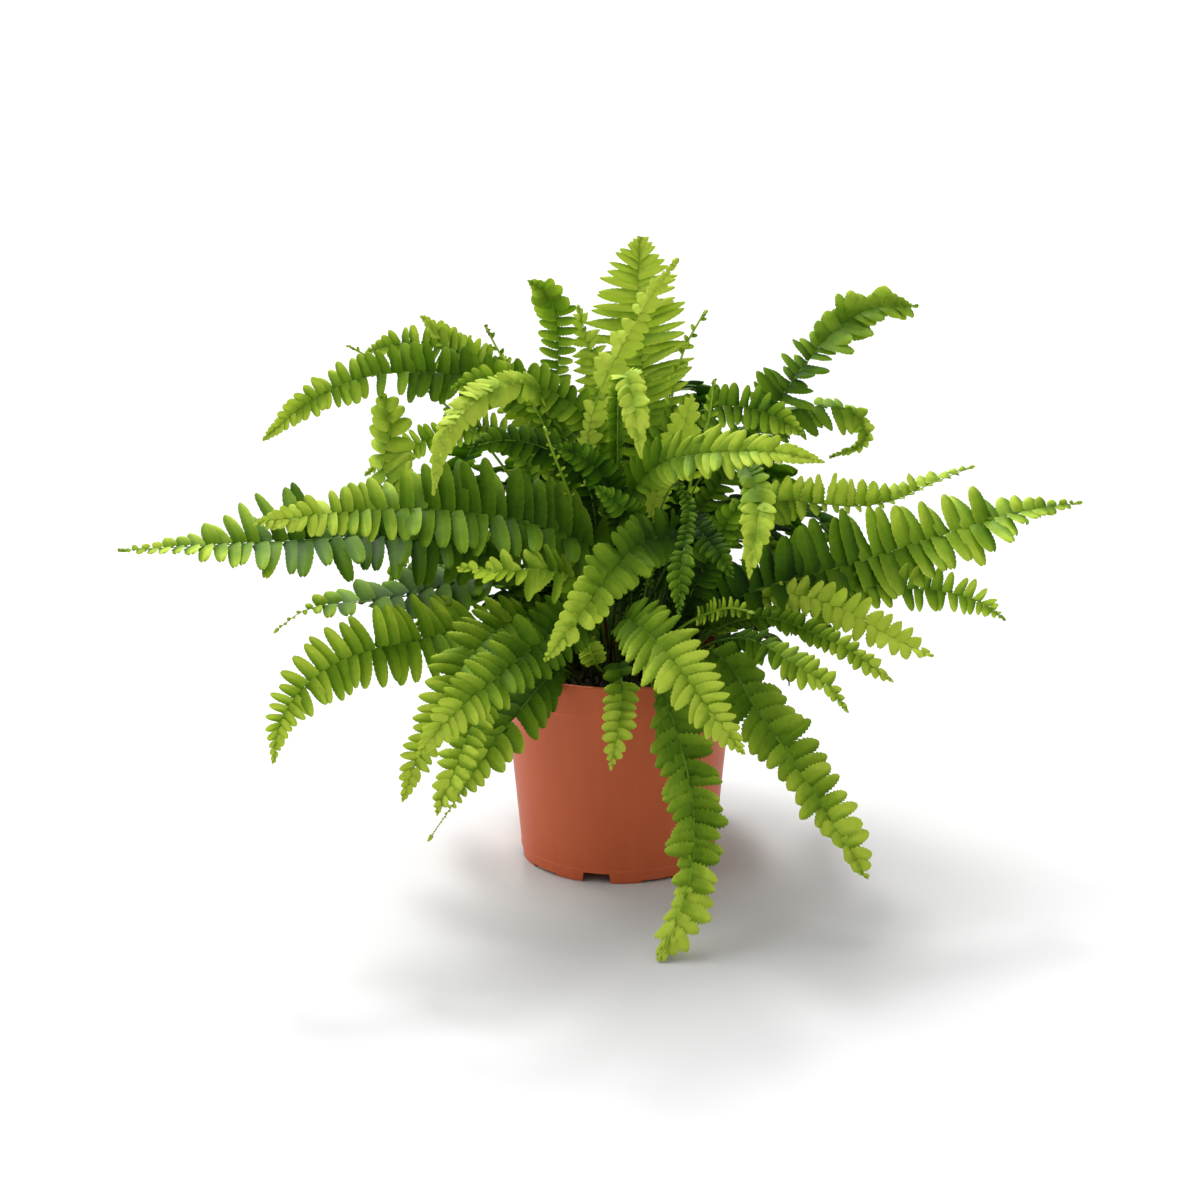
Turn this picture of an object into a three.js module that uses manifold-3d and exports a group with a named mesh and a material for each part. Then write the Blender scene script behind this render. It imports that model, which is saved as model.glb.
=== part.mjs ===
// Potted Boston fern: a tapered nursery pot, its growing mix, the crown of the
// plant and the arching fronds.  Millimetres, +Z up, the origin on the floor at
// the pot's axis, the fullest side of the plant facing -Y.
import * as THREE from 'three';
import { mergeVertices } from 'three/addons/utils/BufferGeometryUtils.js';
import Module from 'manifold-3d';

const wasm = await Module();
wasm.setup();

// ---- driving dimensions (mm) -------------------------------------------------
const POT_HEIGHT = 105;
const POT_TOP_RADIUS = 60;
const POT_BASE_RADIUS = 49.5;
const WALL = 1.6;
const RIM_BAND = 16;            // height of the slightly proud band under the lip
const RIM_STEP = 0.7;
const PLATE_BOTTOM = 5.6;       // the bottom plate is carried clear of the floor
const PLATE_TOP = 7.4;
const FOOT_WALL = 3.0;
const NOTCH_HEIGHT = 5.2;       // drainage notches between the feet
const NOTCH_WIDTH = 13.4;
const RECESS_HEIGHT = 1.4;
const RECESS_WIDTH = 17;
const UNIT = 72;                // the foot pattern repeats five times
const FIRST_NOTCH = -103.3;     // degrees, anticlockwise from +X
const DRAIN_RADIUS = 5.5;
const POT_SEGMENTS = 50;
const SOIL_TOP = 93;
const CROWN_RADIUS = 42;
const CROWN_TOP = 95.6;
const GAP = 0.3;
const STEM_THICK = 2.0;         // a frond's midrib at the crown
const TIP_THICK = 1.0;
const EDGE_THICK = 0.7;
const FROND_STEPS = 9;
const MIN_ADVANCE = 0.3;        // least share of a step that a frond's edge runs forward
const PLAN_SHIFT = [-0.641, 1.561]; // sets the origin under the middle of the plant's plan extents

// ---- fronds: spine points, reach of the leaflets either side of the midrib, the
// way the upper face looks at six stations, and the lift of the leaflets ----------
const FRONDS = [
  { name: 'frond_01', tone: 0.45, droop: 16,
    spine: [[-17.6, -20.2, 96], [-13.1, -26.6, 119.7], [-7.2, -31.1, 143.5], [-10.9, -37.5, 165.3], [-28.4, -47.1, 178.8], [-49.7, -56.9, 187.4], [-72.4, -65.6, 193.4], [-96, -73, 196.8], [-120.3, -79.1, 197.4], [-144.8, -84.2, 195.9], [-169.5, -88, 193.7]],
    reach: [1.2, 1.3, 8.5, 19.9, 23.2, 23.2, 22.9, 18.1, 13.4, 8.1, 1],
    face: [[0.9, -0.34, -0.25], [0.92, -0.35, -0.2], [0.58, -0.52, 0.63], [0.35, -0.57, 0.75], [0.13, -0.65, 0.75], [0.09, -0.88, 0.47]] },
  { name: 'frond_02', tone: 0.4, droop: 16,
    spine: [[-23.8, -9.4, 96], [-34.5, -9.9, 119.6], [-47.7, -10.3, 141.8], [-65.9, -13.9, 159], [-88.1, -22.2, 168.4], [-111.6, -32.1, 173.3], [-135.6, -41.7, 175.1], [-159.8, -50.9, 175.9], [-184.2, -59.7, 176.6], [-208.8, -68, 177.2], [-233.4, -76, 177.8]],
    reach: [1.2, 1.3, 7.2, 16.4, 22.1, 25.2, 21.6, 19.7, 10.3, 3.7, 1],
    face: [[0.74, -0.6, 0.3], [0.66, -0.6, 0.46], [0.44, -0.62, 0.65], [0.21, -0.45, 0.87], [0.17, -0.41, 0.9], [0.26, -0.75, 0.61]] },
  { name: 'frond_03', tone: 0.55, droop: 16,
    spine: [[-25, -16.3, 96], [-35.4, -21.6, 112.9], [-49.3, -28.8, 125.8], [-65.4, -39.4, 131.8], [-80.9, -52.7, 131.6], [-96.7, -66, 131], [-113.5, -77.9, 130.8], [-131, -87.8, 127.3], [-147.2, -95.5, 117.7], [-158.3, -101.4, 102.2], [-162.3, -105, 82.5]],
    reach: [1.2, 1.3, 6.7, 15.5, 19.5, 18.5, 16.4, 15.1, 11.4, 6.7, 1],
    face: [[0.89, -0.14, 0.44], [0.62, -0.27, 0.73], [0.39, -0.51, 0.77], [0.48, -0.79, 0.37], [0.07, -0.9, 0.42], [0.54, -0.84, 0.05]] },
  { name: 'frond_04', tone: 0.35, droop: 16,
    spine: [[-29, -5.1, 96], [-36.7, -6.3, 111.7], [-45.3, -7.5, 127], [-56.3, -9.3, 140.2], [-71.2, -12.8, 146.8], [-87.6, -17.9, 145], [-104, -23.2, 141.7], [-120.6, -28.6, 140.4], [-137.3, -34, 140.3], [-153.5, -39.4, 138.3], [-167.2, -45, 129.5]],
    reach: [1.2, 1.3, 4.9, 13.5, 20.1, 23, 23.5, 21.7, 10.1, 1.5, 1],
    face: [[0.9, -0.03, 0.43], [0.84, -0.04, 0.54], [0.15, -0.17, 0.97], [-0.07, -0.21, 0.98], [0.06, -0.22, 0.97], [0.08, -0.92, 0.39]] },
  { name: 'frond_05', tone: 0.6, droop: 16,
    spine: [[-11.8, -28, 96], [-13.5, -36.3, 112.6], [-15.3, -45.9, 128.2], [-19.3, -59.3, 139.3], [-26.6, -75.5, 141.2], [-35.2, -91.8, 139.1], [-44.5, -107.6, 136.1], [-55, -122, 131.1], [-66.9, -134.2, 124], [-79.3, -143.9, 114.5], [-91.1, -150, 101.7]],
    reach: [1.2, 1.3, 5.4, 11.9, 15.7, 15.2, 14.5, 13.6, 11.4, 7.6, 1],
    face: [[0.92, 0.31, 0.25], [0.9, 0.25, 0.35], [0.62, -0.37, 0.69], [0.47, -0.48, 0.74], [0.24, -0.73, 0.64], [0.04, -0.95, 0.32]] },
  { name: 'frond_06', tone: 0.5, droop: 16,
    spine: [[-23.8, -22.9, 96], [-30.4, -28, 111.5], [-38.3, -33.7, 126], [-47.9, -43.4, 135.2], [-57.4, -57.4, 134.4], [-66, -72, 130], [-74.1, -85.9, 122.9], [-81.2, -97.8, 112.4], [-88.5, -107.1, 99.4], [-95.5, -114.1, 85], [-100.9, -118, 68.8]],
    reach: [1.2, 1.3, 5.2, 11.4, 14.2, 14, 13.8, 11, 8.3, 6.4, 1],
    face: [[0.93, -0.06, 0.37], [0.85, -0.11, 0.51], [0.41, -0.44, 0.8], [-0.01, -0.55, 0.83], [-0.02, -0.85, 0.52], [0.29, -0.95, 0.09]] },
  { name: 'frond_07', tone: 0.7, droop: 16,
    spine: [[-18.4, -26.9, 96], [-24.2, -35.1, 108.1], [-31.9, -45.6, 116.6], [-40.7, -57.9, 120.7], [-49.4, -70.9, 120.7], [-57.1, -84.2, 117.3], [-63.4, -97.3, 111.3], [-68.7, -110.1, 103.8], [-73.1, -121.8, 94.2], [-77.6, -131.8, 82.9], [-83.7, -140, 70.9]],
    reach: [1.2, 1.3, 2, 4.3, 6.3, 8.2, 9.2, 8.7, 8.2, 7.6, 1],
    face: [[0.88, 0.15, 0.45], [0.69, -0.11, 0.72], [0.47, -0.4, 0.79], [0.34, -0.55, 0.76], [0.03, -0.7, 0.71], [-0.21, -0.76, 0.62]] },
  { name: 'frond_08', tone: 0.3, droop: -16,
    spine: [[-16.5, -33.3, 96], [-22.7, -40.5, 106], [-30.5, -50.3, 110.3], [-37.5, -61.8, 107.6], [-44.1, -73.1, 102.8], [-51.1, -83.8, 97], [-58.5, -93.1, 89.8], [-66.1, -100.3, 80.5], [-73.5, -105.9, 70.1], [-81.2, -109.9, 59.2], [-89.1, -112, 47.9]],
    reach: [1.2, 1.3, 9.6, 13.9, 14.5, 13.9, 11.9, 8.9, 4.1, 1.3, 1],
    face: [[0.91, -0.14, 0.39], [0.65, -0.43, 0.62], [0.42, -0.58, 0.7], [0.16, -0.77, 0.62], [0.01, -0.91, 0.41], [-0.06, -0.98, 0.18]] },
  { name: 'frond_09', tone: 0.7, droop: 16,
    spine: [[-2.2, -19.7, 96], [3.7, -24, 116.6], [12.3, -28.2, 136.4], [21.4, -34.3, 155.4], [26.7, -45.3, 172.3], [21.7, -63, 181.2], [11.5, -82.1, 183.4], [1.5, -101.1, 180.7], [-8.9, -117.8, 171.8], [-20.8, -129.1, 157.7], [-34.2, -135, 141.6]],
    reach: [1.2, 1.3, 3, 6.5, 9.5, 12, 12.4, 12.3, 10.2, 7.2, 1],
    face: [[0.95, 0.24, -0.19], [0.89, 0.27, -0.36], [1, 0.05, 0.01], [0.72, -0.39, 0.58], [0.3, -0.74, 0.6], [0, -0.97, 0.26]] },
  { name: 'frond_10', tone: 0.95, droop: -16,
    spine: [[-9, -20.2, 96], [-9.7, -26, 110.8], [-10.3, -32.2, 125.6], [-11.9, -39.1, 140], [-15.4, -48.6, 152.1], [-21.8, -60.4, 160.5], [-30, -72.8, 166.5], [-39.2, -85.1, 170.9], [-49.5, -97, 173.5], [-60.8, -108, 176.4], [-72.8, -118, 180]],
    reach: [1.2, 1.3, 2.2, 4.8, 7, 9.2, 11.6, 10.4, 8.1, 5.1, 1],
    face: [[0.9, -0.43, -0.1], [0.9, -0.42, -0.11], [0.89, -0.46, -0.06], [0.84, -0.52, 0.17], [0.73, -0.64, 0.22], [0.58, -0.8, -0.18]] },
  { name: 'frond_11', tone: 0.85, droop: 16,
    spine: [[0.4, -34.5, 96], [0.2, -39.5, 103.5], [-0.2, -45.5, 110.3], [-0.4, -53.1, 114.8], [0.1, -61.7, 114.7], [0.8, -70, 111.3], [0.8, -77.9, 107], [0.3, -85.1, 101.5], [-1, -90.8, 94.7], [-2.6, -95.2, 87], [-4.3, -98, 78.6]],
    reach: [1.2, 1.3, 2.2, 4.9, 7.2, 7.5, 7.6, 7.6, 7, 4.9, 1],
    face: [[-0.16, 0.84, 0.52], [-0.17, 0.66, 0.73], [-0.14, -0.27, 0.95], [0.03, -0.53, 0.85], [0.04, -0.82, 0.57], [-0.02, -0.97, 0.26]] },
  { name: 'frond_12', tone: 0.62, droop: 16,
    spine: [[5, -27, 96], [4.3, -35.1, 111.3], [2.8, -44.9, 125.5], [2, -57.4, 137.1], [4.6, -72.7, 143.1], [11, -88.6, 142.6], [18.2, -104, 139.3], [25.8, -118.4, 133.7], [34.7, -129.9, 124.6], [44.6, -137.8, 112.9], [55.1, -142, 99.9]],
    reach: [1.2, 1.3, 3.9, 8.6, 12.6, 15.2, 15.7, 15.2, 11.8, 8.2, 1],
    face: [[-0.81, 0.53, 0.24], [-0.82, 0.48, 0.31], [-0.74, -0.13, 0.66], [-0.52, -0.45, 0.73], [-0.23, -0.82, 0.53], [0.01, -0.97, 0.23]] },
  { name: 'frond_13', tone: 0.6, droop: -16,
    spine: [[10.5, -33.2, 96], [13.9, -46.8, 106.8], [18.3, -63.7, 109.3], [23, -79.3, 102.7], [27.7, -90.9, 89.6], [31.8, -101.1, 75], [34.3, -111, 59.8], [34.1, -120.5, 44.3], [31.1, -129.7, 28.8], [24.7, -138.5, 14.2], [17.2, -147, 1.6]],
    reach: [1.2, 1.3, 4.8, 10.7, 13.7, 13.5, 12.7, 11.7, 11.4, 10.5, 1],
    face: [[-0.65, 0.47, 0.6], [-0.45, -0.23, 0.86], [-0.23, -0.82, 0.53], [-0.15, -0.84, 0.52], [-0.4, -0.73, 0.56], [-0.38, -0.41, 0.83]] },
  { name: 'frond_14', tone: 0.55, droop: -16,
    spine: [[23.8, -27.5, 96], [33.3, -33.4, 109.2], [45, -41.9, 117.2], [54.4, -53.8, 112.9], [61.7, -66, 102.8], [70.1, -77.4, 92.6], [79.4, -87.2, 81.7], [88.6, -95.4, 69.3], [97.7, -102.4, 56.1], [106.8, -108, 42.3], [115.6, -112, 27.8]],
    reach: [1.2, 1.3, 8.3, 15.2, 16.8, 15.3, 13, 13, 13.7, 10.2, 1],
    face: [[-0.87, -0.23, 0.44], [-0.54, -0.43, 0.72], [-0.26, -0.72, 0.64], [-0.37, -0.85, 0.37], [-0.49, -0.87, 0.08], [-0.51, -0.86, -0.08]] },
  { name: 'frond_15', tone: 0.45, droop: 16,
    spine: [[25.8, 4, 96], [35.4, -6.2, 117], [48.6, -18.5, 134], [69.2, -20.8, 144.3], [92.4, -12.2, 148.1], [115.7, -2.9, 152.3], [139, 5.8, 157.5], [162.5, 13.7, 162.8], [186.1, 21.1, 168.3], [210.2, 27.8, 172.9], [234.6, 34, 175]],
    reach: [1.2, 1.3, 9.7, 20.9, 23.1, 23.1, 21.5, 15, 19.6, 6.9, 1],
    face: [[-0.49, -0.86, -0.14], [-0.42, -0.9, -0.11], [0.34, -0.91, 0.23], [0.2, -0.86, 0.47], [-0.01, -0.56, 0.83], [0.08, -0.47, 0.88]] },
  { name: 'frond_16', tone: 0.75, droop: 16,
    spine: [[19, 3.6, 96], [26.5, 4, 117.1], [35.3, 4, 137.7], [46.4, 4.2, 157], [61.4, 6, 173], [80.6, 11.2, 180.7], [100.9, 19.4, 178.3], [121.1, 28.2, 174.8], [141.7, 36.2, 176.4], [161.5, 43.5, 183.5], [181.7, 50, 190.3]],
    reach: [1.2, 1.3, 2.8, 6, 8.9, 11.7, 13.1, 12.5, 8.9, 7.9, 1],
    face: [[-0.06, -1, 0.05], [-0.07, -1, 0.03], [0.05, -0.98, 0.18], [0.44, -0.86, 0.27], [0.05, -0.62, 0.78], [-0.13, -0.41, 0.9]] },
  { name: 'frond_17', tone: 0.5, droop: 16,
    spine: [[28.6, -2, 96], [39, -2.9, 112], [52.4, -4.4, 125.4], [68.8, -6.2, 135.1], [86.9, -7.4, 140.9], [105.9, -7.5, 143], [125, -5.9, 142.2], [143.9, -3.2, 139.9], [162.5, 0.4, 137.3], [180.1, 4.9, 131.5], [194.9, 10, 120.7]],
    reach: [1.2, 1.3, 2, 4.4, 6.5, 8.5, 10.4, 11.3, 9.8, 7.4, 1],
    face: [[-0.6, -0.74, 0.32], [-0.46, -0.75, 0.48], [-0.16, -0.77, 0.62], [0.15, -0.76, 0.63], [0.25, -0.94, 0.22], [0.25, -0.96, -0.12]] },
  { name: 'frond_18', tone: 0.78, droop: 16,
    spine: [[30.3, -8.5, 96], [38, -10.1, 108.9], [47, -11.8, 120.8], [57.9, -13.8, 130.9], [70.6, -16.5, 138.3], [84.6, -20.3, 141.3], [98.7, -24.9, 139.6], [112.1, -29.8, 134.9], [124.9, -34.3, 128.3], [137.9, -38.3, 121.8], [151.5, -42, 116.5]],
    reach: [1.2, 1.3, 1.8, 3.8, 5.7, 7.4, 9, 9.7, 9.3, 8.2, 1],
    face: [[-0.46, -0.88, 0.15], [-0.41, -0.89, 0.22], [-0.33, -0.9, 0.28], [-0.25, -0.92, 0.3], [-0.02, -0.86, 0.51], [0.18, -0.46, 0.87]] },
  { name: 'frond_19', tone: 0.55, droop: -16,
    spine: [[25.5, -13.3, 96], [32.2, -15.7, 107.5], [40.8, -18.5, 117.6], [51.1, -22, 125.5], [62.8, -26.4, 130.6], [74.9, -31.9, 132.2], [86.4, -38.6, 130.1], [97.6, -45.5, 126.8], [109, -51.8, 122.9], [119.8, -57.2, 116.9], [130.4, -62, 109.9]],
    reach: [1.2, 1.3, 1.3, 2.9, 4.3, 5.6, 6.9, 6.3, 6, 5.9, 1],
    face: [[-0.44, -0.9, 0.06], [-0.4, -0.91, 0.11], [-0.41, -0.91, 0.11], [-0.5, -0.86, 0.11], [-0.25, -0.85, 0.46], [0.09, -0.76, 0.64]] },
  { name: 'frond_20', tone: 0.72, droop: -16,
    spine: [[24.7, -20.8, 96], [31, -24.7, 106.4], [38.9, -29.2, 115.2], [48.3, -34.7, 121.6], [58, -41.9, 125.2], [66.8, -50.9, 125.8], [74.1, -61.2, 124.1], [81.5, -71.2, 121.6], [90.1, -79.9, 118.3], [99.3, -86.9, 113.4], [106.1, -92, 104.3]],
    reach: [1.2, 1.3, 1.8, 4, 5.9, 7.6, 8.1, 7.9, 7.5, 4.3, 1],
    face: [[-0.88, -0.32, 0.36], [-0.72, -0.41, 0.56], [-0.57, -0.5, 0.65], [-0.55, -0.52, 0.65], [-0.48, -0.77, 0.42], [-0.08, -0.93, 0.36]] },
  { name: 'frond_21', tone: 0.25, droop: 16,
    spine: [[9.6, 10.9, 96], [16.5, 13.5, 121.1], [25.9, 16.3, 145.2], [38.2, 20.7, 167.8], [52.3, 28, 188.4], [66.8, 39.6, 206.7], [80.7, 54.7, 222.7], [95.3, 69.3, 238.6], [112, 81.1, 254.8], [132.8, 89.9, 266.4], [157.4, 96, 266.7]],
    reach: [1.2, 1.3, 2.9, 6.4, 9.5, 12.6, 14.1, 9.7, 11.7, 11, 1],
    face: [[-0.18, -0.97, 0.15], [-0.15, -0.97, 0.21], [-0.01, -0.9, 0.44], [0.1, -0.75, 0.66], [-0.19, -0.7, 0.69], [0.24, -0.76, 0.6]] },
  { name: 'frond_22', tone: 0.3, droop: -16,
    spine: [[16.1, 9.7, 96], [21.7, 14.7, 120.1], [27.3, 20.4, 144], [33.9, 26.9, 167.4], [43.5, 35.5, 188.9], [58, 46.5, 205.7], [77.3, 59.2, 214.7], [99.2, 70.7, 217.8], [122.1, 76.9, 214.6], [129.5, 76.1, 199.2], [110.7, 70, 191.4]],
    reach: [1.2, 1.3, 1.9, 5, 7.4, 9.7, 14.1, 16.6, 10.2, 3.7, 1],
    face: [[-0.61, -0.74, 0.29], [-0.6, -0.73, 0.33], [-0.49, -0.63, 0.61], [-0.06, -0.31, 0.95], [0.4, -0.64, 0.66], [0.05, -0.52, 0.85]] },
  { name: 'frond_23', tone: 0.72, droop: 16,
    spine: [[6.8, -10.3, 96], [6.3, -13.9, 118.7], [4.7, -16.6, 141.4], [3.2, -20.1, 164.1], [4.3, -27.1, 185.7], [10.7, -39.5, 203.3], [21.7, -55.2, 215.4], [36.4, -71.2, 222.5], [53.1, -86.3, 226.9], [71.4, -100, 229.3], [90.8, -112, 227.6]],
    reach: [1.2, 1.3, 2.6, 5.6, 8.3, 11.1, 12.9, 12.9, 11.4, 7, 1],
    face: [[-0.74, -0.66, -0.11], [-0.74, -0.66, -0.14], [-0.74, -0.65, -0.18], [-0.82, -0.54, 0.2], [-0.57, -0.54, 0.62], [-0.4, -0.79, 0.46]] },
  { name: 'frond_24', tone: 0.82, droop: 16,
    spine: [[13.4, -10.5, 96], [17.1, -16, 118.7], [21, -21.8, 141.4], [25.6, -28.3, 163.7], [30.8, -36.1, 185.4], [37.9, -46.5, 205.2], [48.9, -61.6, 217.8], [59.1, -81.4, 217.2], [62.3, -103.1, 209.4], [60.4, -123.3, 197.7], [56.6, -140, 181.5]],
    reach: [1.2, 1.3, 1.3, 1.3, 1.3, 1.4, 1.7, 6.3, 8, 7.4, 1],
    face: [[-0.92, -0.38, 0.06], [-0.92, -0.38, 0.07], [-0.92, -0.39, 0.09], [-0.84, -0.49, 0.23], [-0.07, -0.4, 0.91], [0.02, -0.74, 0.67]] },
  { name: 'frond_25', tone: 0.8, droop: 16,
    spine: [[0.6, -7.7, 96], [0.4, -11.4, 119.6], [0, -16, 143.2], [-0.5, -21.6, 166.5], [-0.8, -28.1, 189.4], [-1.2, -35.8, 212], [-1.3, -45.4, 233.9], [-0.5, -58.7, 253.2], [2.9, -77.9, 259.9], [6.3, -97.1, 248.2], [8.9, -112, 229.9]],
    reach: [1.2, 1.3, 1.3, 2.3, 3.4, 4.4, 5.3, 6.1, 6.9, 7.3, 1],
    face: [[-0.46, 0.88, 0.13], [-0.46, 0.87, 0.18], [-0.46, 0.85, 0.26], [-0.46, 0.79, 0.41], [-0.27, -0.25, 0.93], [-0.07, -0.82, 0.57]] },
  { name: 'frond_26', tone: 0.7, droop: 16,
    spine: [[2.7, 9.2, 96], [5.9, 9.8, 118], [9.1, 8.7, 139.9], [12.2, 6.6, 161.8], [14.6, 4.8, 183.8], [15.6, 5.3, 205.9], [14.6, 10.1, 227.3], [11.9, 19.1, 247.4], [9.8, 28.6, 267.3], [9.6, 36.2, 288.1], [10.5, 42, 309.5]],
    reach: [1.2, 1.3, 3.4, 7.4, 10.9, 14.2, 17.4, 22.7, 22.5, 15.9, 1],
    face: [[-0.25, -0.97, 0.08], [-0.27, -0.96, -0.04], [-0.26, -0.96, -0.02], [-0.26, -0.92, 0.29], [-0.22, -0.9, 0.37], [-0.02, -0.97, 0.24]] },
  { name: 'frond_27', tone: 0.98, droop: -16,
    spine: [[-0.2, -1, 96], [-1.7, -2.4, 118.2], [-4.6, -5, 139.9], [-8.6, -8.9, 161], [-13, -12.3, 182.9], [-15.5, -15.1, 205.1], [-14, -16.6, 227.1], [-7, -15.3, 247.9], [3.5, -11.6, 267], [14.3, -6.4, 285.7], [26.8, 0, 302.6]],
    reach: [1.2, 1.3, 1.3, 2.6, 3.8, 5, 6.1, 7.2, 7.3, 5.1, 1],
    face: [[-0.21, -0.98, -0.06], [-0.19, -0.96, -0.18], [-0.2, -0.97, -0.17], [-0.2, -0.98, 0.03], [-0.1, -0.95, 0.29], [0.08, -0.94, 0.32]] },
  { name: 'frond_28', tone: 0.15, droop: 16,
    spine: [[-6, 13.5, 96], [-10.7, 15.1, 116.4], [-15.3, 17.1, 135.9], [-20.2, 18.2, 154.6], [-25, 16.5, 176.3], [-30.1, 18.3, 198.2], [-31.8, 22.6, 219], [-31.1, 26, 239.9], [-30.3, 27.3, 260.8], [-33.1, 22, 280.1], [-43.8, 10, 292]],
    reach: [1.2, 1.3, 1.3, 2.6, 3.9, 5.1, 6.3, 8.1, 9.1, 9.7, 1],
    face: [[-0.36, -0.93, -0.02], [-0.37, -0.93, 0.01], [-0.33, -0.94, -0.12], [-0.39, -0.91, 0.16], [-0.33, -0.94, -0.06], [0.62, -0.76, -0.21]] },
  { name: 'frond_29', tone: 0.42, droop: 16,
    spine: [[-19.5, -0.8, 96], [-23.7, 2.8, 124.3], [-25, 7, 153.1], [-24.7, 12.1, 181.8], [-28.5, 17.4, 209.9], [-44.9, 21, 231.9], [-71.8, 21.5, 241.1], [-100.4, 19.8, 245.3], [-128.7, 17.2, 242.5], [-154.6, 13.2, 230.7], [-177, 8, 213.1]],
    reach: [1.2, 1.3, 2.4, 5.3, 7.9, 10.4, 12.8, 13.8, 11, 7.7, 1],
    face: [[0.15, -0.97, 0.17], [0.16, -0.97, 0.16], [0.15, -0.96, 0.22], [0.1, -0.92, 0.37], [-0.04, -0.87, 0.49], [-0.01, -0.96, 0.29]] },
  { name: 'frond_30', tone: 0.72, droop: 16,
    spine: [[-10.3, 8.6, 96], [-14.3, 10.3, 116.9], [-18.8, 10.5, 138.7], [-24.5, 12.8, 160.6], [-30.7, 18.7, 179.9], [-36, 22.5, 198.2], [-44.6, 28.6, 215.5], [-56, 38.8, 230.1], [-69.3, 50.4, 242.5], [-85.2, 58.1, 253.9], [-101.1, 62.1, 266.7]],
    reach: [1.2, 1.3, 1.4, 3, 4.5, 5.8, 7.1, 8.4, 8.6, 7, 1],
    face: [[-0.06, -0.99, 0.09], [-0.04, -1, 0], [-0.1, -0.97, 0.24], [-0.17, -0.91, 0.37], [-0.27, -0.86, 0.43], [-0.01, -0.97, 0.23]] },
  { name: 'frond_31', tone: 0.35, droop: 16,
    spine: [[-19.2, 16.5, 96], [-24.6, 20.9, 118.9], [-28.1, 23.4, 142.4], [-30, 24.8, 166.2], [-31.8, 27.1, 190], [-36.6, 30.7, 213], [-48, 37, 232.2], [-66.1, 45.7, 243.7], [-87.1, 55.3, 249.8], [-109.4, 63.8, 252.5], [-131, 70, 246.8]],
    reach: [1.2, 1.3, 1.5, 3.3, 4.9, 6.4, 7.9, 8.8, 10.3, 8.3, 1],
    face: [[-0.44, -0.9, 0.07], [-0.43, -0.9, 0.01], [-0.43, -0.9, 0.06], [-0.42, -0.91, 0.04], [-0.32, -0.89, 0.33], [-0.29, -0.95, 0.07]] },
  { name: 'frond_32', tone: 0.82, droop: -16,
    spine: [[-10.8, -9.1, 96], [-15.3, -9.7, 123], [-18.9, -8.1, 150.1], [-21.9, -5.6, 177.3], [-25.7, -2.5, 204.1], [-32.3, 0.1, 228.8], [-43.1, -18.3, 246.1], [-55.7, -45.6, 250.2], [-68.9, -68.7, 246.7], [-81, -87.4, 233], [-85.8, -98, 209.2]],
    reach: [1.2, 1.3, 1.7, 3.7, 5.5, 7.2, 8.7, 9, 8.7, 6.3, 1],
    face: [[0.98, -0.1, 0.17], [0.99, -0.1, 0.13], [0.98, -0.09, 0.2], [0.85, -0.19, 0.49], [0.41, -0.52, 0.75], [0.05, -0.95, 0.29]] },
  { name: 'frond_33', tone: 0.85, droop: -16,
    spine: [[-26, 1, 96], [-34, 0, 113.2], [-42.9, -2.2, 130], [-53, -5, 145.9], [-64.7, -7.5, 160.6], [-78.6, -7.9, 173.4], [-94.5, -4.5, 182.8], [-110.4, 3.4, 188.6], [-117.8, 12.4, 198.8], [-114.7, 17.7, 215.5], [-117.9, 20, 233.5]],
    reach: [1.2, 1.3, 1.8, 4.2, 6.2, 8.1, 10, 13.2, 13.7, 11.5, 1],
    face: [[-0.39, -0.89, -0.21], [-0.33, -0.88, -0.33], [-0.3, -0.87, -0.38], [-0.43, -0.85, -0.29], [-0.48, -0.77, 0.42], [-0.01, -1, 0.09]] },
  { name: 'frond_34', tone: 0.78, droop: 16,
    spine: [[-21.4, 5.8, 96], [-27.1, 7.9, 116.8], [-31.8, 10, 137.8], [-35.3, 11.7, 159.5], [-39.5, 12, 180.8], [-46.5, 13.9, 200.6], [-59.1, 19.7, 215.2], [-76.8, 29, 215.4], [-94.9, 38, 208], [-113.5, 44.3, 199.1], [-130.5, 48, 186.6]],
    reach: [1.2, 1.3, 1.4, 3.1, 4.6, 6, 7.3, 8.5, 7.5, 5.8, 1],
    face: [[-0.39, -0.92, -0.01], [-0.39, -0.92, 0.02], [-0.38, -0.92, -0.07], [-0.43, -0.9, 0.03], [-0.4, -0.92, 0.01], [-0.19, -0.98, 0]] },
  { name: 'frond_35', tone: 0.5, droop: 16,
    spine: [[4.5, -20.3, 96], [7.8, -27.1, 115.7], [10.5, -33.3, 135.5], [13.5, -39.1, 155.4], [16.6, -45.7, 175.1], [19.9, -53.4, 194.2], [26.1, -64.5, 206.8], [31.8, -77.7, 198.3], [29.8, -94.2, 186.5], [27, -112, 176.2], [26.1, -126, 161.1]],
    reach: [1.2, 1.3, 1.3, 1.3, 1.5, 1.9, 2.4, 3.4, 3.6, 6, 1],
    face: [[-0.91, 0.33, 0.26], [-0.92, 0.34, 0.22], [-0.91, 0.33, 0.25], [-0.56, -0.19, 0.81], [0.08, -0.48, 0.87], [-0.06, -0.79, 0.61]] },
  { name: 'frond_36', tone: 1, droop: 16,
    spine: [[5.9, -3.7, 96], [7.1, -4.8, 111.5], [8.5, -5.7, 127], [10, -6.5, 142.5], [12, -7.8, 157.9], [14.5, -10.1, 173.1], [17.8, -14, 187.8], [21.7, -19.9, 201.7], [26.1, -27.3, 214.6], [30.7, -32.8, 228], [34.5, -32, 242.8]],
    reach: [1.2, 1.3, 1.3, 2.6, 3.8, 4.9, 6, 7, 8.2, 8.2, 1],
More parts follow.
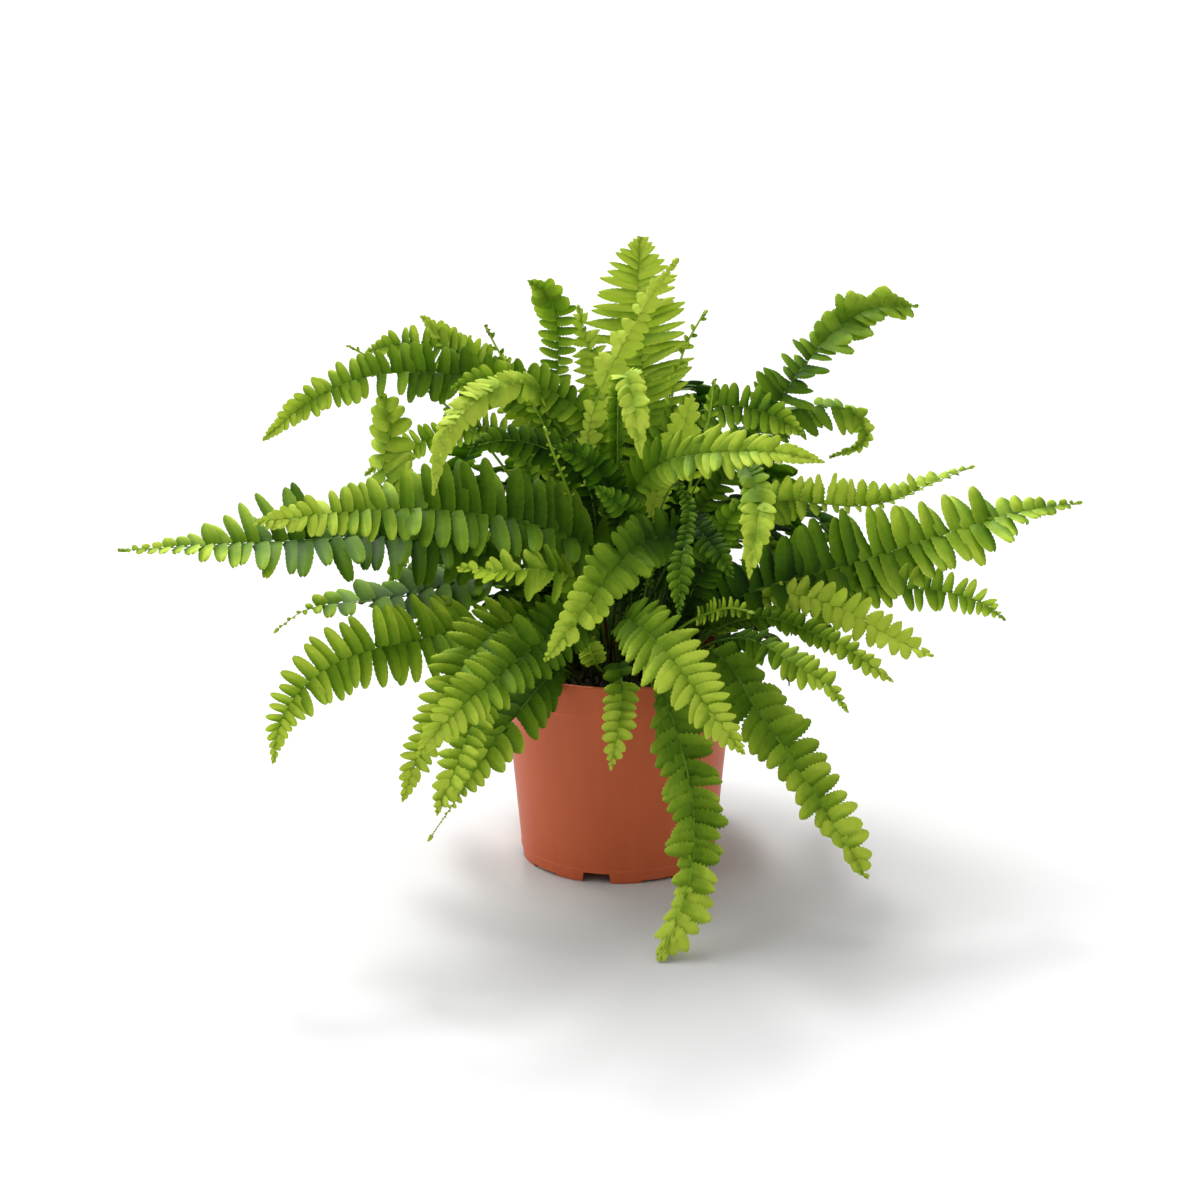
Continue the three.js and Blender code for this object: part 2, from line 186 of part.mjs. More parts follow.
    face: [[-0.19, -0.98, -0.06], [-0.19, -0.98, -0.03], [-0.2, -0.98, -0.08], [-0.23, -0.94, -0.26], [-0.27, -0.87, -0.41], [-0.04, -0.98, 0.17]] },
  { name: 'frond_37', tone: 0.8, droop: 16,
    spine: [[-3.7, 7.2, 96], [-4.7, 8.3, 114.6], [-5.2, 8.2, 133.2], [-5.3, 7.2, 151.9], [-5.3, 6, 170.5], [-5.5, 5.9, 189.1], [-6.5, 8.1, 207.6], [-8.6, 13.5, 225.2], [-11.5, 20.9, 242.1], [-15.7, 27.4, 259], [-20.5, 32, 276.4]],
    reach: [1.2, 1.3, 1.5, 3.2, 4.8, 6.2, 7.6, 9.1, 9.7, 8.8, 1],
    face: [[-0.44, -0.9, 0.04], [-0.44, -0.9, -0.04], [-0.44, -0.9, -0.04], [-0.44, -0.88, 0.15], [-0.53, -0.81, 0.25], [-0.32, -0.94, 0.14]] },
  { name: 'frond_38', tone: 0.35, droop: 16,
    spine: [[-13, -2.8, 96], [-14.7, -4.6, 116.7], [-14, -5.9, 137.6], [-11.6, -6.3, 158.8], [-8.5, -7, 179.4], [-7.4, -8.3, 199.7], [-11.6, -9.6, 219.6], [-24.1, -10.1, 235.1], [-42.1, -7.2, 244.2], [-62.1, -10.2, 247.4], [-81.6, -10, 242.6]],
    reach: [1.2, 1.3, 1.5, 3.3, 4.9, 6.4, 7.8, 9.2, 9.3, 8, 1],
    face: [[0.17, -0.98, -0.08], [0.17, -0.98, -0.05], [0.17, -0.98, -0.08], [0.16, -0.99, -0.01], [0.03, -0.98, 0.19], [-0.16, -0.98, 0.1]] },
  { name: 'frond_39', tone: 0.55, droop: 16,
    spine: [[1.5, -14.3, 96], [2.8, -18, 111.6], [5, -22.1, 127], [7.9, -27.4, 141.9], [10.2, -34, 156.2], [11.5, -42.8, 169.3], [10.9, -54.5, 180.4], [7.7, -67.5, 189.5], [3.2, -80.4, 197.8], [-3.4, -92.8, 205.6], [-11.3, -104, 213.9]],
    reach: [1.2, 1.3, 1.3, 2.7, 3.9, 5.1, 6.2, 6.7, 6.6, 5.6, 1],
    face: [[0.6, -0.76, -0.23], [0.59, -0.74, -0.33], [0.57, -0.69, -0.44], [0.56, -0.57, -0.61], [0.7, -0.57, -0.43], [0.63, -0.71, -0.31]] },
  { name: 'frond_40', tone: 0.4, droop: 16,
    spine: [[9.9, -16.3, 96], [12.3, -19.6, 111.8], [14.7, -22.1, 127.8], [17.3, -24.4, 143.8], [20.1, -27.4, 159.7], [23.7, -32.8, 174.5], [28.8, -43.3, 184.7], [34.2, -58, 186.6], [39.4, -73.2, 184.1], [45.5, -87.5, 179.3], [51.7, -100, 171]],
    reach: [1.2, 1.3, 1.3, 2.6, 3.8, 5, 6, 6.8, 6.3, 5.3, 1],
    face: [[-0.95, 0.23, 0.2], [-0.95, 0.24, 0.18], [-0.94, 0.23, 0.24], [-0.78, -0.04, 0.62], [-0.55, -0.38, 0.74], [-0.31, -0.68, 0.67]] },
  { name: 'frond_41', tone: 0.25, droop: 16,
    spine: [[11.8, 4.5, 96], [14.3, 4, 116.6], [15.6, 2.1, 137.3], [15.1, -1.1, 157.8], [13.6, -3.3, 178.3], [15.8, -3.7, 199.1], [23.9, -1, 217.2], [38.9, 8.2, 227], [56.8, 18, 228.6], [75.5, 24.3, 223], [92.9, 28, 212.6]],
    reach: [1.2, 1.3, 1.8, 3.9, 5.7, 7.4, 9.1, 10.6, 10.3, 8.7, 1],
    face: [[0.19, -0.98, -0.04], [0.18, -0.97, -0.13], [0.18, -0.98, -0.05], [0.26, -0.95, 0.18], [0.41, -0.9, 0.12], [0.2, -0.98, 0.03]] },
  { name: 'frond_42', tone: 0.35, droop: -16,
    spine: [[-15.6, -13.7, 96], [-17.3, -16.9, 113.1], [-16.9, -18.7, 130.3], [-14.7, -19.9, 147.8], [-11.9, -19.1, 165.6], [-12.2, -18.7, 182.7], [-16.4, -21.5, 198.8], [-26.3, -27.9, 211], [-39.4, -35.6, 219.4], [-54.8, -41.8, 223.3], [-71.3, -46, 220.8]],
    reach: [1.2, 1.3, 1.6, 3.5, 5.1, 6.7, 8.1, 9.5, 8.9, 7.4, 1],
    face: [[0.43, -0.89, -0.13], [0.43, -0.9, -0.11], [0.45, -0.89, 0.03], [0.47, -0.88, -0.06], [0.48, -0.87, 0.09], [0.16, -0.96, 0.24]] },
  { name: 'frond_43', tone: 0.5, droop: 16,
    spine: [[-4.7, -11.8, 96], [-3.9, -15.1, 113], [-2.5, -18.1, 130], [-0.7, -21.6, 146.9], [0.8, -26.4, 163.5], [1, -33.8, 179], [-0.9, -44.3, 192.5], [-4.5, -56.8, 203.9], [-9.8, -69.5, 214.4], [-18.1, -81.3, 223.6], [-29.6, -92, 230.8]],
    reach: [1.2, 1.3, 1.4, 3.1, 4.5, 5.9, 7.1, 7.6, 7.5, 6.2, 1],
    face: [[0.4, -0.9, -0.19], [0.4, -0.89, -0.2], [0.39, -0.86, -0.34], [0.4, -0.71, -0.59], [0.6, -0.67, -0.43], [0.62, -0.78, -0.07]] },
  { name: 'frond_44', tone: 0.3, droop: 16,
    spine: [[16.6, -16.5, 96], [19.8, -20.4, 107.7], [23.6, -24.7, 119.1], [28, -29.6, 130], [32.3, -35.3, 140.5], [36.2, -41.9, 150.7], [39.6, -49, 160.7], [42.8, -56, 170.9], [46.4, -62.5, 181.2], [51, -68.5, 191.5], [56.8, -74, 201.4]],
    reach: [1.2, 1.3, 1.9, 4.1, 6.1, 7.9, 8.5, 8.1, 7.4, 5.7, 1],
    face: [[-0.24, -0.94, -0.24], [-0.26, -0.92, -0.28], [-0.3, -0.87, -0.4], [-0.33, -0.82, -0.48], [-0.33, -0.86, -0.4], [-0.38, -0.89, -0.25]] },
  { name: 'back_tuft_01', tone: 0.45, droop: 16,
    spine: [[5.3, 16.2, 96], [5.9, 21.5, 122.8], [8.1, 29.9, 148.9], [12.6, 40, 174.6], [18.3, 56.1, 195.6], [25.8, 79.3, 203.4], [33, 101.6, 192.1], [38.1, 117.3, 170.3], [41.7, 128.3, 145.3], [44.3, 136.4, 118.9], [46.4, 142.7, 92]],
    reach: [1.2, 1.3, 5.7, 12.6, 16.3, 16.6, 16.9, 17.2, 13.6, 9.2, 1],
    face: [[-0.31, -0.94, 0.16], [-0.29, -0.89, 0.35], [-0.19, -0.58, 0.79], [0.21, 0.64, 0.74], [0.29, 0.89, 0.36], [0.3, 0.93, 0.22]] },
  { name: 'back_tuft_01', tone: 0.6, droop: 16,
    spine: [[5.3, 16.2, 96], [6.6, 18.3, 120], [8.7, 20.5, 144.2], [11.1, 25, 168.1], [13.8, 31.5, 191.3], [19.2, 41.2, 212.7], [27.7, 57, 228.1], [38.1, 76.4, 227.7], [46.3, 91.5, 211.9], [51.7, 101.5, 190.8], [55.4, 108.7, 168]],
    reach: [1.2, 1.3, 4.8, 10.7, 13.9, 14.1, 14.4, 14.6, 11.5, 7.8, 1],
    face: [[-0.45, -0.89, 0.1], [-0.45, -0.88, 0.16], [-0.43, -0.84, 0.35], [-0.18, -0.35, 0.92], [0.37, 0.73, 0.58], [0.43, 0.85, 0.31]] },
  { name: 'back_tuft_02', tone: 0.45, droop: 16,
    spine: [[-6.1, 20.3, 96], [-7.6, 26.3, 121.7], [-9.8, 35.5, 146.3], [-13.2, 49.5, 168.1], [-18.1, 70.3, 181.4], [-23.7, 93.6, 177.1], [-28, 111.5, 159], [-31, 123.9, 136], [-33.2, 133, 111.3], [-34.9, 140, 85.8], [-36.3, 145.5, 60]],
    reach: [1.2, 1.3, 6, 13.2, 17.2, 17.5, 17.8, 18.1, 14.2, 9.7, 1],
    face: [[0.24, -0.95, 0.21], [0.22, -0.87, 0.44], [0.05, -0.21, 0.98], [-0.2, 0.79, 0.58], [-0.23, 0.92, 0.31], [-0.24, 0.95, 0.21]] },
  { name: 'back_tuft_02', tone: 0.6, droop: 16,
    spine: [[-6.1, 20.3, 96], [-7.6, 23.8, 120.9], [-9.8, 28.7, 145.5], [-13, 35.8, 169.4], [-17.8, 46.4, 191.6], [-25.2, 62.6, 207.8], [-34.5, 83.3, 207.8], [-42, 99.8, 191.7], [-47, 111, 169.9], [-50.5, 119.1, 146.3], [-53.1, 125.2, 122]],
    reach: [1.2, 1.3, 5.1, 11.3, 14.7, 15, 15.2, 15.5, 12.2, 8.3, 1],
    face: [[0.39, -0.91, 0.14], [0.38, -0.89, 0.26], [0.32, -0.75, 0.57], [-0.16, 0.38, 0.91], [-0.36, 0.84, 0.41], [-0.38, 0.89, 0.25]] },
  { name: 'back_tuft_03', tone: 0.45, droop: 16,
    spine: [[13.8, 16.2, 96], [17.9, 21.5, 116.6], [24, 29.3, 135.7], [32.6, 40.5, 151.8], [43.8, 55.2, 162.3], [56.6, 71.8, 163.9], [68.6, 87.4, 156], [78.3, 100, 141.6], [85.8, 109.7, 123.9], [91.5, 117.1, 104.4], [96, 122.9, 84]],
    reach: [1.2, 1.3, 5.7, 12.6, 16.3, 16.6, 16.9, 17.2, 13.6, 9.2, 1],
    face: [[-0.59, -0.76, 0.27], [-0.51, -0.66, 0.55], [-0.19, -0.24, 0.95], [0.34, 0.43, 0.84], [0.54, 0.69, 0.49], [0.58, 0.75, 0.32]] },
  { name: 'back_tuft_03', tone: 0.6, droop: 16,
    spine: [[13.8, 16.2, 96], [16.6, 19, 118], [20.7, 23, 139.6], [26.6, 28.7, 160.3], [35.1, 36.9, 179.1], [47.2, 48.6, 192.9], [62.2, 63.1, 195.6], [75.9, 76.4, 185.6], [86.1, 86.3, 168.7], [93.4, 93.5, 148.9], [99, 99, 128]],
    reach: [1.2, 1.3, 5.1, 11.3, 14.7, 15, 15.2, 15.5, 12.2, 8.3, 1],
    face: [[-0.7, -0.7, 0.16], [-0.67, -0.67, 0.31], [-0.55, -0.55, 0.64], [0.14, 0.14, 0.98], [0.59, 0.59, 0.54], [0.67, 0.67, 0.33]] },
  { name: 'back_tuft_04', tone: 0.45, droop: 16,
    spine: [[-12.4, 15.7, 96], [-16.2, 20.5, 117.9], [-21.7, 27.6, 138.7], [-29.8, 37.9, 157.1], [-40.7, 52, 170.7], [-53.9, 68.9, 175.6], [-67, 85.8, 169.8], [-77.9, 99.7, 155.9], [-86.2, 110.3, 137.7], [-92.4, 118.3, 117.4], [-97.3, 124.5, 96]],
    reach: [1.2, 1.3, 5.7, 12.6, 16.3, 16.6, 16.9, 17.2, 13.6, 9.2, 1],
    face: [[0.6, -0.77, 0.24], [0.54, -0.69, 0.48], [0.27, -0.35, 0.9], [-0.29, 0.37, 0.88], [-0.53, 0.68, 0.51], [-0.58, 0.75, 0.32]] },
  { name: 'back_tuft_04', tone: 0.6, droop: 16,
    spine: [[-12.4, 15.7, 96], [-15.2, 18.5, 118.3], [-19, 22.2, 140.3], [-24.4, 27.3, 161.6], [-32.1, 34.7, 181.4], [-43.3, 45.4, 197.4], [-58.1, 59.5, 204.1], [-73, 73.7, 197.6], [-84.5, 84.8, 182.2], [-92.8, 92.9, 162.9], [-99, 99, 142]],
    reach: [1.2, 1.3, 4.8, 10.7, 13.9, 14.1, 14.4, 14.6, 11.5, 7.8, 1],
    face: [[0.7, -0.7, 0.15], [0.68, -0.68, 0.27], [0.58, -0.58, 0.57], [0, 0, 1], [-0.56, 0.56, 0.6], [-0.66, 0.66, 0.35]] },
  { name: 'back_tuft_04', tone: 0.6, droop: 16,
    spine: [[-12.4, 15.7, 96], [-14.7, 17.5, 113.5], [-17.9, 20.1, 130.7], [-21.7, 23, 147.7], [-26.8, 27.2, 164.1], [-35.1, 32.8, 178.6], [-46.7, 40.6, 188.3], [-60.2, 50.4, 188.6], [-72, 59, 179.6], [-80.7, 65.5, 165.7], [-87, 70.5, 150]],
    reach: [1.2, 1.3, 3.7, 8.2, 10.6, 10.8, 11, 11.2, 8.8, 6, 1],
    face: [[0.77, -0.62, 0.14], [0.75, -0.61, 0.26], [0.69, -0.56, 0.47], [0.26, -0.21, 0.94], [-0.54, 0.44, 0.72], [-0.7, 0.57, 0.42]] },
  { name: 'back_tuft_05', tone: 0.45, droop: 16,
    spine: [[0.6, 21.1, 96], [0.6, 23.9, 120.8], [0.6, 27.7, 145.5], [0.5, 32.9, 169.9], [0.5, 40.3, 193.7], [0.4, 51.1, 216], [0.3, 67.9, 233], [0.2, 90.1, 233.4], [0.1, 107.8, 217.3], [0, 119.6, 195.5], [0, 128, 172]],
    reach: [1.2, 1.3, 5.1, 11.3, 14.7, 15, 15.2, 15.5, 12.2, 8.3, 1],
    face: [[0, -0.99, 0.1], [0, -0.98, 0.18], [0, -0.94, 0.35], [0, -0.46, 0.89], [0, 0.81, 0.58], [0, 0.95, 0.31]] },
  { name: 'back_tuft_05', tone: 0.6, droop: 16,
    spine: [[0.6, 21.1, 96], [1.4, 27.2, 125], [2.7, 36.8, 152.9], [4.8, 51.9, 177.8], [8.2, 75.4, 190.8], [11.7, 99.7, 180], [13.9, 116.1, 156], [15.5, 127.2, 128.6], [16.6, 135.4, 100.1], [17.4, 141.7, 71.2], [18, 146.9, 42]],
    reach: [1.2, 1.3, 5.7, 12.6, 16.3, 16.6, 16.9, 17.2, 13.6, 9.2, 1],
    face: [[-0.12, -0.98, 0.19], [-0.11, -0.91, 0.41], [-0.01, -0.05, 1], [0.11, 0.89, 0.45], [0.12, 0.96, 0.24], [0.12, 0.98, 0.17]] },
  { name: 'back_tuft_06', tone: 0.45, droop: 16,
    spine: [[22.1, 12.4, 96], [25.6, 14.4, 114.3], [30.5, 17.3, 132], [37.4, 21.3, 148.8], [47.1, 26.9, 163.7], [59.9, 34.4, 174.5], [75.2, 43.3, 178.3], [90.5, 52.2, 173.7], [103.4, 59.6, 162.8], [113.4, 65.5, 148.3], [121.2, 70, 132]],
    reach: [1.2, 1.3, 5.1, 11.3, 14.7, 15, 15.2, 15.5, 12.2, 8.3, 1],
    face: [[-0.85, -0.49, 0.2], [-0.81, -0.47, 0.36], [-0.62, -0.36, 0.7], [0.02, 0.01, 1], [0.61, 0.35, 0.71], [0.77, 0.45, 0.45]] },
  { name: 'back_tuft_06', tone: 0.6, droop: 16,
    spine: [[22.1, 12.4, 96], [25.8, 15.4, 108.7], [31, 19.8, 120.4], [38, 25.9, 130.2], [46.9, 33.6, 136.7], [56.9, 42.2, 138.6], [66.7, 50.8, 135.5], [75.4, 58.2, 128.3], [82.5, 64.2, 118.5], [88.3, 68.9, 107.2], [93, 72.6, 95]],
    reach: [1.2, 1.3, 4.8, 10.7, 13.9, 14.1, 14.4, 14.6, 11.5, 7.8, 1],
    face: [[-0.75, -0.58, 0.32], [-0.63, -0.5, 0.59], [-0.26, -0.2, 0.94], [0.31, 0.25, 0.92], [0.62, 0.49, 0.61], [0.72, 0.56, 0.42]] },
  { name: 'back_tuft_06', tone: 0.6, droop: 16,
    spine: [[22.1, 12.4, 96], [24.9, 14.4, 110], [28.8, 17.3, 123.5], [34.3, 21.4, 136.1], [41.8, 27.1, 146.9], [51.5, 34.4, 154], [62.6, 42.7, 155.5], [73.3, 50.7, 150.8], [82.2, 57.3, 141.9], [89.3, 62.5, 130.6], [95, 66.5, 118]],
    reach: [1.2, 1.3, 4.8, 10.7, 13.9, 14.1, 14.4, 14.6, 11.5, 7.8, 1],
    face: [[-0.8, -0.56, 0.22], [-0.75, -0.53, 0.4], [-0.54, -0.37, 0.76], [0.1, 0.07, 0.99], [0.59, 0.41, 0.69], [0.73, 0.51, 0.46]] },
  { name: 'back_tuft_07', tone: 0.45, droop: 16,
    spine: [[-16.7, 10.4, 96], [-20.8, 12.8, 112.8], [-26.9, 16.3, 128.8], [-35.5, 21.2, 143.2], [-46.8, 27.6, 154.7], [-60.5, 35.4, 161.8], [-75.5, 43.9, 163.1], [-90, 52.1, 158.7], [-102.7, 59.4, 149.4], [-113.1, 65.3, 136.7], [-121.2, 70, 122]],
    reach: [1.2, 1.3, 5.1, 11.3, 14.7, 15, 15.2, 15.5, 12.2, 8.3, 1],
    face: [[0.84, -0.48, 0.25], [0.76, -0.44, 0.48], [0.48, -0.27, 0.84], [-0.08, 0.05, 1], [-0.56, 0.32, 0.77], [-0.75, 0.43, 0.5]] },
  { name: 'back_tuft_07', tone: 0.6, droop: 16,
    spine: [[-16.7, 10.4, 96], [-21.4, 13.7, 109.5], [-28.2, 18.7, 121.4], [-36.7, 26.4, 130.7], [-47, 35.1, 136], [-58.2, 44.3, 136.3], [-68.8, 53.1, 131.7], [-78, 60.6, 123.1], [-85.5, 66.6, 112.1], [-91.4, 71.4, 99.4], [-96.1, 75.1, 86]],
    reach: [1.2, 1.3, 4.8, 10.7, 13.9, 14.1, 14.4, 14.6, 11.5, 7.8, 1],
    face: [[0.74, -0.58, 0.35], [0.57, -0.45, 0.68], [0.16, -0.12, 0.98], [-0.37, 0.29, 0.89], [-0.64, 0.5, 0.58], [-0.73, 0.57, 0.39]] },
  { name: 'back_tuft_08', tone: 0.45, droop: 16,
    spine: [[1, 31.2, 96], [1.3, 40.4, 108.8], [1.8, 53, 117.7], [2.3, 67.8, 117.7], [2.8, 80.2, 108.7], [3.1, 89, 95.7], [3.3, 95.6, 81.3], [3.5, 100.9, 66.3], [3.7, 105.2, 51], [3.8, 108.8, 35.6], [3.9, 111.9, 20]],
    reach: [1.2, 1.3, 4.8, 10.7, 13.9, 14.1, 14.4, 14.6, 11.5, 7.8, 1],
    face: [[-0.03, -0.85, 0.53], [-0.01, -0.34, 0.94], [0.03, 0.75, 0.67], [0.03, 0.93, 0.37], [0.03, 0.97, 0.25], [0.03, 0.98, 0.19]] },
  { name: 'back_tuft_08', tone: 0.6, droop: 16,
    spine: [[1, 31.2, 96], [3.2, 39.3, 112], [6.8, 50.9, 125.2], [11.6, 66.4, 131.4], [16.6, 82.2, 126.9], [20.4, 94.6, 114.6], [23.2, 103.7, 99.2], [25.1, 110.7, 82.5], [26.7, 116.2, 65.3], [27.8, 120.8, 47.7], [28.8, 124.7, 30]],
    reach: [1.2, 1.3, 5.1, 11.3, 14.7, 15, 15.2, 15.5, 12.2, 8.3, 1],
    face: [[-0.2, -0.89, 0.41], [-0.13, -0.58, 0.81], [0.12, 0.52, 0.85], [0.2, 0.87, 0.45], [0.22, 0.93, 0.29], [0.22, 0.95, 0.21]] },
  { name: 'back_tuft_09', tone: 0.45, droop: 16,
    spine: [[-14.3, 27.7, 96], [-17.5, 34, 110.2], [-22.1, 43.1, 122.1], [-28.3, 55.4, 129], [-35.1, 68.7, 127.1], [-40.7, 79.8, 117.7], [-44.9, 88, 104.8], [-48.1, 94.3, 90.6], [-50.6, 99.3, 75.7], [-52.7, 103.4, 60.4], [-54.5, 106.9, 45]],
    reach: [1.2, 1.3, 4.8, 10.7, 13.9, 14.1, 14.4, 14.6, 11.5, 7.8, 1],
    face: [[0.42, -0.82, 0.4], [0.29, -0.57, 0.77], [-0.19, 0.37, 0.91], [-0.39, 0.77, 0.5], [-0.43, 0.84, 0.32], [-0.44, 0.87, 0.24]] },
  { name: 'back_tuft_09', tone: 0.6, droop: 16,
    spine: [[-14.3, 27.7, 96], [-16, 36.3, 108.1], [-17.9, 48.3, 116.2], [-20, 62.2, 115.6], [-21.7, 73.5, 106.6], [-23.1, 81.6, 94], [-24.2, 87.6, 80.3], [-25.1, 92.3, 66], [-25.9, 96.3, 51.5], [-26.7, 99.5, 36.8], [-27.4, 102.4, 22]],
    reach: [1.2, 1.3, 4.5, 10.1, 13.1, 13.3, 13.5, 13.8, 10.9, 7.4, 1],
    face: [[0.22, -0.82, 0.54], [0.08, -0.3, 0.95], [-0.2, 0.74, 0.64], [-0.24, 0.9, 0.36], [-0.25, 0.94, 0.24], [-0.25, 0.95, 0.19]] },
  { name: 'back_tuft_10', tone: 0.45, droop: 16,
    spine: [[29.4, 9.7, 96], [33.8, 11.2, 106.7], [39.8, 13.1, 116.4], [47.8, 15.7, 124.5], [57.4, 18.8, 130], [68.2, 22.2, 132.3], [79.1, 25.8, 131.1], [89.3, 29, 126.7], [98.3, 31.9, 120], [105.9, 34.4, 111.5], [112.2, 36.5, 102]],
    reach: [1.2, 1.3, 4.3, 9.4, 12.3, 12.5, 12.7, 12.9, 10.2, 6.9, 1],
    face: [[-0.89, -0.29, 0.36], [-0.74, -0.24, 0.63], [-0.33, -0.11, 0.94], [0.23, 0.08, 0.97], [0.63, 0.2, 0.75], [0.8, 0.26, 0.55]] },
  { name: 'back_tuft_10', tone: 0.6, droop: 16,
    spine: [[29.4, 9.7, 96], [34.2, 12.3, 104.2], [40.3, 15.8, 110.9], [47.8, 20.1, 115.3], [56.1, 25, 116.4], [64.2, 29.8, 114], [71.3, 33.9, 108.7], [77.3, 37.2, 101.7], [82.2, 39.9, 93.7], [86.3, 42, 85], [89.9, 43.8, 76]],
    reach: [1.2, 1.3, 4, 8.8, 11.4, 11.6, 11.8, 12, 9.5, 6.4, 1],
    face: [[-0.78, -0.38, 0.51], [-0.53, -0.26, 0.81], [0.06, 0.03, 1], [0.58, 0.28, 0.77], [0.77, 0.37, 0.52], [0.83, 0.4, 0.39]] },
  { name: 'back_tuft_10', tone: 0.6, droop: 16,
    spine: [[29.4, 9.7, 96], [31.6, 11.8, 105.2], [34.2, 14.8, 113.9], [37.6, 19.1, 121.7], [42, 24.9, 127.9], [47.2, 32.1, 131.1], [52.9, 39.6, 130.4], [58.2, 46.2, 126.3], [62.8, 51.6, 119.9], [66.9, 55.8, 112.3], [70.5, 59.1, 104]],
    reach: [1.2, 1.3, 4.3, 9.4, 12.3, 12.5, 12.7, 12.9, 10.2, 6.9, 1],
    face: [[-0.73, -0.62, 0.28], [-0.67, -0.56, 0.48], [-0.4, -0.34, 0.85], [0.21, 0.18, 0.96], [0.57, 0.48, 0.67], [0.67, 0.56, 0.48]] },
  { name: 'back_tuft_11', tone: 0.45, droop: 16,
    spine: [[-29.4, 10.3, 96], [-34.3, 11.9, 106.3], [-41, 14, 115.3], [-49.7, 16.7, 122.3], [-59.8, 19.9, 126.5], [-70.6, 23.3, 127.5], [-81.2, 26.6, 125.1], [-90.9, 29.7, 119.9], [-99.3, 32.3, 112.5], [-106.3, 34.6, 103.7], [-112.2, 36.5, 94]],
    reach: [1.2, 1.3, 4.3, 9.4, 12.3, 12.5, 12.7, 12.9, 10.2, 6.9, 1],
    face: [[0.87, -0.28, 0.41], [0.68, -0.22, 0.7], [0.22, -0.07, 0.97], [-0.32, 0.11, 0.94], [-0.68, 0.22, 0.7], [-0.82, 0.27, 0.51]] },
  { name: 'back_tuft_11', tone: 0.6, droop: 16,
    spine: [[-29.4, 10.3, 96], [-34.4, 13, 103.8], [-40.8, 16.6, 110], [-48.4, 20.9, 113.9], [-56.7, 25.7, 114.5], [-64.7, 30.2, 111.8], [-71.6, 34.2, 106.4], [-77.5, 37.4, 99.4], [-82.3, 40, 91.4], [-86.4, 42.1, 82.9], [-89.9, 43.8, 74]],
    reach: [1.2, 1.3, 4, 8.8, 11.4, 11.6, 11.8, 12, 9.5, 6.4, 1],
    face: [[0.75, -0.37, 0.54], [0.48, -0.24, 0.84], [-0.11, 0.05, 0.99], [-0.59, 0.29, 0.76], [-0.77, 0.38, 0.52], [-0.83, 0.4, 0.39]] },
  { name: 'back_tuft_12', tone: 0.45, droop: 16,
    spine: [[9.6, 21.5, 96], [10.4, 23, 115], [11.8, 24.9, 134], [13.1, 27.4, 153], [14.3, 31.4, 171.6], [16.6, 37.1, 189.5], [19.7, 44.5, 206.7], [24.8, 56, 217.3], [30.7, 69.1, 210.1], [34.7, 77.9, 193.9], [37.4, 84, 176]],
    reach: [1.2, 1.3, 4.5, 10.1, 13.1, 13.3, 13.5, 13.8, 10.9, 7.4, 1],
    face: [[-0.41, -0.91, 0.09], [-0.4, -0.91, 0.13], [-0.39, -0.88, 0.27], [-0.35, -0.78, 0.52], [0.31, 0.69, 0.66], [0.38, 0.86, 0.33]] },
  { name: 'back_tuft_12', tone: 0.6, droop: 16,
    spine: [[9.6, 21.5, 96], [10.1, 23.3, 117.3], [9.8, 24.7, 139.6], [7.6, 27.1, 160.6], [6.6, 30.2, 181.5], [5.3, 34.1, 202.7], [3, 39.9, 223.2], [-1, 49.5, 241.4], [-7.2, 65.2, 245.9], [-11.7, 78.4, 231.6], [-13.8, 86.9, 212]],
    reach: [1.2, 1.3, 4.3, 9.4, 12.3, 12.5, 12.7, 12.9, 10.2, 6.9, 1],
    face: [[0.16, -0.98, 0.08], [0.16, -0.98, 0.08], [0.15, -0.98, 0.16], [0.15, -0.92, 0.35], [-0.06, 0.37, 0.93], [-0.15, 0.92, 0.36]] },
  { name: 'back_tuft_13', tone: 0.45, droop: 16,
    spine: [[12, 28.2, 96], [15.6, 36.2, 105.2], [20.1, 46.1, 111.5], [25.2, 57.4, 113.3], [30.2, 68.3, 109.8], [34.3, 77.4, 102.1], [37.6, 84.6, 92.1], [40.2, 90.4, 81], [42.3, 95.1, 69.3], [44.1, 99, 57.3], [45.6, 102.3, 45]],
    reach: [1.2, 1.3, 4.5, 10.1, 13.1, 13.3, 13.5, 13.8, 10.9, 7.4, 1],
    face: [[-0.31, -0.7, 0.64], [-0.14, -0.31, 0.94], [0.19, 0.43, 0.88], [0.34, 0.76, 0.55], [0.38, 0.85, 0.36], [0.39, 0.88, 0.28]] },
  { name: 'back_tuft_13', tone: 0.6, droop: 16,
    spine: [[12, 28.2, 96], [15.2, 32.8, 106.7], [19.9, 39, 115.8], [26.1, 47, 122.1], [33.3, 56.1, 123.7], [40.2, 65, 120], [45.9, 72.4, 112.5], [50.3, 78.4, 103], [53.8, 83.2, 92.5], [56.5, 87.2, 81.4], [58.8, 90.6, 70]],
    reach: [1.2, 1.3, 4.3, 9.4, 12.3, 12.5, 12.7, 12.9, 10.2, 6.9, 1],
    face: [[-0.49, -0.76, 0.42], [-0.36, -0.56, 0.75], [0.05, 0.08, 1], [0.39, 0.61, 0.69], [0.49, 0.75, 0.44], [0.52, 0.79, 0.32]] },
];

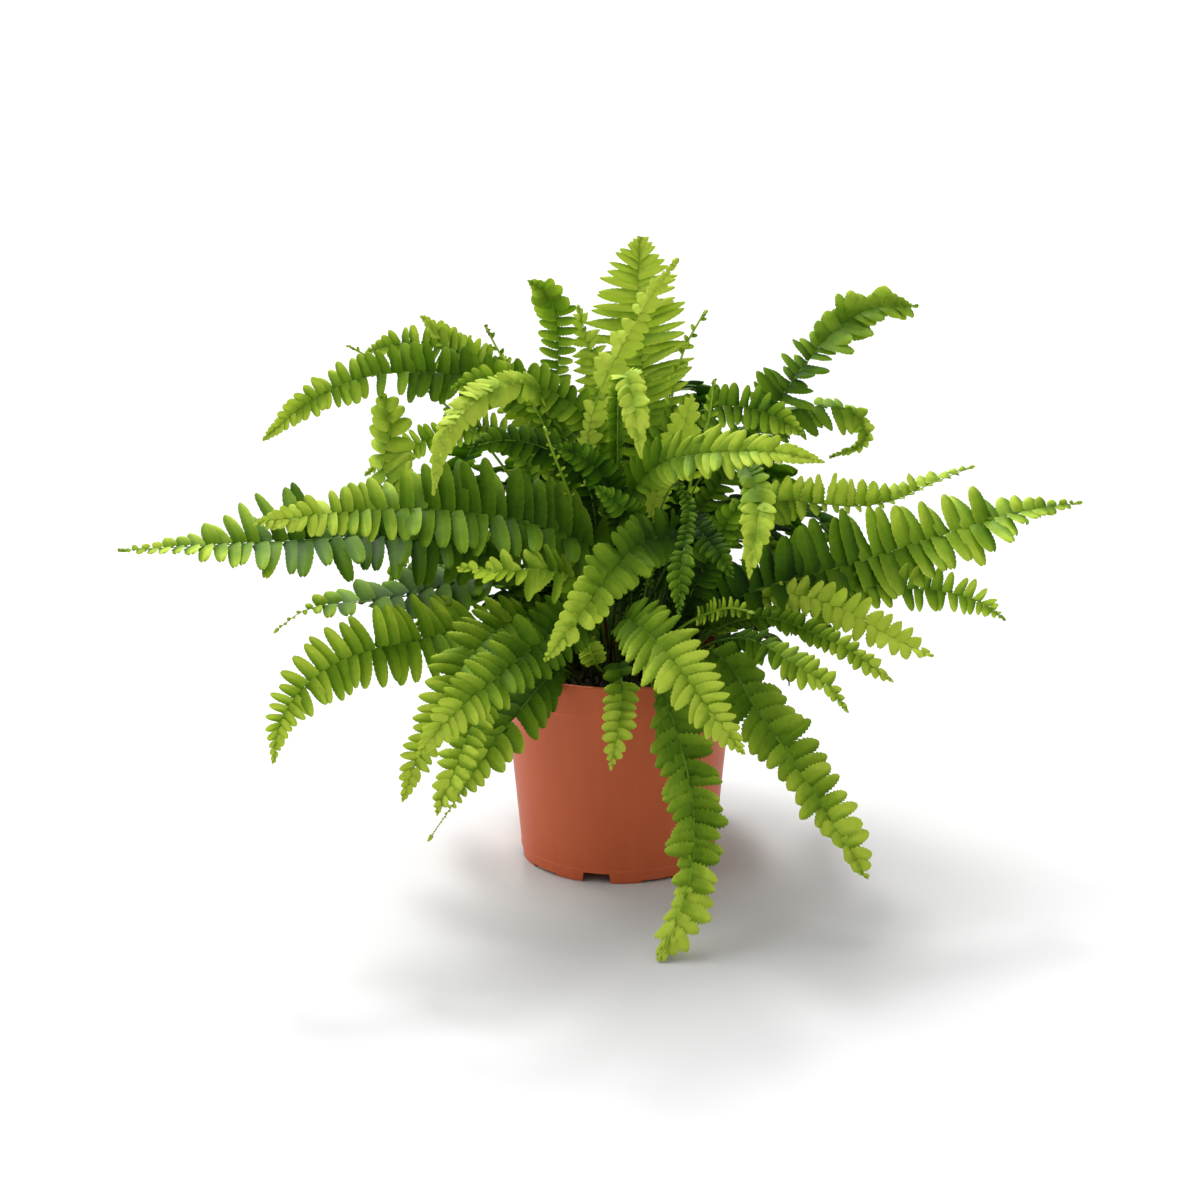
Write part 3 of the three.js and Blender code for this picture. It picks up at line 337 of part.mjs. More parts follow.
// young croziers that have barely left the crown
const CROZIERS = [
  { head: 1.7, spine: [[5.2, 2.9, 96], [7.7, 2.7, 119.2], [9.8, 1.8, 142], [14.4, 1.3, 165.6], [19.2, -0.1, 188.6], [22.5, 2, 211], [26, 6.4, 233.6], [31.1, 12.8, 255.2], [41.9, 18, 275]] },
  { head: 1.7, spine: [[-8.4, 2.2, 96], [-11.5, 2.3, 119.1], [-14.8, 1.4, 142.2], [-18.8, 0.1, 165.2], [-24.2, -0.2, 187.9], [-31.6, 1.2, 209.9], [-41.7, 7.1, 229.7], [-54, 17.8, 246.3], [-65.3, 26, 264.3]] },
  { head: 1.3, spine: [[-14.9, 3.9, 96], [-22.1, 7, 121.8], [-30.7, 8, 146.9], [-42.4, 10.6, 171.6], [-55.6, 15.6, 194.3], [-72.4, 21.8, 214.3], [-92, 30.8, 230.2], [-113.3, 42.4, 241.6], [-135.9, 52, 251.9]] },
  { head: 1.3, spine: [[-5.6, -5.1, 96], [-7.1, -7.6, 114.1], [-9.2, -10.9, 131.9], [-12.2, -13.9, 149], [-17.2, -21.1, 166.2], [-20.5, -29.3, 182.5], [-25.1, -37.6, 198], [-30, -46.2, 213.4], [-35.6, -48, 229.4]] },
  { head: 2, spine: [[12.3, -2.2, 96], [16.3, -2.9, 114.6], [20.3, -4.2, 133.2], [24.4, -6, 151.7], [28.8, -7.6, 170.1], [33.5, -8.2, 188.6], [38.4, -7, 206.9], [43.3, -4, 225], [46, 0, 243.2]] },
  { head: 2.6, spine: [[-5.1, -27.1, 96], [-6.2, -30.2, 101], [-7.7, -34.5, 104.9], [-9.3, -39.3, 108.1], [-10.9, -44, 111.5], [-12.1, -48.4, 115.5], [-13.3, -52.6, 119.6], [-14.4, -56.2, 124.1], [-15.3, -58, 129.7]] },
  { head: 2.3, spine: [[13.1, -22.3, 96], [16.8, -27.1, 107.7], [21.6, -33, 118.4], [27.4, -40.3, 127.6], [33.8, -48.9, 135.2], [39.9, -58.8, 141.3], [45.5, -69.5, 146.5], [51.6, -80.2, 150.9], [61.4, -88, 151]] },
];

// ---- helpers -------------------------------------------------------------------
function toSolid(geometry) {
  let g = geometry.index ? geometry.toNonIndexed() : geometry.clone();
  for (const key of Object.keys(g.attributes)) if (key !== 'position') g.deleteAttribute(key);
  g = mergeVertices(g, 1e-4);
  const tri = [];
  const idx = g.index.array;
  for (let i = 0; i < idx.length; i += 3) {
    const [a, b, c] = [idx[i], idx[i + 1], idx[i + 2]];
    if (a !== b && b !== c && a !== c) tri.push(a, b, c);
  }
  return new wasm.Manifold(new wasm.Mesh({
    numProp: 3, vertProperties: new Float32Array(g.attributes.position.array), triVerts: new Uint32Array(tri),
  }));
}

function toGeometry(solid) {
  const m = solid.getMesh();
  const g = new THREE.BufferGeometry();
  const p = new Float32Array(m.numVert * 3);
  for (let i = 0; i < m.numVert; i++) {
    for (let k = 0; k < 3; k++) p[i * 3 + k] = m.vertProperties[i * m.numProp + k];
  }
  g.setAttribute('position', new THREE.BufferAttribute(p, 3));
  g.setIndex(new THREE.BufferAttribute(new Uint32Array(m.triVerts), 1));
  g.computeVertexNormals();
  return g;
}

function largest(solid) {
  let best = null, size = -1;
  for (const piece of solid.decompose()) {
    const v = piece.volume();
    if (v > size) { size = v; best = piece; }
  }
  return best;
}

const vec = (a) => new THREE.Vector3(a[0], a[1], a[2]);
const mix = (list, s) => {
  const i = Math.min(Math.floor(s), list.length - 2);
  return list[i] + (list[i + 1] - list[i]) * (s - i);
};

// A ribbon of box shape, bent along the spine: x runs from crown to tip, y across
// the leaflets, z through the thickness.  Inside a tight bend the leaflets bunch up,
// so the ribbon is drawn in there until its edge runs forward at every step.
function ribbon(frond, reachOf, grow, steps) {
  const curve = new THREE.CatmullRomCurve3(frond.spine.map(vec), false, 'centripetal');
  const lift = THREE.MathUtils.degToRad(frond.droop);
  const n = frond.spine.length - 1;
  const faces = frond.face.map(vec);
  const at = [];
  for (let k = 0; k <= steps; k++) {
    const u = k / steps;
    const t = curve.getTangent(u).normalize();
    const fs = u * (faces.length - 1);
    const fi = Math.min(Math.floor(fs), faces.length - 2);
    const up = faces[fi].clone().lerp(faces[fi + 1], fs - fi);
    up.addScaledVector(t, -up.dot(t)).normalize();
    const side = new THREE.Vector3().crossVectors(up, t).normalize();
    const w = reachOf(u * n) + grow;
    at.push({ c: curve.getPoint(u), t, up, side, w: { '-1': w, 0: 0, 1: w } });
  }
  const edge = (s, y) => s.c.clone()
    .addScaledVector(s.side, y * s.w[y] * Math.cos(lift))
    .addScaledVector(s.up, s.w[y] * Math.sin(lift));
  for (const y of [-1, 1]) {
    for (let pass = 0; pass < 40; pass++) {
      let tight = false;
      for (let k = 0; k < steps; k++) {
        const a = at[k], b = at[k + 1];
        const run = b.c.clone().sub(a.c);
        const go = edge(b, y).sub(edge(a, y));
        const want = MIN_ADVANCE * run.length();
        if (Math.min(go.dot(a.t), go.dot(b.t), go.dot(run.normalize())) < want) {
          tight = true;
          for (const s of [a, b]) s.w[y] = Math.max(s.w[y] * 0.93, 0.6);
        }
      }
      if (!tight) break;
    }
  }
  const g = new THREE.BoxGeometry(1, 2, 1, steps, 2, 1);
  const pos = g.attributes.position;
  for (let i = 0; i < pos.count; i++) {
    const k = Math.round((pos.getX(i) + 0.5) * steps), u = k / steps;
    const y = Math.round(pos.getY(i)), z = pos.getZ(i) * 2;
    const s = at[k];
    const c = edge(s, y);
    const th = (y === 0 ? STEM_THICK + (TIP_THICK - STEM_THICK) * u : EDGE_THICK) / 2 + grow;
    c.addScaledVector(s.up, z * th);
    if (grow > 0) c.addScaledVector(s.t, u === 0 ? -grow : u === 1 ? grow : 0);
    pos.setXYZ(i, c.x, c.y, c.z);
  }
  // the underside is split along the same diagonals as the top, so a twist keeps
  // the two sheets apart
  const ix = g.index, under = g.groups[5];
  for (let i = under.start; i < under.start + under.count; i += 6) {
    const a = ix.getX(i), b = ix.getX(i + 1), d = ix.getX(i + 2), c = ix.getX(i + 4);
    [a, b, c, a, c, d].forEach((v, k) => ix.setX(i + k, v));
  }
  return g;
}

function lathe(profile, segments = POT_SEGMENTS) {
  const g = new THREE.LatheGeometry(profile.map(([r, z]) => new THREE.Vector2(r, z)), segments);
  g.rotateX(Math.PI / 2);
  return toSolid(g);
}

function boxAt(sx, sy, sz, radius, z, angleDeg, taper = 0) {
  const g = new THREE.BoxGeometry(sx, sy, sz);
  const p = g.attributes.position;
  for (let i = 0; i < p.count; i++) {
    if (p.getZ(i) < 0) p.setY(i, p.getY(i) * (1 + taper));
  }
  g.translate(radius, 0, z);
  g.rotateZ(THREE.MathUtils.degToRad(angleDeg));
  return toSolid(g);
}

// ---- pot -----------------------------------------------------------------------
const outerAt = (z) => POT_BASE_RADIUS + (POT_TOP_RADIUS - RIM_STEP - POT_BASE_RADIUS) * (z / POT_HEIGHT);
function makePot() {
  const band = POT_HEIGHT - RIM_BAND;
  const profile = [
    [0, PLATE_BOTTOM],
    [outerAt(0) - FOOT_WALL - 0.6, PLATE_BOTTOM],
    [outerAt(0) - FOOT_WALL, PLATE_BOTTOM - 0.6],
    [outerAt(0) - FOOT_WALL, 0],
    [outerAt(0) - 0.5, 0],
    [outerAt(0), 0.5],
    [outerAt(6.6), 6.6],
    [outerAt(7.2) - 0.35, 7.2],
    [outerAt(band - 0.9), band - 0.9],
    [outerAt(band) + RIM_STEP, band],
    [POT_TOP_RADIUS, POT_HEIGHT - 0.5],
    [POT_TOP_RADIUS - 0.5, POT_HEIGHT],
    [POT_TOP_RADIUS - WALL - 0.4, POT_HEIGHT],
    [POT_TOP_RADIUS - RIM_STEP - WALL - 0.3, POT_HEIGHT - 0.6],
    [outerAt(PLATE_TOP + 2) - WALL, PLATE_TOP + 2],
    [outerAt(PLATE_TOP) - WALL - 2, PLATE_TOP],
    [0, PLATE_TOP],
  ];
  let pot = lathe(profile);
  for (let k = 0; k < 5; k++) {
    const a = FIRST_NOTCH + k * UNIT;
    pot = pot.subtract(boxAt(14, NOTCH_WIDTH, NOTCH_HEIGHT + 2, outerAt(0) - 2, NOTCH_HEIGHT / 2 - 1, a, 0.12));
    pot = pot.subtract(boxAt(14, RECESS_WIDTH, RECESS_HEIGHT + 2, outerAt(0) - 2, RECESS_HEIGHT / 2 - 1, a + UNIT / 2, 0.06));
    const hole = new THREE.CylinderGeometry(DRAIN_RADIUS, DRAIN_RADIUS, 8, 16);
    hole.rotateX(Math.PI / 2);
    hole.translate(34, 0, (PLATE_BOTTOM + PLATE_TOP) / 2);
    hole.rotateZ(THREE.MathUtils.degToRad(a + 18));
    pot = pot.subtract(toSolid(hole));
  }
  return pot;
}

// ---- growing mix ---------------------------------------------------------------
function makeSoil() {
  const inner = (z) => outerAt(z) - WALL - GAP - 0.15;
  return lathe([
    [0, PLATE_TOP + GAP],
    [inner(PLATE_TOP) - 2.4, PLATE_TOP + GAP],
    [inner(PLATE_TOP + 2.6) - 0.2, PLATE_TOP + 2.6],
    [inner(SOIL_TOP - 3.4) , SOIL_TOP - 3.4],
    [inner(SOIL_TOP - 2.6) - 3.4, SOIL_TOP - 2.0],
    [48, SOIL_TOP - 0.9],
    [CROWN_RADIUS + 1.5, SOIL_TOP - 0.6],
    [0, SOIL_TOP - 0.6],
  ], 40);
}

// ---- crown: the low mound of rhizome that every frond rises from -----------------
function makeCrown() {
  let crown = lathe([
    [0, SOIL_TOP - 0.6 + GAP],
    [CROWN_RADIUS - 1, SOIL_TOP - 0.6 + GAP],
    [CROWN_RADIUS, SOIL_TOP + 0.5],
    [CROWN_RADIUS - 2.5, CROWN_TOP],
    [0, CROWN_TOP],
  ], 26);
  for (const c of CROZIERS) {
    const pts = c.spine.map(vec);
    pts[0].z = CROWN_TOP - 1;
    const path = new THREE.CatmullRomCurve3(pts, false, 'centripetal');
    const ring = new THREE.Shape();
    ring.absarc(0, 0, 0.85, 0, Math.PI * 2, false);
    const stem = new THREE.ExtrudeGeometry(ring, { steps: 6, curveSegments: 3, bevelEnabled: false, extrudePath: path });
    crown = crown.add(toSolid(stem));
    const bud = new THREE.SphereGeometry(c.head + 0.6, 7, 5);
    const tip = pts[pts.length - 1];
    bud.translate(tip.x, tip.y, tip.z);
    crown = crown.add(toSolid(bud));
  }
  return crown;
}

// ---- fronds: those of one tuft grow from the same foot and are one piece ---------
const tufts = [];
for (const f of FRONDS) {
  const wide = (s) => mix(f.reach, s);
  const thin = () => STEM_THICK / 2;
  const length = f.spine.slice(1).reduce((sum, p, i) => sum + vec(p).distanceTo(vec(f.spine[i])), 0);
  const steps = Math.max(7, Math.min(FROND_STEPS, Math.round(length / 24)));
  const made = {
    name: f.name,
    tone: f.tone,
    blade: toSolid(ribbon(f, wide, 0, steps)),
    grown: toSolid(ribbon(f, wide, GAP + 0.05, steps)),
    rib: toSolid(ribbon(f, thin, 0.02, steps)),
    ribGrown: toSolid(ribbon(f, thin, GAP + 0.05, steps)),
  };
  const before = tufts[tufts.length - 1];
  if (before && before.name === f.name) {
    for (const key of ['blade', 'grown', 'rib', 'ribGrown']) before[key] = before[key].add(made[key]);
  } else tufts.push(made);
}

const boxesMeet = (a, b) => {
  const p = a.boundingBox(), q = b.boundingBox();
  for (let k = 0; k < 3; k++) if (p.min[k] > q.max[k] || q.min[k] > p.max[k]) return false;
  return true;
};

const pot = makePot();
const soil = makeSoil();
const crown = makeCrown();

// young croziers keep their own room
const crownGrown = CROZIERS.map((c) => {
  const pts = c.spine.map(vec);
  const path = new THREE.CatmullRomCurve3(pts, false, 'centripetal');
  const ring = new THREE.Shape();
  ring.absarc(0, 0, 1.35, 0, Math.PI * 2, false);
  const stem = new THREE.ExtrudeGeometry(ring, { steps: 6, curveSegments: 3, bevelEnabled: false, extrudePath: path });
  const bud = new THREE.SphereGeometry(c.head + 1.1, 8, 6);
  const tip = pts[pts.length - 1];
  bud.translate(tip.x, tip.y, tip.z);
  return toSolid(stem).add(toSolid(bud));
});

// the room taken by the pot, the mix and the crown, a little grown
const potRoom = lathe([
  [0, -4],
  [outerAt(-4) + 0.45, -4],
  [outerAt(POT_HEIGHT - RIM_BAND - 1) + 0.45, POT_HEIGHT - RIM_BAND - 1],
  [outerAt(POT_HEIGHT - RIM_BAND) + RIM_STEP + 0.45, POT_HEIGHT - RIM_BAND - 0.3],
  [POT_TOP_RADIUS + 0.45, POT_HEIGHT - 0.4],
  [POT_TOP_RADIUS + 0.2, POT_HEIGHT + 0.35],
  [POT_TOP_RADIUS - WALL - 0.8, POT_HEIGHT + 0.35],
  [POT_TOP_RADIUS - RIM_STEP - WALL - 0.9, POT_HEIGHT - 1],
  [outerAt(SOIL_TOP) - WALL - 0.6, SOIL_TOP],
  [CROWN_RADIUS + 0.5, SOIL_TOP - 0.1],
  [CROWN_RADIUS + 0.3, SOIL_TOP + 0.6],
  [CROWN_RADIUS - 2.2, CROWN_TOP + 0.3],
  [0, CROWN_TOP + 0.3],
]);

// Where leaflets of two fronds cross, the one lower in the list gives way, and no
// midrib is ever cut.
const keepOut = [];
const fronds = tufts.map((b, i) => {
  let body = b.blade;
  if (boxesMeet(body, potRoom)) body = body.subtract(potRoom);
  for (let j = 0; j < tufts.length; j++) {
    if (j !== i && boxesMeet(body, tufts[j].ribGrown)) body = body.subtract(tufts[j].ribGrown);
  }
  for (const c of crownGrown) if (boxesMeet(body, c)) body = body.subtract(c);
  for (let j = 0; j < i; j++) {
    if (boxesMeet(body, keepOut[j])) body = body.subtract(keepOut[j]);
  }
  let guard = b.grown;
  for (let j = i + 1; j < tufts.length; j++) {
    if (boxesMeet(guard, tufts[j].rib)) guard = guard.subtract(tufts[j].rib);
  }
  keepOut.push(guard);
  return largest(body);
});

// ---- scene graph -----------------------------------------------------------------
const group = new THREE.Group();
function add(name, solid, color, roughness) {
  const mesh = new THREE.Mesh(toGeometry(solid), new THREE.MeshStandardMaterial({ color, roughness, metalness: 0 }));
  mesh.name = name;
  mesh.position.set(PLAN_SHIFT[0], PLAN_SHIFT[1], 0);
  group.add(mesh);
}

add('nursery_pot', pot, 0xb0603f, 0.45);
add('growing_mix', soil, 0x221b15, 0.95);
add('crown', crown, 0x46502a, 0.8);
const DARK = new THREE.Color(0x2f5f1c), LIGHT = new THREE.Color(0x9ec23a);
fronds.forEach((solid, i) => {
  add(tufts[i].name, solid, DARK.clone().lerp(LIGHT, tufts[i].tone), 0.5);
});

export default group;
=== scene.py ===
import math

import bpy
import numpy as np
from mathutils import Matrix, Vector


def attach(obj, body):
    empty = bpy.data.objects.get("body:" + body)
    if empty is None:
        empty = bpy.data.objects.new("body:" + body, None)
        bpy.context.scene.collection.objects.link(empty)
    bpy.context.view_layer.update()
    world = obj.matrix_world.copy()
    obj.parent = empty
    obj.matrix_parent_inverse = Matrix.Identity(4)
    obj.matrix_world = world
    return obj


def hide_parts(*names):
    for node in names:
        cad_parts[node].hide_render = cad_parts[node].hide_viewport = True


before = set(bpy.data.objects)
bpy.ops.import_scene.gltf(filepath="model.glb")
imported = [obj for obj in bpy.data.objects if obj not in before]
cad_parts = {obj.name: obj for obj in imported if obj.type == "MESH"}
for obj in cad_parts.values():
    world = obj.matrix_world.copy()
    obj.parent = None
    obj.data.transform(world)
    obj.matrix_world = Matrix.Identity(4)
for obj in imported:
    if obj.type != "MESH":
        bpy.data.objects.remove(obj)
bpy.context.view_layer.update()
scene = bpy.context.scene

MM = 0.001
SHIFT = np.array([-0.641, 1.561, 0.0])   # the pot's axis in the plan, mm

# ---------------------------------------------------------------------------
# fronds: midrib points from crown to tip, reach of the leaflets, the way the
# upper face looks, all in mm with the pot's axis at x = y = 0
# tone 0 dark mature .. 1 yellow-green young, and root how much darker a frond gets towards the crown; both were fitted
# to how bright each frond looks, so they carry painted light and shade as well as age; tip = how much lighter the tip
# is
# sp leaflet spacing, pw leaflet width / spacing, pt pointedness, cren crenation
# ---------------------------------------------------------------------------
FRONDS = [
    dict(node='frond_01', tone=0.52, sp=7, pw=1.04, pt=0.15, tip=1, tilt=16, fwd=-6, root=0.1, lift=16,
         spine=[(-17.6, -20.2, 96), (-13.1, -26.6, 119.7), (-7.2, -31.1, 143.5), (-10.9, -37.5, 165.3), (-28.4, -47.1, 178.8), (-49.7, -56.9, 187.4), (-72.4, -65.6, 193.4), (-96, -73, 196.8), (-120.3, -79.1, 197.4), (-144.8, -84.2, 195.9), (-169.5, -88, 193.7)],
         reach=[0.9, 1, 9.8, 23.1, 27, 27, 26.6, 21.1, 15.6, 9.4, 2.1],
         face=[(0.9, -0.34, -0.25), (0.89, -0.33, -0.3), (0.92, -0.39, 0.03), (0.62, -0.52, 0.59), (0.46, -0.54, 0.71), (0.32, -0.58, 0.75), (0.18, -0.63, 0.76), (0.08, -0.7, 0.71), (0.09, -0.88, 0.47)]),
    dict(node='frond_02', tone=0.42, sp=7.4, pw=0.95, pt=0.2, tip=0.9, knob=1.6, tilt=14, even=1, grow=0.5, root=0, lift=16,
         spine=[(-23.8, -9.4, 96), (-34.5, -9.9, 119.6), (-47.7, -10.3, 141.8), (-65.9, -13.9, 159), (-88.1, -22.2, 168.4), (-111.6, -32.1, 173.3), (-135.6, -41.7, 175.1), (-159.8, -50.9, 175.9), (-184.2, -59.7, 176.6), (-208.8, -68, 177.2), (-233.4, -76, 177.8)],
         reach=[0.9, 1, 8.4, 19, 25.6, 29.3, 25.1, 22.9, 11.9, 4.3, 2.3],
         face=[(0.74, -0.6, 0.3), (0.71, -0.6, 0.37), (0.61, -0.61, 0.52), (0.47, -0.63, 0.63), (0.32, -0.54, 0.78), (0.2, -0.44, 0.88), (0.17, -0.41, 0.89), (0.16, -0.43, 0.89), (0.26, -0.75, 0.61)]),
    dict(node='frond_03', tone=0.7, sp=6.8, pw=0.92, pt=0.3, tip=1, tilt=14, even=0, root=-0.05, lift=16,
         spine=[(-25, -16.3, 96), (-35.4, -21.6, 112.9), (-49.3, -28.8, 125.8), (-65.4, -39.4, 131.8), (-80.9, -52.7, 131.6), (-96.7, -66, 131), (-113.5, -77.9, 130.8), (-131, -87.8, 127.3), (-147.2, -95.5, 117.7), (-158.3, -101.4, 102.2), (-162.3, -105, 82.5)],
         reach=[0.9, 1, 7.8, 18, 22.7, 21.5, 19.1, 17.6, 13.3, 7.7, 1.5],
         face=[(0.89, -0.14, 0.44), (0.77, -0.2, 0.61), (0.51, -0.33, 0.79), (0.36, -0.47, 0.8), (0.52, -0.67, 0.53), (0.45, -0.82, 0.35), (0.19, -0.9, 0.4), (0.1, -0.96, 0.25), (0.54, -0.84, 0.05)]),
    dict(node='frond_04', tone=0.38, sp=8.4, pw=0.98, pt=0.2, tip=0.95, even=0.7, root=-0.1, lift=16,
         spine=[(-29, -5.1, 96), (-36.7, -6.3, 111.7), (-45.3, -7.5, 127), (-56.3, -9.3, 140.2), (-71.2, -12.8, 146.8), (-87.6, -17.9, 145), (-104, -23.2, 141.7), (-120.6, -28.6, 140.4), (-137.3, -34, 140.3), (-153.5, -39.4, 138.3), (-167.2, -45, 129.5)],
         reach=[0.9, 1.1, 5.7, 15.7, 23.3, 26.8, 27.3, 25.2, 11.7, 1.8, 1.5],
         face=[(0.9, -0.03, 0.43), (0.88, -0.03, 0.47), (0.77, -0.04, 0.63), (0.29, -0.14, 0.95), (-0.14, -0.24, 0.96), (-0.04, -0.2, 0.98), (0.05, -0.16, 0.99), (0.01, -0.54, 0.84), (0.08, -0.92, 0.39)]),
    dict(node='frond_05', tone=0.52, sp=5.8, pw=1.05, pt=0.42, tip=1, cren=0.8, tilt=16, fwd=8, fuse=0.25, root=0.15, lift=16,
         spine=[(-11.8, -28, 96), (-13.5, -36.3, 112.6), (-15.3, -45.9, 128.2), (-19.3, -59.3, 139.3), (-26.6, -75.5, 141.2), (-35.2, -91.8, 139.1), (-44.5, -107.6, 136.1), (-55, -122, 131.1), (-66.9, -134.2, 124), (-79.3, -143.9, 114.5), (-91.1, -150, 101.7)],
         reach=[0.9, 0.9, 6.3, 13.9, 18.3, 17.7, 16.8, 15.8, 13.3, 8.8, 1.9],
         face=[(0.92, 0.31, 0.25), (0.91, 0.31, 0.26), (0.87, 0.14, 0.47), (0.67, -0.33, 0.67), (0.55, -0.42, 0.72), (0.44, -0.51, 0.74), (0.28, -0.68, 0.68), (0.16, -0.83, 0.53), (0.04, -0.95, 0.32)]),
    dict(node='frond_06', tone=0.78, sp=6.4, pw=1, pt=0.5, tip=1, cren=0.9, tilt=16, fwd=8, root=0.2, lift=16,
         spine=[(-23.8, -22.9, 96), (-30.4, -28, 111.5), (-38.3, -33.7, 126), (-47.9, -43.4, 135.2), (-57.4, -57.4, 134.4), (-66, -72, 130), (-74.1, -85.9, 122.9), (-81.2, -97.8, 112.4), (-88.5, -107.1, 99.4), (-95.5, -114.1, 85), (-100.9, -118, 68.8)],
         reach=[0.9, 1, 6, 13.2, 16.5, 16.3, 16.1, 12.8, 9.6, 7.5, 2.2],
         face=[(0.93, -0.06, 0.37), (0.9, -0.08, 0.42), (0.77, -0.18, 0.61), (0.47, -0.43, 0.77), (0.23, -0.46, 0.86), (-0.06, -0.59, 0.81), (-0.12, -0.77, 0.62), (0.22, -0.93, 0.29), (0.29, -0.95, 0.09)]),
    dict(node='frond_07', tone=0.62, sp=5.6, pw=1, pt=0.6, tip=1, cren=1, root=0.6, lift=16,
         spine=[(-18.4, -26.9, 96), (-24.2, -35.1, 108.1), (-31.9, -45.6, 116.6), (-40.7, -57.9, 120.7), (-49.4, -70.9, 120.7), (-57.1, -84.2, 117.3), (-63.4, -97.3, 111.3), (-68.7, -110.1, 103.8), (-73.1, -121.8, 94.2), (-77.6, -131.8, 82.9), (-83.7, -140, 70.9)],
         reach=[0.9, 0.9, 2.3, 5, 7.3, 9.5, 10.6, 10.1, 9.6, 8.8, 2.3],
         face=[(0.88, 0.15, 0.45), (0.79, 0.02, 0.62), (0.62, -0.19, 0.76), (0.49, -0.37, 0.79), (0.41, -0.5, 0.76), (0.31, -0.56, 0.77), (0.11, -0.65, 0.75), (-0.11, -0.75, 0.65), (-0.21, -0.76, 0.62)]),
    dict(node='frond_08', tone=0.8, sp=7.6, pw=1.15, pt=0.45, tip=1, thin=1, knob=1.2, root=0.45, lift=-16,
         spine=[(-16.5, -33.3, 96), (-22.7, -40.5, 106), (-30.5, -50.3, 110.3), (-37.5, -61.8, 107.6), (-44.1, -73.1, 102.8), (-51.1, -83.8, 97), (-58.5, -93.1, 89.8), (-66.1, -100.3, 80.5), (-73.5, -105.9, 70.1), (-81.2, -109.9, 59.2), (-89.1, -112, 47.9)],
         reach=[0.9, 0.9, 11.1, 16.2, 16.9, 16.2, 13.9, 10.4, 4.8, 1.1, 0.9],
         face=[(0.91, -0.14, 0.39), (0.79, -0.27, 0.55), (0.54, -0.5, 0.67), (0.43, -0.57, 0.7), (0.32, -0.66, 0.68), (0.13, -0.8, 0.59), (0.01, -0.89, 0.46), (-0.01, -0.95, 0.31), (-0.06, -0.98, 0.18)]),
    dict(node='frond_09', tone=0.38, sp=5.3, pw=1.25, pt=0.2, tip=0.9, cren=1.1, tilt=8, fuse=0.6, root=0.25, lift=16,
         spine=[(-2.2, -19.7, 96), (3.7, -24, 116.6), (12.3, -28.2, 136.4), (21.4, -34.3, 155.4), (26.7, -45.3, 172.3), (21.7, -63, 181.2), (11.5, -82.1, 183.4), (1.5, -101.1, 180.7), (-8.9, -117.8, 171.8), (-20.8, -129.1, 157.7), (-34.2, -135, 141.6)],
         reach=[0.9, 0.9, 3.4, 7.5, 11.1, 14, 14.4, 14.3, 11.9, 8.4, 1.9],
         face=[(0.95, 0.24, -0.19), (0.91, 0.26, -0.31), (0.9, 0.27, -0.35), (0.99, 0.14, -0.1), (0.88, -0.34, 0.33), (0.67, -0.4, 0.63), (0.4, -0.61, 0.68), (0.15, -0.88, 0.45), (0, -0.97, 0.26)]),
    dict(node='frond_10', tone=0.84, sp=7.2, pw=0.95, pt=0.45, tip=1, cren=1, vary=0.22, lost=0.12, tilt=6, root=0.55, lift=-16,
         spine=[(-9, -20.2, 96), (-9.7, -26, 110.8), (-10.3, -32.2, 125.6), (-11.9, -39.1, 140), (-15.4, -48.6, 152.1), (-21.8, -60.4, 160.5), (-30, -72.8, 166.5), (-39.2, -85.1, 170.9), (-49.5, -97, 173.5), (-60.8, -108, 176.4), (-72.8, -118, 180)],
         reach=[0.9, 0.9, 2.6, 5.5, 8.2, 10.7, 13.5, 12.1, 9.4, 6, 2.2],
         face=[(0.9, -0.43, -0.1), (0.9, -0.41, -0.15), (0.9, -0.43, -0.1), (0.89, -0.45, -0.08), (0.85, -0.53, -0.01), (0.83, -0.51, 0.22), (0.75, -0.58, 0.33), (0.67, -0.74, -0.1), (0.58, -0.8, -0.18)]),
    dict(node='frond_11', tone=0.76, sp=5.2, pw=1.15, pt=0.5, tip=1, cren=0.9, tilt=8, fuse=0.3, root=0.6, lift=16,
         spine=[(0.4, -34.5, 96), (0.2, -39.5, 103.5), (-0.2, -45.5, 110.3), (-0.4, -53.1, 114.8), (0.1, -61.7, 114.7), (0.8, -70, 111.3), (0.8, -77.9, 107), (0.3, -85.1, 101.5), (-1, -90.8, 94.7), (-2.6, -95.2, 87), (-4.3, -98, 78.6)],
         reach=[0.9, 0.9, 2.6, 5.7, 8.4, 8.8, 8.9, 8.9, 8.2, 5.7, 1.5],
         face=[(-0.16, 0.84, 0.52), (-0.16, 0.77, 0.61), (-0.17, 0.51, 0.84), (-0.15, -0.16, 0.97), (-0.04, -0.44, 0.9), (0.03, -0.57, 0.82), (0.04, -0.77, 0.64), (0.02, -0.89, 0.45), (-0.02, -0.97, 0.26)]),
    dict(node='frond_12', tone=0.86, sp=6.4, pw=1, pt=0.55, tip=1, cren=0.9, tilt=16, fwd=13, fuse=0.2, root=0.6, lift=16,
         spine=[(5, -27, 96), (4.3, -35.1, 111.3), (2.8, -44.9, 125.5), (2, -57.4, 137.1), (4.6, -72.7, 143.1), (11, -88.6, 142.6), (18.2, -104, 139.3), (25.8, -118.4, 133.7), (34.7, -129.9, 124.6), (44.6, -137.8, 112.9), (55.1, -142, 99.9)],
         reach=[0.9, 0.9, 4.6, 10, 14.7, 17.6, 18.2, 17.7, 13.7, 9.5, 1.9],
         face=[(-0.81, 0.53, 0.24), (-0.81, 0.52, 0.25), (-0.82, 0.42, 0.38), (-0.78, -0.02, 0.63), (-0.61, -0.38, 0.7), (-0.49, -0.48, 0.73), (-0.31, -0.73, 0.61), (-0.13, -0.9, 0.41), (0.01, -0.97, 0.23)]),
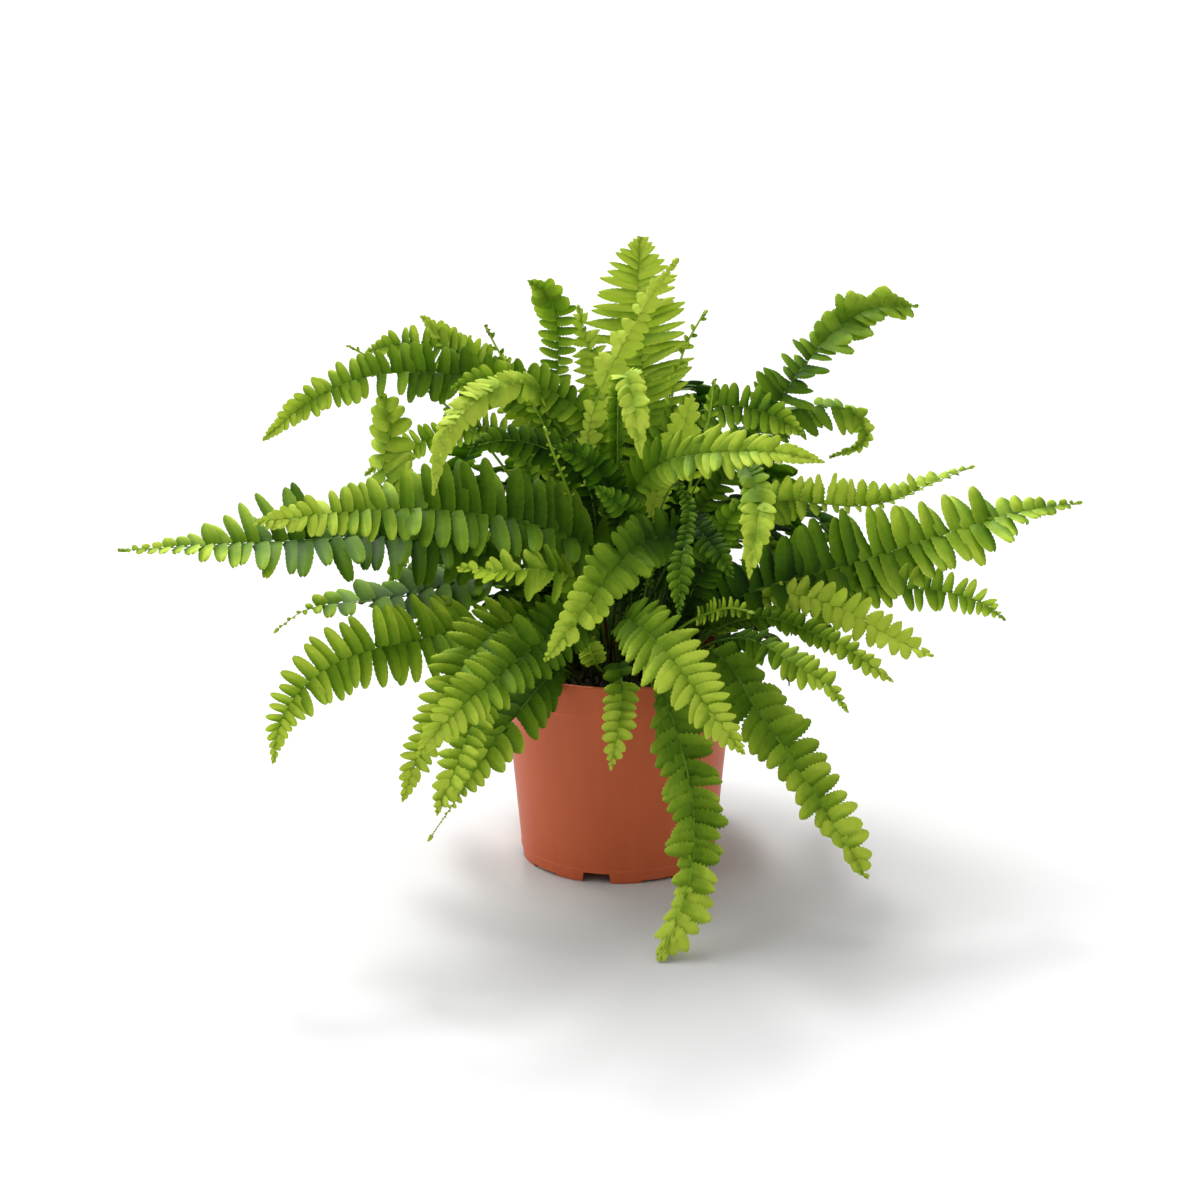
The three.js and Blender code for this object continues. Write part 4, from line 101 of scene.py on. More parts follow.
    dict(node='frond_13', tone=0.64, sp=6.6, pw=1.14, pt=0.45, tip=1, cren=1.7, vary=0.1, tilt=8, fwd=0, fuse=0.35, root=0.1, lift=-16,
         spine=[(10.5, -33.2, 96), (13.9, -46.8, 106.8), (18.3, -63.7, 109.3), (23, -79.3, 102.7), (27.7, -90.9, 89.6), (31.8, -101.1, 75), (34.3, -111, 59.8), (34.1, -120.5, 44.3), (31.1, -129.7, 28.8), (24.7, -138.5, 14.2), (17.2, -147, 1.6)],
         reach=[0.9, 0.9, 5.6, 12.4, 16, 15.7, 14.8, 13.6, 13.2, 12.3, 2.5],
         face=[(-0.65, 0.47, 0.6), (-0.55, 0.1, 0.83), (-0.38, -0.45, 0.81), (-0.24, -0.81, 0.54), (-0.17, -0.84, 0.52), (-0.16, -0.84, 0.52), (-0.32, -0.79, 0.53), (-0.48, -0.62, 0.62), (-0.38, -0.41, 0.83)]),
    dict(node='frond_14', tone=0.72, sp=8.2, pw=1.06, pt=0.3, tip=1, cren=1.2, tilt=8, even=0, fuse=0.35, fwd=-8, root=0.25, lift=-16,
         spine=[(23.8, -27.5, 96), (33.3, -33.4, 109.2), (45, -41.9, 117.2), (54.4, -53.8, 112.9), (61.7, -66, 102.8), (70.1, -77.4, 92.6), (79.4, -87.2, 81.7), (88.6, -95.4, 69.3), (97.7, -102.4, 56.1), (106.8, -108, 42.3), (115.6, -112, 27.8)],
         reach=[0.9, 0.9, 9.7, 17.7, 19.6, 17.7, 15.1, 15.1, 15.9, 11.9, 2.2],
         face=[(-0.87, -0.23, 0.44), (-0.74, -0.31, 0.6), (-0.39, -0.58, 0.72), (-0.25, -0.71, 0.66), (-0.33, -0.79, 0.52), (-0.37, -0.87, 0.33), (-0.44, -0.88, 0.16), (-0.55, -0.83, -0.05), (-0.51, -0.86, -0.08)]),
    dict(node='frond_15', tone=0.76, sp=7.8, pw=1.12, pt=0.25, tip=0.2, tilt=6, knob=1.6, cren=0.5, even=0.6, grow=0, fwd=-12, root=0.55, lift=16,
         spine=[(25.8, 4, 96), (35.4, -6.2, 117), (48.6, -18.5, 134), (69.2, -20.8, 144.3), (92.4, -12.2, 148.1), (115.7, -2.9, 152.3), (139, 5.8, 157.5), (162.5, 13.7, 162.8), (186.1, 21.1, 168.3), (210.2, 27.8, 172.9), (234.6, 34, 175)],
         reach=[0.9, 0.9, 11.3, 24.3, 26.9, 26.8, 25, 17.5, 22.8, 8, 2.1],
         face=[(-0.49, -0.86, -0.14), (-0.53, -0.82, -0.23), (-0.15, -0.98, 0.08), (0.34, -0.91, 0.23), (0.29, -0.91, 0.31), (0.17, -0.83, 0.53), (0.04, -0.69, 0.73), (-0.04, -0.44, 0.9), (0.08, -0.47, 0.88)]),
    dict(node='frond_16', tone=0.9, sp=6.6, pw=1.2, pt=0.6, tip=0, knob=1.6, cren=1.2, tilt=8, even=0.6, lop=0.7, root=0.4, lift=16,
         spine=[(19, 3.6, 96), (26.5, 4, 117.1), (35.3, 4, 137.7), (46.4, 4.2, 157), (61.4, 6, 173), (80.6, 11.2, 180.7), (100.9, 19.4, 178.3), (121.1, 28.2, 174.8), (141.7, 36.2, 176.4), (161.5, 43.5, 183.5), (181.7, 50, 190.3)],
         reach=[0.9, 0.9, 3.2, 7, 10.4, 13.7, 15.2, 14.6, 10.3, 9.2, 2.3],
         face=[(-0.06, -1, 0.05), (-0.07, -1, 0.03), (-0.06, -1, 0.05), (0.01, -0.99, 0.15), (0.29, -0.91, 0.29), (0.44, -0.85, 0.29), (0.21, -0.69, 0.69), (-0.22, -0.4, 0.89), (-0.13, -0.41, 0.9)]),
    dict(node='frond_17', tone=0.62, sp=6.2, pw=0.85, pt=0.5, tip=0.65, knob=1.3, tilt=8, even=0.6, root=0.3, lift=16,
         spine=[(28.6, -2, 96), (39, -2.9, 112), (52.4, -4.4, 125.4), (68.8, -6.2, 135.1), (86.9, -7.4, 140.9), (105.9, -7.5, 143), (125, -5.9, 142.2), (143.9, -3.2, 139.9), (162.5, 0.4, 137.3), (180.1, 4.9, 131.5), (194.9, 10, 120.7)],
         reach=[0.9, 1, 2.3, 5.1, 7.6, 9.9, 12.1, 13.1, 11.4, 8.6, 1.1],
         face=[(-0.6, -0.74, 0.32), (-0.53, -0.74, 0.4), (-0.39, -0.76, 0.52), (-0.2, -0.77, 0.61), (0.01, -0.77, 0.64), (0.17, -0.76, 0.62), (0.22, -0.9, 0.38), (0.29, -0.96, 0.06), (0.25, -0.96, -0.12)]),
    dict(node='frond_18', tone=1.14, sp=6.2, pw=0.92, pt=0.6, tip=0, knob=1.5, cren=1, tilt=8, even=0.6, root=0.6, lift=16,
         spine=[(30.3, -8.5, 96), (38, -10.1, 108.9), (47, -11.8, 120.8), (57.9, -13.8, 130.9), (70.6, -16.5, 138.3), (84.6, -20.3, 141.3), (98.7, -24.9, 139.6), (112.1, -29.8, 134.9), (124.9, -34.3, 128.3), (137.9, -38.3, 121.8), (151.5, -42, 116.5)],
         reach=[0.9, 0.9, 2, 4.5, 6.6, 8.7, 10.5, 11.3, 10.8, 9.6, 3],
         face=[(-0.46, -0.88, 0.15), (-0.43, -0.88, 0.19), (-0.39, -0.89, 0.24), (-0.34, -0.9, 0.28), (-0.28, -0.91, 0.3), (-0.24, -0.92, 0.31), (-0.07, -0.89, 0.45), (0.09, -0.75, 0.65), (0.18, -0.46, 0.87)]),
    dict(node='frond_19', tone=0.62, sp=4.8, pw=1, pt=0.6, tip=1, even=0.3, root=0.4, lift=-16,
         spine=[(25.5, -13.3, 96), (32.2, -15.7, 107.5), (40.8, -18.5, 117.6), (51.1, -22, 125.5), (62.8, -26.4, 130.6), (74.9, -31.9, 132.2), (86.4, -38.6, 130.1), (97.6, -45.5, 126.8), (109, -51.8, 122.9), (119.8, -57.2, 116.9), (130.4, -62, 109.9)],
         reach=[0.9, 1, 1.6, 3.4, 5, 6.5, 8, 7.4, 7, 6.8, 2],
         face=[(-0.44, -0.9, 0.06), (-0.42, -0.9, 0.09), (-0.39, -0.91, 0.12), (-0.4, -0.91, 0.12), (-0.45, -0.89, 0.11), (-0.5, -0.86, 0.11), (-0.36, -0.87, 0.35), (-0.06, -0.82, 0.57), (0.09, -0.76, 0.64)]),
    dict(node='frond_20', tone=0.68, sp=5.6, pw=1, pt=0.55, tip=1, vary=0.15, even=0.6, root=0.6, lift=-16,
         spine=[(24.7, -20.8, 96), (31, -24.7, 106.4), (38.9, -29.2, 115.2), (48.3, -34.7, 121.6), (58, -41.9, 125.2), (66.8, -50.9, 125.8), (74.1, -61.2, 124.1), (81.5, -71.2, 121.6), (90.1, -79.9, 118.3), (99.3, -86.9, 113.4), (106.1, -92, 104.3)],
         reach=[0.9, 0.9, 2.1, 4.6, 6.8, 8.9, 9.4, 9.2, 8.8, 5, 2],
         face=[(-0.88, -0.32, 0.36), (-0.8, -0.36, 0.48), (-0.67, -0.43, 0.6), (-0.58, -0.49, 0.65), (-0.56, -0.51, 0.66), (-0.55, -0.53, 0.65), (-0.53, -0.7, 0.48), (-0.35, -0.84, 0.42), (-0.08, -0.93, 0.36)]),
    dict(node='frond_21', tone=0.5, sp=5.6, pw=0.92, pt=0.4, tip=0.5, tilt=4, cren=0.8, vary=0.22, fwd=8, crest=64, fuse=0.6, root=0.05, lift=16,
         spine=[(9.6, 10.9, 96), (16.5, 13.5, 121.1), (25.9, 16.3, 145.2), (38.2, 20.7, 167.8), (52.3, 28, 188.4), (66.8, 39.6, 206.7), (80.7, 54.7, 222.7), (95.3, 69.3, 238.6), (112, 81.1, 254.8), (132.8, 89.9, 266.4), (157.4, 96, 266.7)],
         reach=[0.9, 0.9, 3.4, 7.4, 11.1, 14.6, 16.4, 11.3, 13.6, 12.8, 2.7],
         face=[(-0.18, -0.97, 0.15), (-0.17, -0.97, 0.16), (-0.13, -0.96, 0.26), (-0.04, -0.91, 0.4), (0.1, -0.81, 0.58), (0.07, -0.75, 0.66), (-0.14, -0.73, 0.67), (-0.01, -0.74, 0.68), (0.24, -0.76, 0.6)]),
    dict(node='frond_22', tone=0.38, sp=6, pw=1.12, pt=0.5, tip=0.85, vary=0.12, cren=0.9, tilt=4, fwd=6, fuse=0.3, root=0.3, lift=-16,
         spine=[(16.1, 9.7, 96), (21.7, 14.7, 120.1), (27.3, 20.4, 144), (33.9, 26.9, 167.4), (43.5, 35.5, 188.9), (58, 46.5, 205.7), (77.3, 59.2, 214.7), (99.2, 70.7, 217.8), (122.1, 76.9, 214.6), (129.5, 76.1, 199.2), (110.7, 70, 191.4)],
         reach=[0.9, 1, 2.2, 5.8, 8.6, 11.3, 16.4, 19.3, 11.8, 4.3, 2.5],
         face=[(-0.61, -0.74, 0.29), (-0.61, -0.73, 0.31), (-0.59, -0.72, 0.36), (-0.52, -0.65, 0.55), (-0.3, -0.47, 0.83), (-0.02, -0.3, 0.95), (0.23, -0.47, 0.85), (0.13, -0.98, 0.13), (0.05, -0.52, 0.85)]),
    dict(node='frond_23', tone=0.7, sp=5.8, pw=1, pt=0.45, tip=1, cren=0.5, tilt=16, fwd=22, root=0.6, lift=16,
         spine=[(6.8, -10.3, 96), (6.3, -13.9, 118.7), (4.7, -16.6, 141.4), (3.2, -20.1, 164.1), (4.3, -27.1, 185.7), (10.7, -39.5, 203.3), (21.7, -55.2, 215.4), (36.4, -71.2, 222.5), (53.1, -86.3, 226.9), (71.4, -100, 229.3), (90.8, -112, 227.6)],
         reach=[0.9, 0.9, 3, 6.5, 9.6, 12.9, 15, 15, 13.2, 8.1, 1.5],
         face=[(-0.74, -0.66, -0.11), (-0.74, -0.66, -0.13), (-0.74, -0.65, -0.15), (-0.74, -0.65, -0.18), (-0.74, -0.64, -0.19), (-0.79, -0.52, 0.33), (-0.61, -0.51, 0.61), (-0.49, -0.61, 0.63), (-0.4, -0.79, 0.46)]),
    dict(node='frond_24', tone=0.38, sp=3.9, pw=1.5, pt=0.55, tip=0.95, cren=0.5, tilt=4, fwd=18, fuse=0.75, root=0.25, lift=16,
         spine=[(13.4, -10.5, 96), (17.1, -16, 118.7), (21, -21.8, 141.4), (25.6, -28.3, 163.7), (30.8, -36.1, 185.4), (37.9, -46.5, 205.2), (48.9, -61.6, 217.8), (59.1, -81.4, 217.2), (62.3, -103.1, 209.4), (60.4, -123.3, 197.7), (56.6, -140, 181.5)],
         reach=[0.9, 0.9, 0.9, 0.9, 1.3, 1.6, 2, 7.3, 9.3, 8.7, 1.4],
         face=[(-0.92, -0.38, 0.06), (-0.92, -0.38, 0.06), (-0.92, -0.38, 0.08), (-0.92, -0.39, 0.09), (-0.89, -0.42, 0.15), (-0.78, -0.43, 0.46), (-0.21, -0.35, 0.91), (0.01, -0.56, 0.83), (0.02, -0.74, 0.67)]),
    dict(node='frond_25', tone=0.58, sp=3.7, pw=1.45, pt=0.6, tip=1, cren=0.5, tilt=4, fwd=18, fuse=0.75, root=0.6, lift=16,
         spine=[(0.6, -7.7, 96), (0.4, -11.4, 119.6), (0, -16, 143.2), (-0.5, -21.6, 166.5), (-0.8, -28.1, 189.4), (-1.2, -35.8, 212), (-1.3, -45.4, 233.9), (-0.5, -58.7, 253.2), (2.9, -77.9, 259.9), (6.3, -97.1, 248.2), (8.9, -112, 229.9)],
         reach=[0.9, 0.9, 1.2, 2.7, 3.9, 5.1, 6.2, 7.1, 8, 8.5, 1.4],
         face=[(-0.46, 0.88, 0.13), (-0.46, 0.87, 0.16), (-0.46, 0.87, 0.2), (-0.46, 0.85, 0.24), (-0.46, 0.83, 0.31), (-0.46, 0.76, 0.45), (-0.38, 0.25, 0.89), (-0.11, -0.63, 0.77), (-0.07, -0.82, 0.57)]),
    dict(node='frond_26', tone=0.8, sp=3.9, pw=1.2, pt=0.5, tip=1, cren=0.6, tilt=6, fwd=-6, even=0.3, root=0.4, lift=16,
         spine=[(2.7, 9.2, 96), (5.9, 9.8, 118), (9.1, 8.7, 139.9), (12.2, 6.6, 161.8), (14.6, 4.8, 183.8), (15.6, 5.3, 205.9), (14.6, 10.1, 227.3), (11.9, 19.1, 247.4), (9.8, 28.6, 267.3), (9.6, 36.2, 288.1), (10.5, 42, 309.5)],
         reach=[0.9, 1, 4, 8.6, 12.7, 16.6, 20.3, 26.4, 26.1, 18.5, 3.1],
         face=[(-0.25, -0.97, 0.08), (-0.26, -0.97, 0.01), (-0.27, -0.96, -0.06), (-0.27, -0.96, -0.04), (-0.26, -0.96, 0.11), (-0.27, -0.9, 0.33), (-0.27, -0.88, 0.39), (-0.17, -0.93, 0.32), (-0.02, -0.97, 0.24)]),
    dict(node='frond_27', tone=1.14, sp=5, pw=1.25, pt=0.6, tip=0, cren=1, knob=2.4, vary=0.2, tilt=6, root=0.6, lift=-16,
         spine=[(-0.2, -1, 96), (-1.7, -2.4, 118.2), (-4.6, -5, 139.9), (-8.6, -8.9, 161), (-13, -12.3, 182.9), (-15.5, -15.1, 205.1), (-14, -16.6, 227.1), (-7, -15.3, 247.9), (3.5, -11.6, 267), (14.3, -6.4, 285.7), (26.8, 0, 302.6)],
         reach=[0.9, 0.9, 1.4, 3, 4.5, 5.8, 7.1, 8.3, 8.5, 6, 2],
         face=[(-0.21, -0.98, -0.06), (-0.2, -0.97, -0.12), (-0.19, -0.96, -0.22), (-0.2, -0.96, -0.18), (-0.21, -0.97, -0.11), (-0.19, -0.98, 0.07), (-0.12, -0.96, 0.26), (-0.05, -0.95, 0.31), (0.08, -0.94, 0.32)]),
    dict(node='frond_28', tone=0.7, sp=5.2, pw=0.8, pt=0.3, tip=0, cren=0.8, tilt=6, fuse=0.85, crest=27, root=0.25, lift=16,
         spine=[(-6, 13.5, 96), (-10.7, 15.1, 116.4), (-15.3, 17.1, 135.9), (-20.2, 18.2, 154.6), (-25, 16.5, 176.3), (-30.1, 18.3, 198.2), (-31.8, 22.6, 219), (-31.1, 26, 239.9), (-30.3, 27.3, 260.8), (-33.1, 22, 280.1), (-43.8, 10, 292)],
         reach=[0.9, 0.9, 1.4, 3.1, 4.5, 5.9, 7.3, 9.4, 10.6, 11.3, 2],
         face=[(-0.36, -0.93, -0.02), (-0.36, -0.93, 0), (-0.35, -0.93, -0.03), (-0.32, -0.93, -0.15), (-0.38, -0.92, 0.11), (-0.39, -0.91, 0.16), (-0.46, -0.89, 0.08), (-0.25, -0.87, -0.42), (0.62, -0.76, -0.21)]),
    dict(node='frond_29', tone=0.44, sp=5.6, pw=0.98, pt=0.2, tip=0.85, cren=0.5, tilt=8, fuse=0.2, root=-0.1, lift=16,
         spine=[(-19.5, -0.8, 96), (-23.7, 2.8, 124.3), (-25, 7, 153.1), (-24.7, 12.1, 181.8), (-28.5, 17.4, 209.9), (-44.9, 21, 231.9), (-71.8, 21.5, 241.1), (-100.4, 19.8, 245.3), (-128.7, 17.2, 242.5), (-154.6, 13.2, 230.7), (-177, 8, 213.1)],
         reach=[0.9, 0.9, 2.8, 6.2, 9.2, 12.1, 14.9, 16, 12.7, 9, 1.6],
         face=[(0.15, -0.97, 0.17), (0.16, -0.98, 0.14), (0.16, -0.97, 0.17), (0.16, -0.97, 0.21), (0.11, -0.95, 0.29), (0.11, -0.91, 0.4), (0.03, -0.86, 0.52), (-0.1, -0.88, 0.46), (-0.01, -0.96, 0.29)]),
    dict(node='frond_30', tone=1.14, tip=0, root=0.6, lift=16,
         spine=[(-10.3, 8.6, 96), (-14.3, 10.3, 116.9), (-18.8, 10.5, 138.7), (-24.5, 12.8, 160.6), (-30.7, 18.7, 179.9), (-36, 22.5, 198.2), (-44.6, 28.6, 215.5), (-56, 38.8, 230.1), (-69.3, 50.4, 242.5), (-85.2, 58.1, 253.9), (-101.1, 62.1, 266.7)],
         reach=[0.9, 0.9, 1.6, 3.5, 5.2, 6.8, 8.3, 9.8, 10, 8.1, 1.6],
         face=[(-0.06, -0.99, 0.09), (-0.04, -1, 0.01), (-0.06, -1, 0.08), (-0.11, -0.96, 0.27), (-0.09, -0.98, 0.19), (-0.2, -0.89, 0.4), (-0.29, -0.82, 0.49), (-0.15, -0.94, 0.31), (-0.01, -0.97, 0.23)]),
    dict(node='frond_31', tone=0.72, tip=0.2, root=-0.1, lift=16,
         spine=[(-19.2, 16.5, 96), (-24.6, 20.9, 118.9), (-28.1, 23.4, 142.4), (-30, 24.8, 166.2), (-31.8, 27.1, 190), (-36.6, 30.7, 213), (-48, 37, 232.2), (-66.1, 45.7, 243.7), (-87.1, 55.3, 249.8), (-109.4, 63.8, 252.5), (-131, 70, 246.8)],
         reach=[0.9, 1, 1.7, 3.9, 5.7, 7.4, 9.1, 10.2, 12, 9.6, 1.6],
         face=[(-0.44, -0.9, 0.07), (-0.43, -0.9, 0.04), (-0.43, -0.9, 0.02), (-0.43, -0.9, 0.06), (-0.43, -0.9, 0.05), (-0.42, -0.91, 0.03), (-0.36, -0.91, 0.2), (-0.29, -0.89, 0.36), (-0.29, -0.95, 0.07)]),
    dict(node='frond_32', tone=0.84, sp=4.2, pw=1.45, pt=0.6, tip=1, cren=0.5, tilt=4, fwd=18, fuse=0.7, root=0.6, lift=-16,
         spine=[(-10.8, -9.1, 96), (-15.3, -9.7, 123), (-18.9, -8.1, 150.1), (-21.9, -5.6, 177.3), (-25.7, -2.5, 204.1), (-32.3, 0.1, 228.8), (-43.1, -18.3, 246.1), (-55.7, -45.6, 250.2), (-68.9, -68.7, 246.7), (-81, -87.4, 233), (-85.8, -98, 209.2)],
         reach=[0.9, 0.9, 2, 4.3, 6.4, 8.3, 10.1, 10.5, 10.1, 7.3, 1.4],
         face=[(0.98, -0.1, 0.17), (0.98, -0.1, 0.14), (0.99, -0.1, 0.12), (0.98, -0.1, 0.17), (0.93, -0.07, 0.35), (0.83, -0.24, 0.51), (0.55, -0.42, 0.72), (0.17, -0.75, 0.64), (0.05, -0.95, 0.29)]),
    dict(node='frond_33', tone=0.78, tip=0.55, root=0.3, lift=-16,
         spine=[(-26, 1, 96), (-34, 0, 113.2), (-42.9, -2.2, 130), (-53, -5, 145.9), (-64.7, -7.5, 160.6), (-78.6, -7.9, 173.4), (-94.5, -4.5, 182.8), (-110.4, 3.4, 188.6), (-117.8, 12.4, 198.8), (-114.7, 17.7, 215.5), (-117.9, 20, 233.5)],
         reach=[0.9, 1, 2, 4.9, 7.2, 9.4, 11.6, 15.3, 16, 13.4, 5.6],
         face=[(-0.39, -0.89, -0.21), (-0.36, -0.89, -0.28), (-0.32, -0.88, -0.36), (-0.3, -0.87, -0.39), (-0.34, -0.87, -0.35), (-0.46, -0.84, -0.28), (-0.7, -0.71, 0.12), (-0.25, -0.93, 0.27), (-0.01, -1, 0.09)]),
    dict(node='frond_34', tone=0.7, tip=0.45, root=0.35, lift=16,
         spine=[(-21.4, 5.8, 96), (-27.1, 7.9, 116.8), (-31.8, 10, 137.8), (-35.3, 11.7, 159.5), (-39.5, 12, 180.8), (-46.5, 13.9, 200.6), (-59.1, 19.7, 215.2), (-76.8, 29, 215.4), (-94.9, 38, 208), (-113.5, 44.3, 199.1), (-130.5, 48, 186.6)],
         reach=[0.9, 0.9, 1.7, 3.6, 5.3, 7, 8.5, 9.9, 8.8, 6.7, 1.6],
         face=[(-0.39, -0.92, -0.01), (-0.39, -0.92, -0.01), (-0.39, -0.92, 0.01), (-0.38, -0.92, -0.08), (-0.4, -0.92, -0.02), (-0.45, -0.89, 0.04), (-0.45, -0.89, 0.01), (-0.3, -0.95, 0.04), (-0.19, -0.98, 0)]),
    dict(node='frond_35', tone=0.42, sp=4.4, pw=1.05, pt=0.5, tip=0.1, cren=1.4, root=0.25, lift=16,
         spine=[(4.5, -20.3, 96), (7.8, -27.1, 115.7), (10.5, -33.3, 135.5), (13.5, -39.1, 155.4), (16.6, -45.7, 175.1), (19.9, -53.4, 194.2), (26.1, -64.5, 206.8), (31.8, -77.7, 198.3), (29.8, -94.2, 186.5), (27, -112, 176.2), (26.1, -126, 161.1)],
         reach=[0.9, 0.9, 0.9, 1.2, 1.8, 2.3, 2.7, 3.9, 4.2, 7, 1.4],
         face=[(-0.91, 0.33, 0.26), (-0.91, 0.33, 0.24), (-0.91, 0.33, 0.24), (-0.91, 0.33, 0.25), (-0.89, 0.29, 0.36), (-0.35, -0.46, 0.81), (0.05, -0.59, 0.81), (0.03, -0.54, 0.84), (-0.06, -0.79, 0.61)]),
    dict(node='frond_36', tone=1.14, pt=0.7, cren=1.5, pw=1.2, sp=5.2, tip=0, root=0.45, lift=16,
         spine=[(5.9, -3.7, 96), (7.1, -4.8, 111.5), (8.5, -5.7, 127), (10, -6.5, 142.5), (12, -7.8, 157.9), (14.5, -10.1, 173.1), (17.8, -14, 187.8), (21.7, -19.9, 201.7), (26.1, -27.3, 214.6), (30.7, -32.8, 228), (34.5, -32, 242.8)],
         reach=[0.9, 0.9, 1.4, 3, 4.4, 5.7, 6.9, 8.1, 9.5, 9.5, 2.5],
         face=[(-0.19, -0.98, -0.06), (-0.19, -0.98, -0.04), (-0.19, -0.98, -0.03), (-0.19, -0.98, -0.07), (-0.21, -0.97, -0.16), (-0.24, -0.93, -0.29), (-0.27, -0.87, -0.41), (-0.18, -0.96, -0.23), (-0.04, -0.98, 0.17)]),
    dict(node='frond_37', tone=0.92, pt=0.8, cren=1.2, sp=5, tip=1, root=0.6, lift=16,
         spine=[(-3.7, 7.2, 96), (-4.7, 8.3, 114.6), (-5.2, 8.2, 133.2), (-5.3, 7.2, 151.9), (-5.3, 6, 170.5), (-5.5, 5.9, 189.1), (-6.5, 8.1, 207.6), (-8.6, 13.5, 225.2), (-11.5, 20.9, 242.1), (-15.7, 27.4, 259), (-20.5, 32, 276.4)],
         reach=[0.9, 1, 1.7, 3.8, 5.5, 7.2, 8.8, 10.6, 11.3, 10.2, 1.8],
         face=[(-0.44, -0.9, 0.04), (-0.44, -0.9, 0), (-0.44, -0.9, -0.05), (-0.44, -0.9, -0.05), (-0.44, -0.9, 0.03), (-0.45, -0.88, 0.18), (-0.46, -0.84, 0.3), (-0.55, -0.82, 0.14), (-0.32, -0.94, 0.14)]),
    dict(node='frond_38', tone=0.56, tip=0.35, root=-0.1, lift=16,
         spine=[(-13, -2.8, 96), (-14.7, -4.6, 116.7), (-14, -5.9, 137.6), (-11.6, -6.3, 158.8), (-8.5, -7, 179.4), (-7.4, -8.3, 199.7), (-11.6, -9.6, 219.6), (-24.1, -10.1, 235.1), (-42.1, -7.2, 244.2), (-62.1, -10.2, 247.4), (-81.6, -10, 242.6)],
         reach=[0.9, 0.9, 1.8, 3.9, 5.7, 7.5, 9.1, 10.7, 10.9, 9.2, 2],
         face=[(0.17, -0.98, -0.08), (0.17, -0.98, -0.07), (0.17, -0.98, -0.03), (0.17, -0.98, -0.07), (0.17, -0.98, -0.05), (0.15, -0.99, 0.02), (-0.07, -0.97, 0.23), (0.21, -0.96, 0.17), (-0.16, -0.98, 0.1)]),
    dict(node='frond_39', tone=0.18, tip=0.3, root=0.25, lift=16,
         spine=[(1.5, -14.3, 96), (2.8, -18, 111.6), (5, -22.1, 127), (7.9, -27.4, 141.9), (10.2, -34, 156.2), (11.5, -42.8, 169.3), (10.9, -54.5, 180.4), (7.7, -67.5, 189.5), (3.2, -80.4, 197.8), (-3.4, -92.8, 205.6), (-11.3, -104, 213.9)],
         reach=[0.9, 0.9, 1.4, 3.1, 4.6, 5.9, 7.2, 7.8, 7.7, 6.5, 1.9],
         face=[(0.6, -0.76, -0.23), (0.6, -0.76, -0.26), (0.58, -0.72, -0.37), (0.57, -0.7, -0.43), (0.56, -0.62, -0.56), (0.56, -0.57, -0.61), (0.67, -0.55, -0.5), (0.7, -0.63, -0.34), (0.63, -0.71, -0.31)]),
    dict(node='frond_40', tone=-0.02, tip=0.4, root=0.3, lift=16,
         spine=[(9.9, -16.3, 96), (12.3, -19.6, 111.8), (14.7, -22.1, 127.8), (17.3, -24.4, 143.8), (20.1, -27.4, 159.7), (23.7, -32.8, 174.5), (28.8, -43.3, 184.7), (34.2, -58, 186.6), (39.4, -73.2, 184.1), (45.5, -87.5, 179.3), (51.7, -100, 171)],
         reach=[0.9, 0.9, 1.4, 3, 4.4, 5.8, 7, 7.9, 7.4, 6.1, 1.4],
         face=[(-0.95, 0.23, 0.2), (-0.95, 0.24, 0.18), (-0.95, 0.24, 0.18), (-0.95, 0.23, 0.22), (-0.9, 0.17, 0.39), (-0.75, -0.12, 0.65), (-0.59, -0.32, 0.74), (-0.49, -0.5, 0.72), (-0.31, -0.68, 0.67)]),
    dict(node='frond_41', tone=0.46, tip=0.5, root=-0.1, lift=16,
         spine=[(11.8, 4.5, 96), (14.3, 4, 116.6), (15.6, 2.1, 137.3), (15.1, -1.1, 157.8), (13.6, -3.3, 178.3), (15.8, -3.7, 199.1), (23.9, -1, 217.2), (38.9, 8.2, 227), (56.8, 18, 228.6), (75.5, 24.3, 223), (92.9, 28, 212.6)],
         reach=[0.9, 0.9, 2.1, 4.5, 6.6, 8.6, 10.6, 12.4, 11.9, 10.1, 2.1],
         face=[(0.19, -0.98, -0.04), (0.19, -0.98, -0.08), (0.18, -0.97, -0.15), (0.18, -0.98, -0.07), (0.18, -0.98, -0.02), (0.32, -0.92, 0.24), (0.46, -0.86, 0.22), (0.31, -0.95, 0.07), (0.2, -0.98, 0.03)]),
    dict(node='frond_42', tone=0.12, tip=0.3, root=-0.1, lift=-16,
         spine=[(-15.6, -13.7, 96), (-17.3, -16.9, 113.1), (-16.9, -18.7, 130.3), (-14.7, -19.9, 147.8), (-11.9, -19.1, 165.6), (-12.2, -18.7, 182.7), (-16.4, -21.5, 198.8), (-26.3, -27.9, 211), (-39.4, -35.6, 219.4), (-54.8, -41.8, 223.3), (-71.3, -46, 220.8)],
         reach=[0.9, 0.9, 1.8, 4, 5.9, 7.7, 9.4, 11.1, 10.4, 8.6, 2],
         face=[(0.43, -0.89, -0.13), (0.43, -0.9, -0.1), (0.43, -0.9, -0.12), (0.45, -0.89, 0.01), (0.46, -0.89, 0), (0.47, -0.88, -0.07), (0.51, -0.86, -0.01), (0.35, -0.92, 0.19), (0.16, -0.96, 0.24)]),
    dict(node='frond_43', tone=0.06, tip=0.35, root=-0.1, lift=16,
         spine=[(-4.7, -11.8, 96), (-3.9, -15.1, 113), (-2.5, -18.1, 130), (-0.7, -21.6, 146.9), (0.8, -26.4, 163.5), (1, -33.8, 179), (-0.9, -44.3, 192.5), (-4.5, -56.8, 203.9), (-9.8, -69.5, 214.4), (-18.1, -81.3, 223.6), (-29.6, -92, 230.8)],
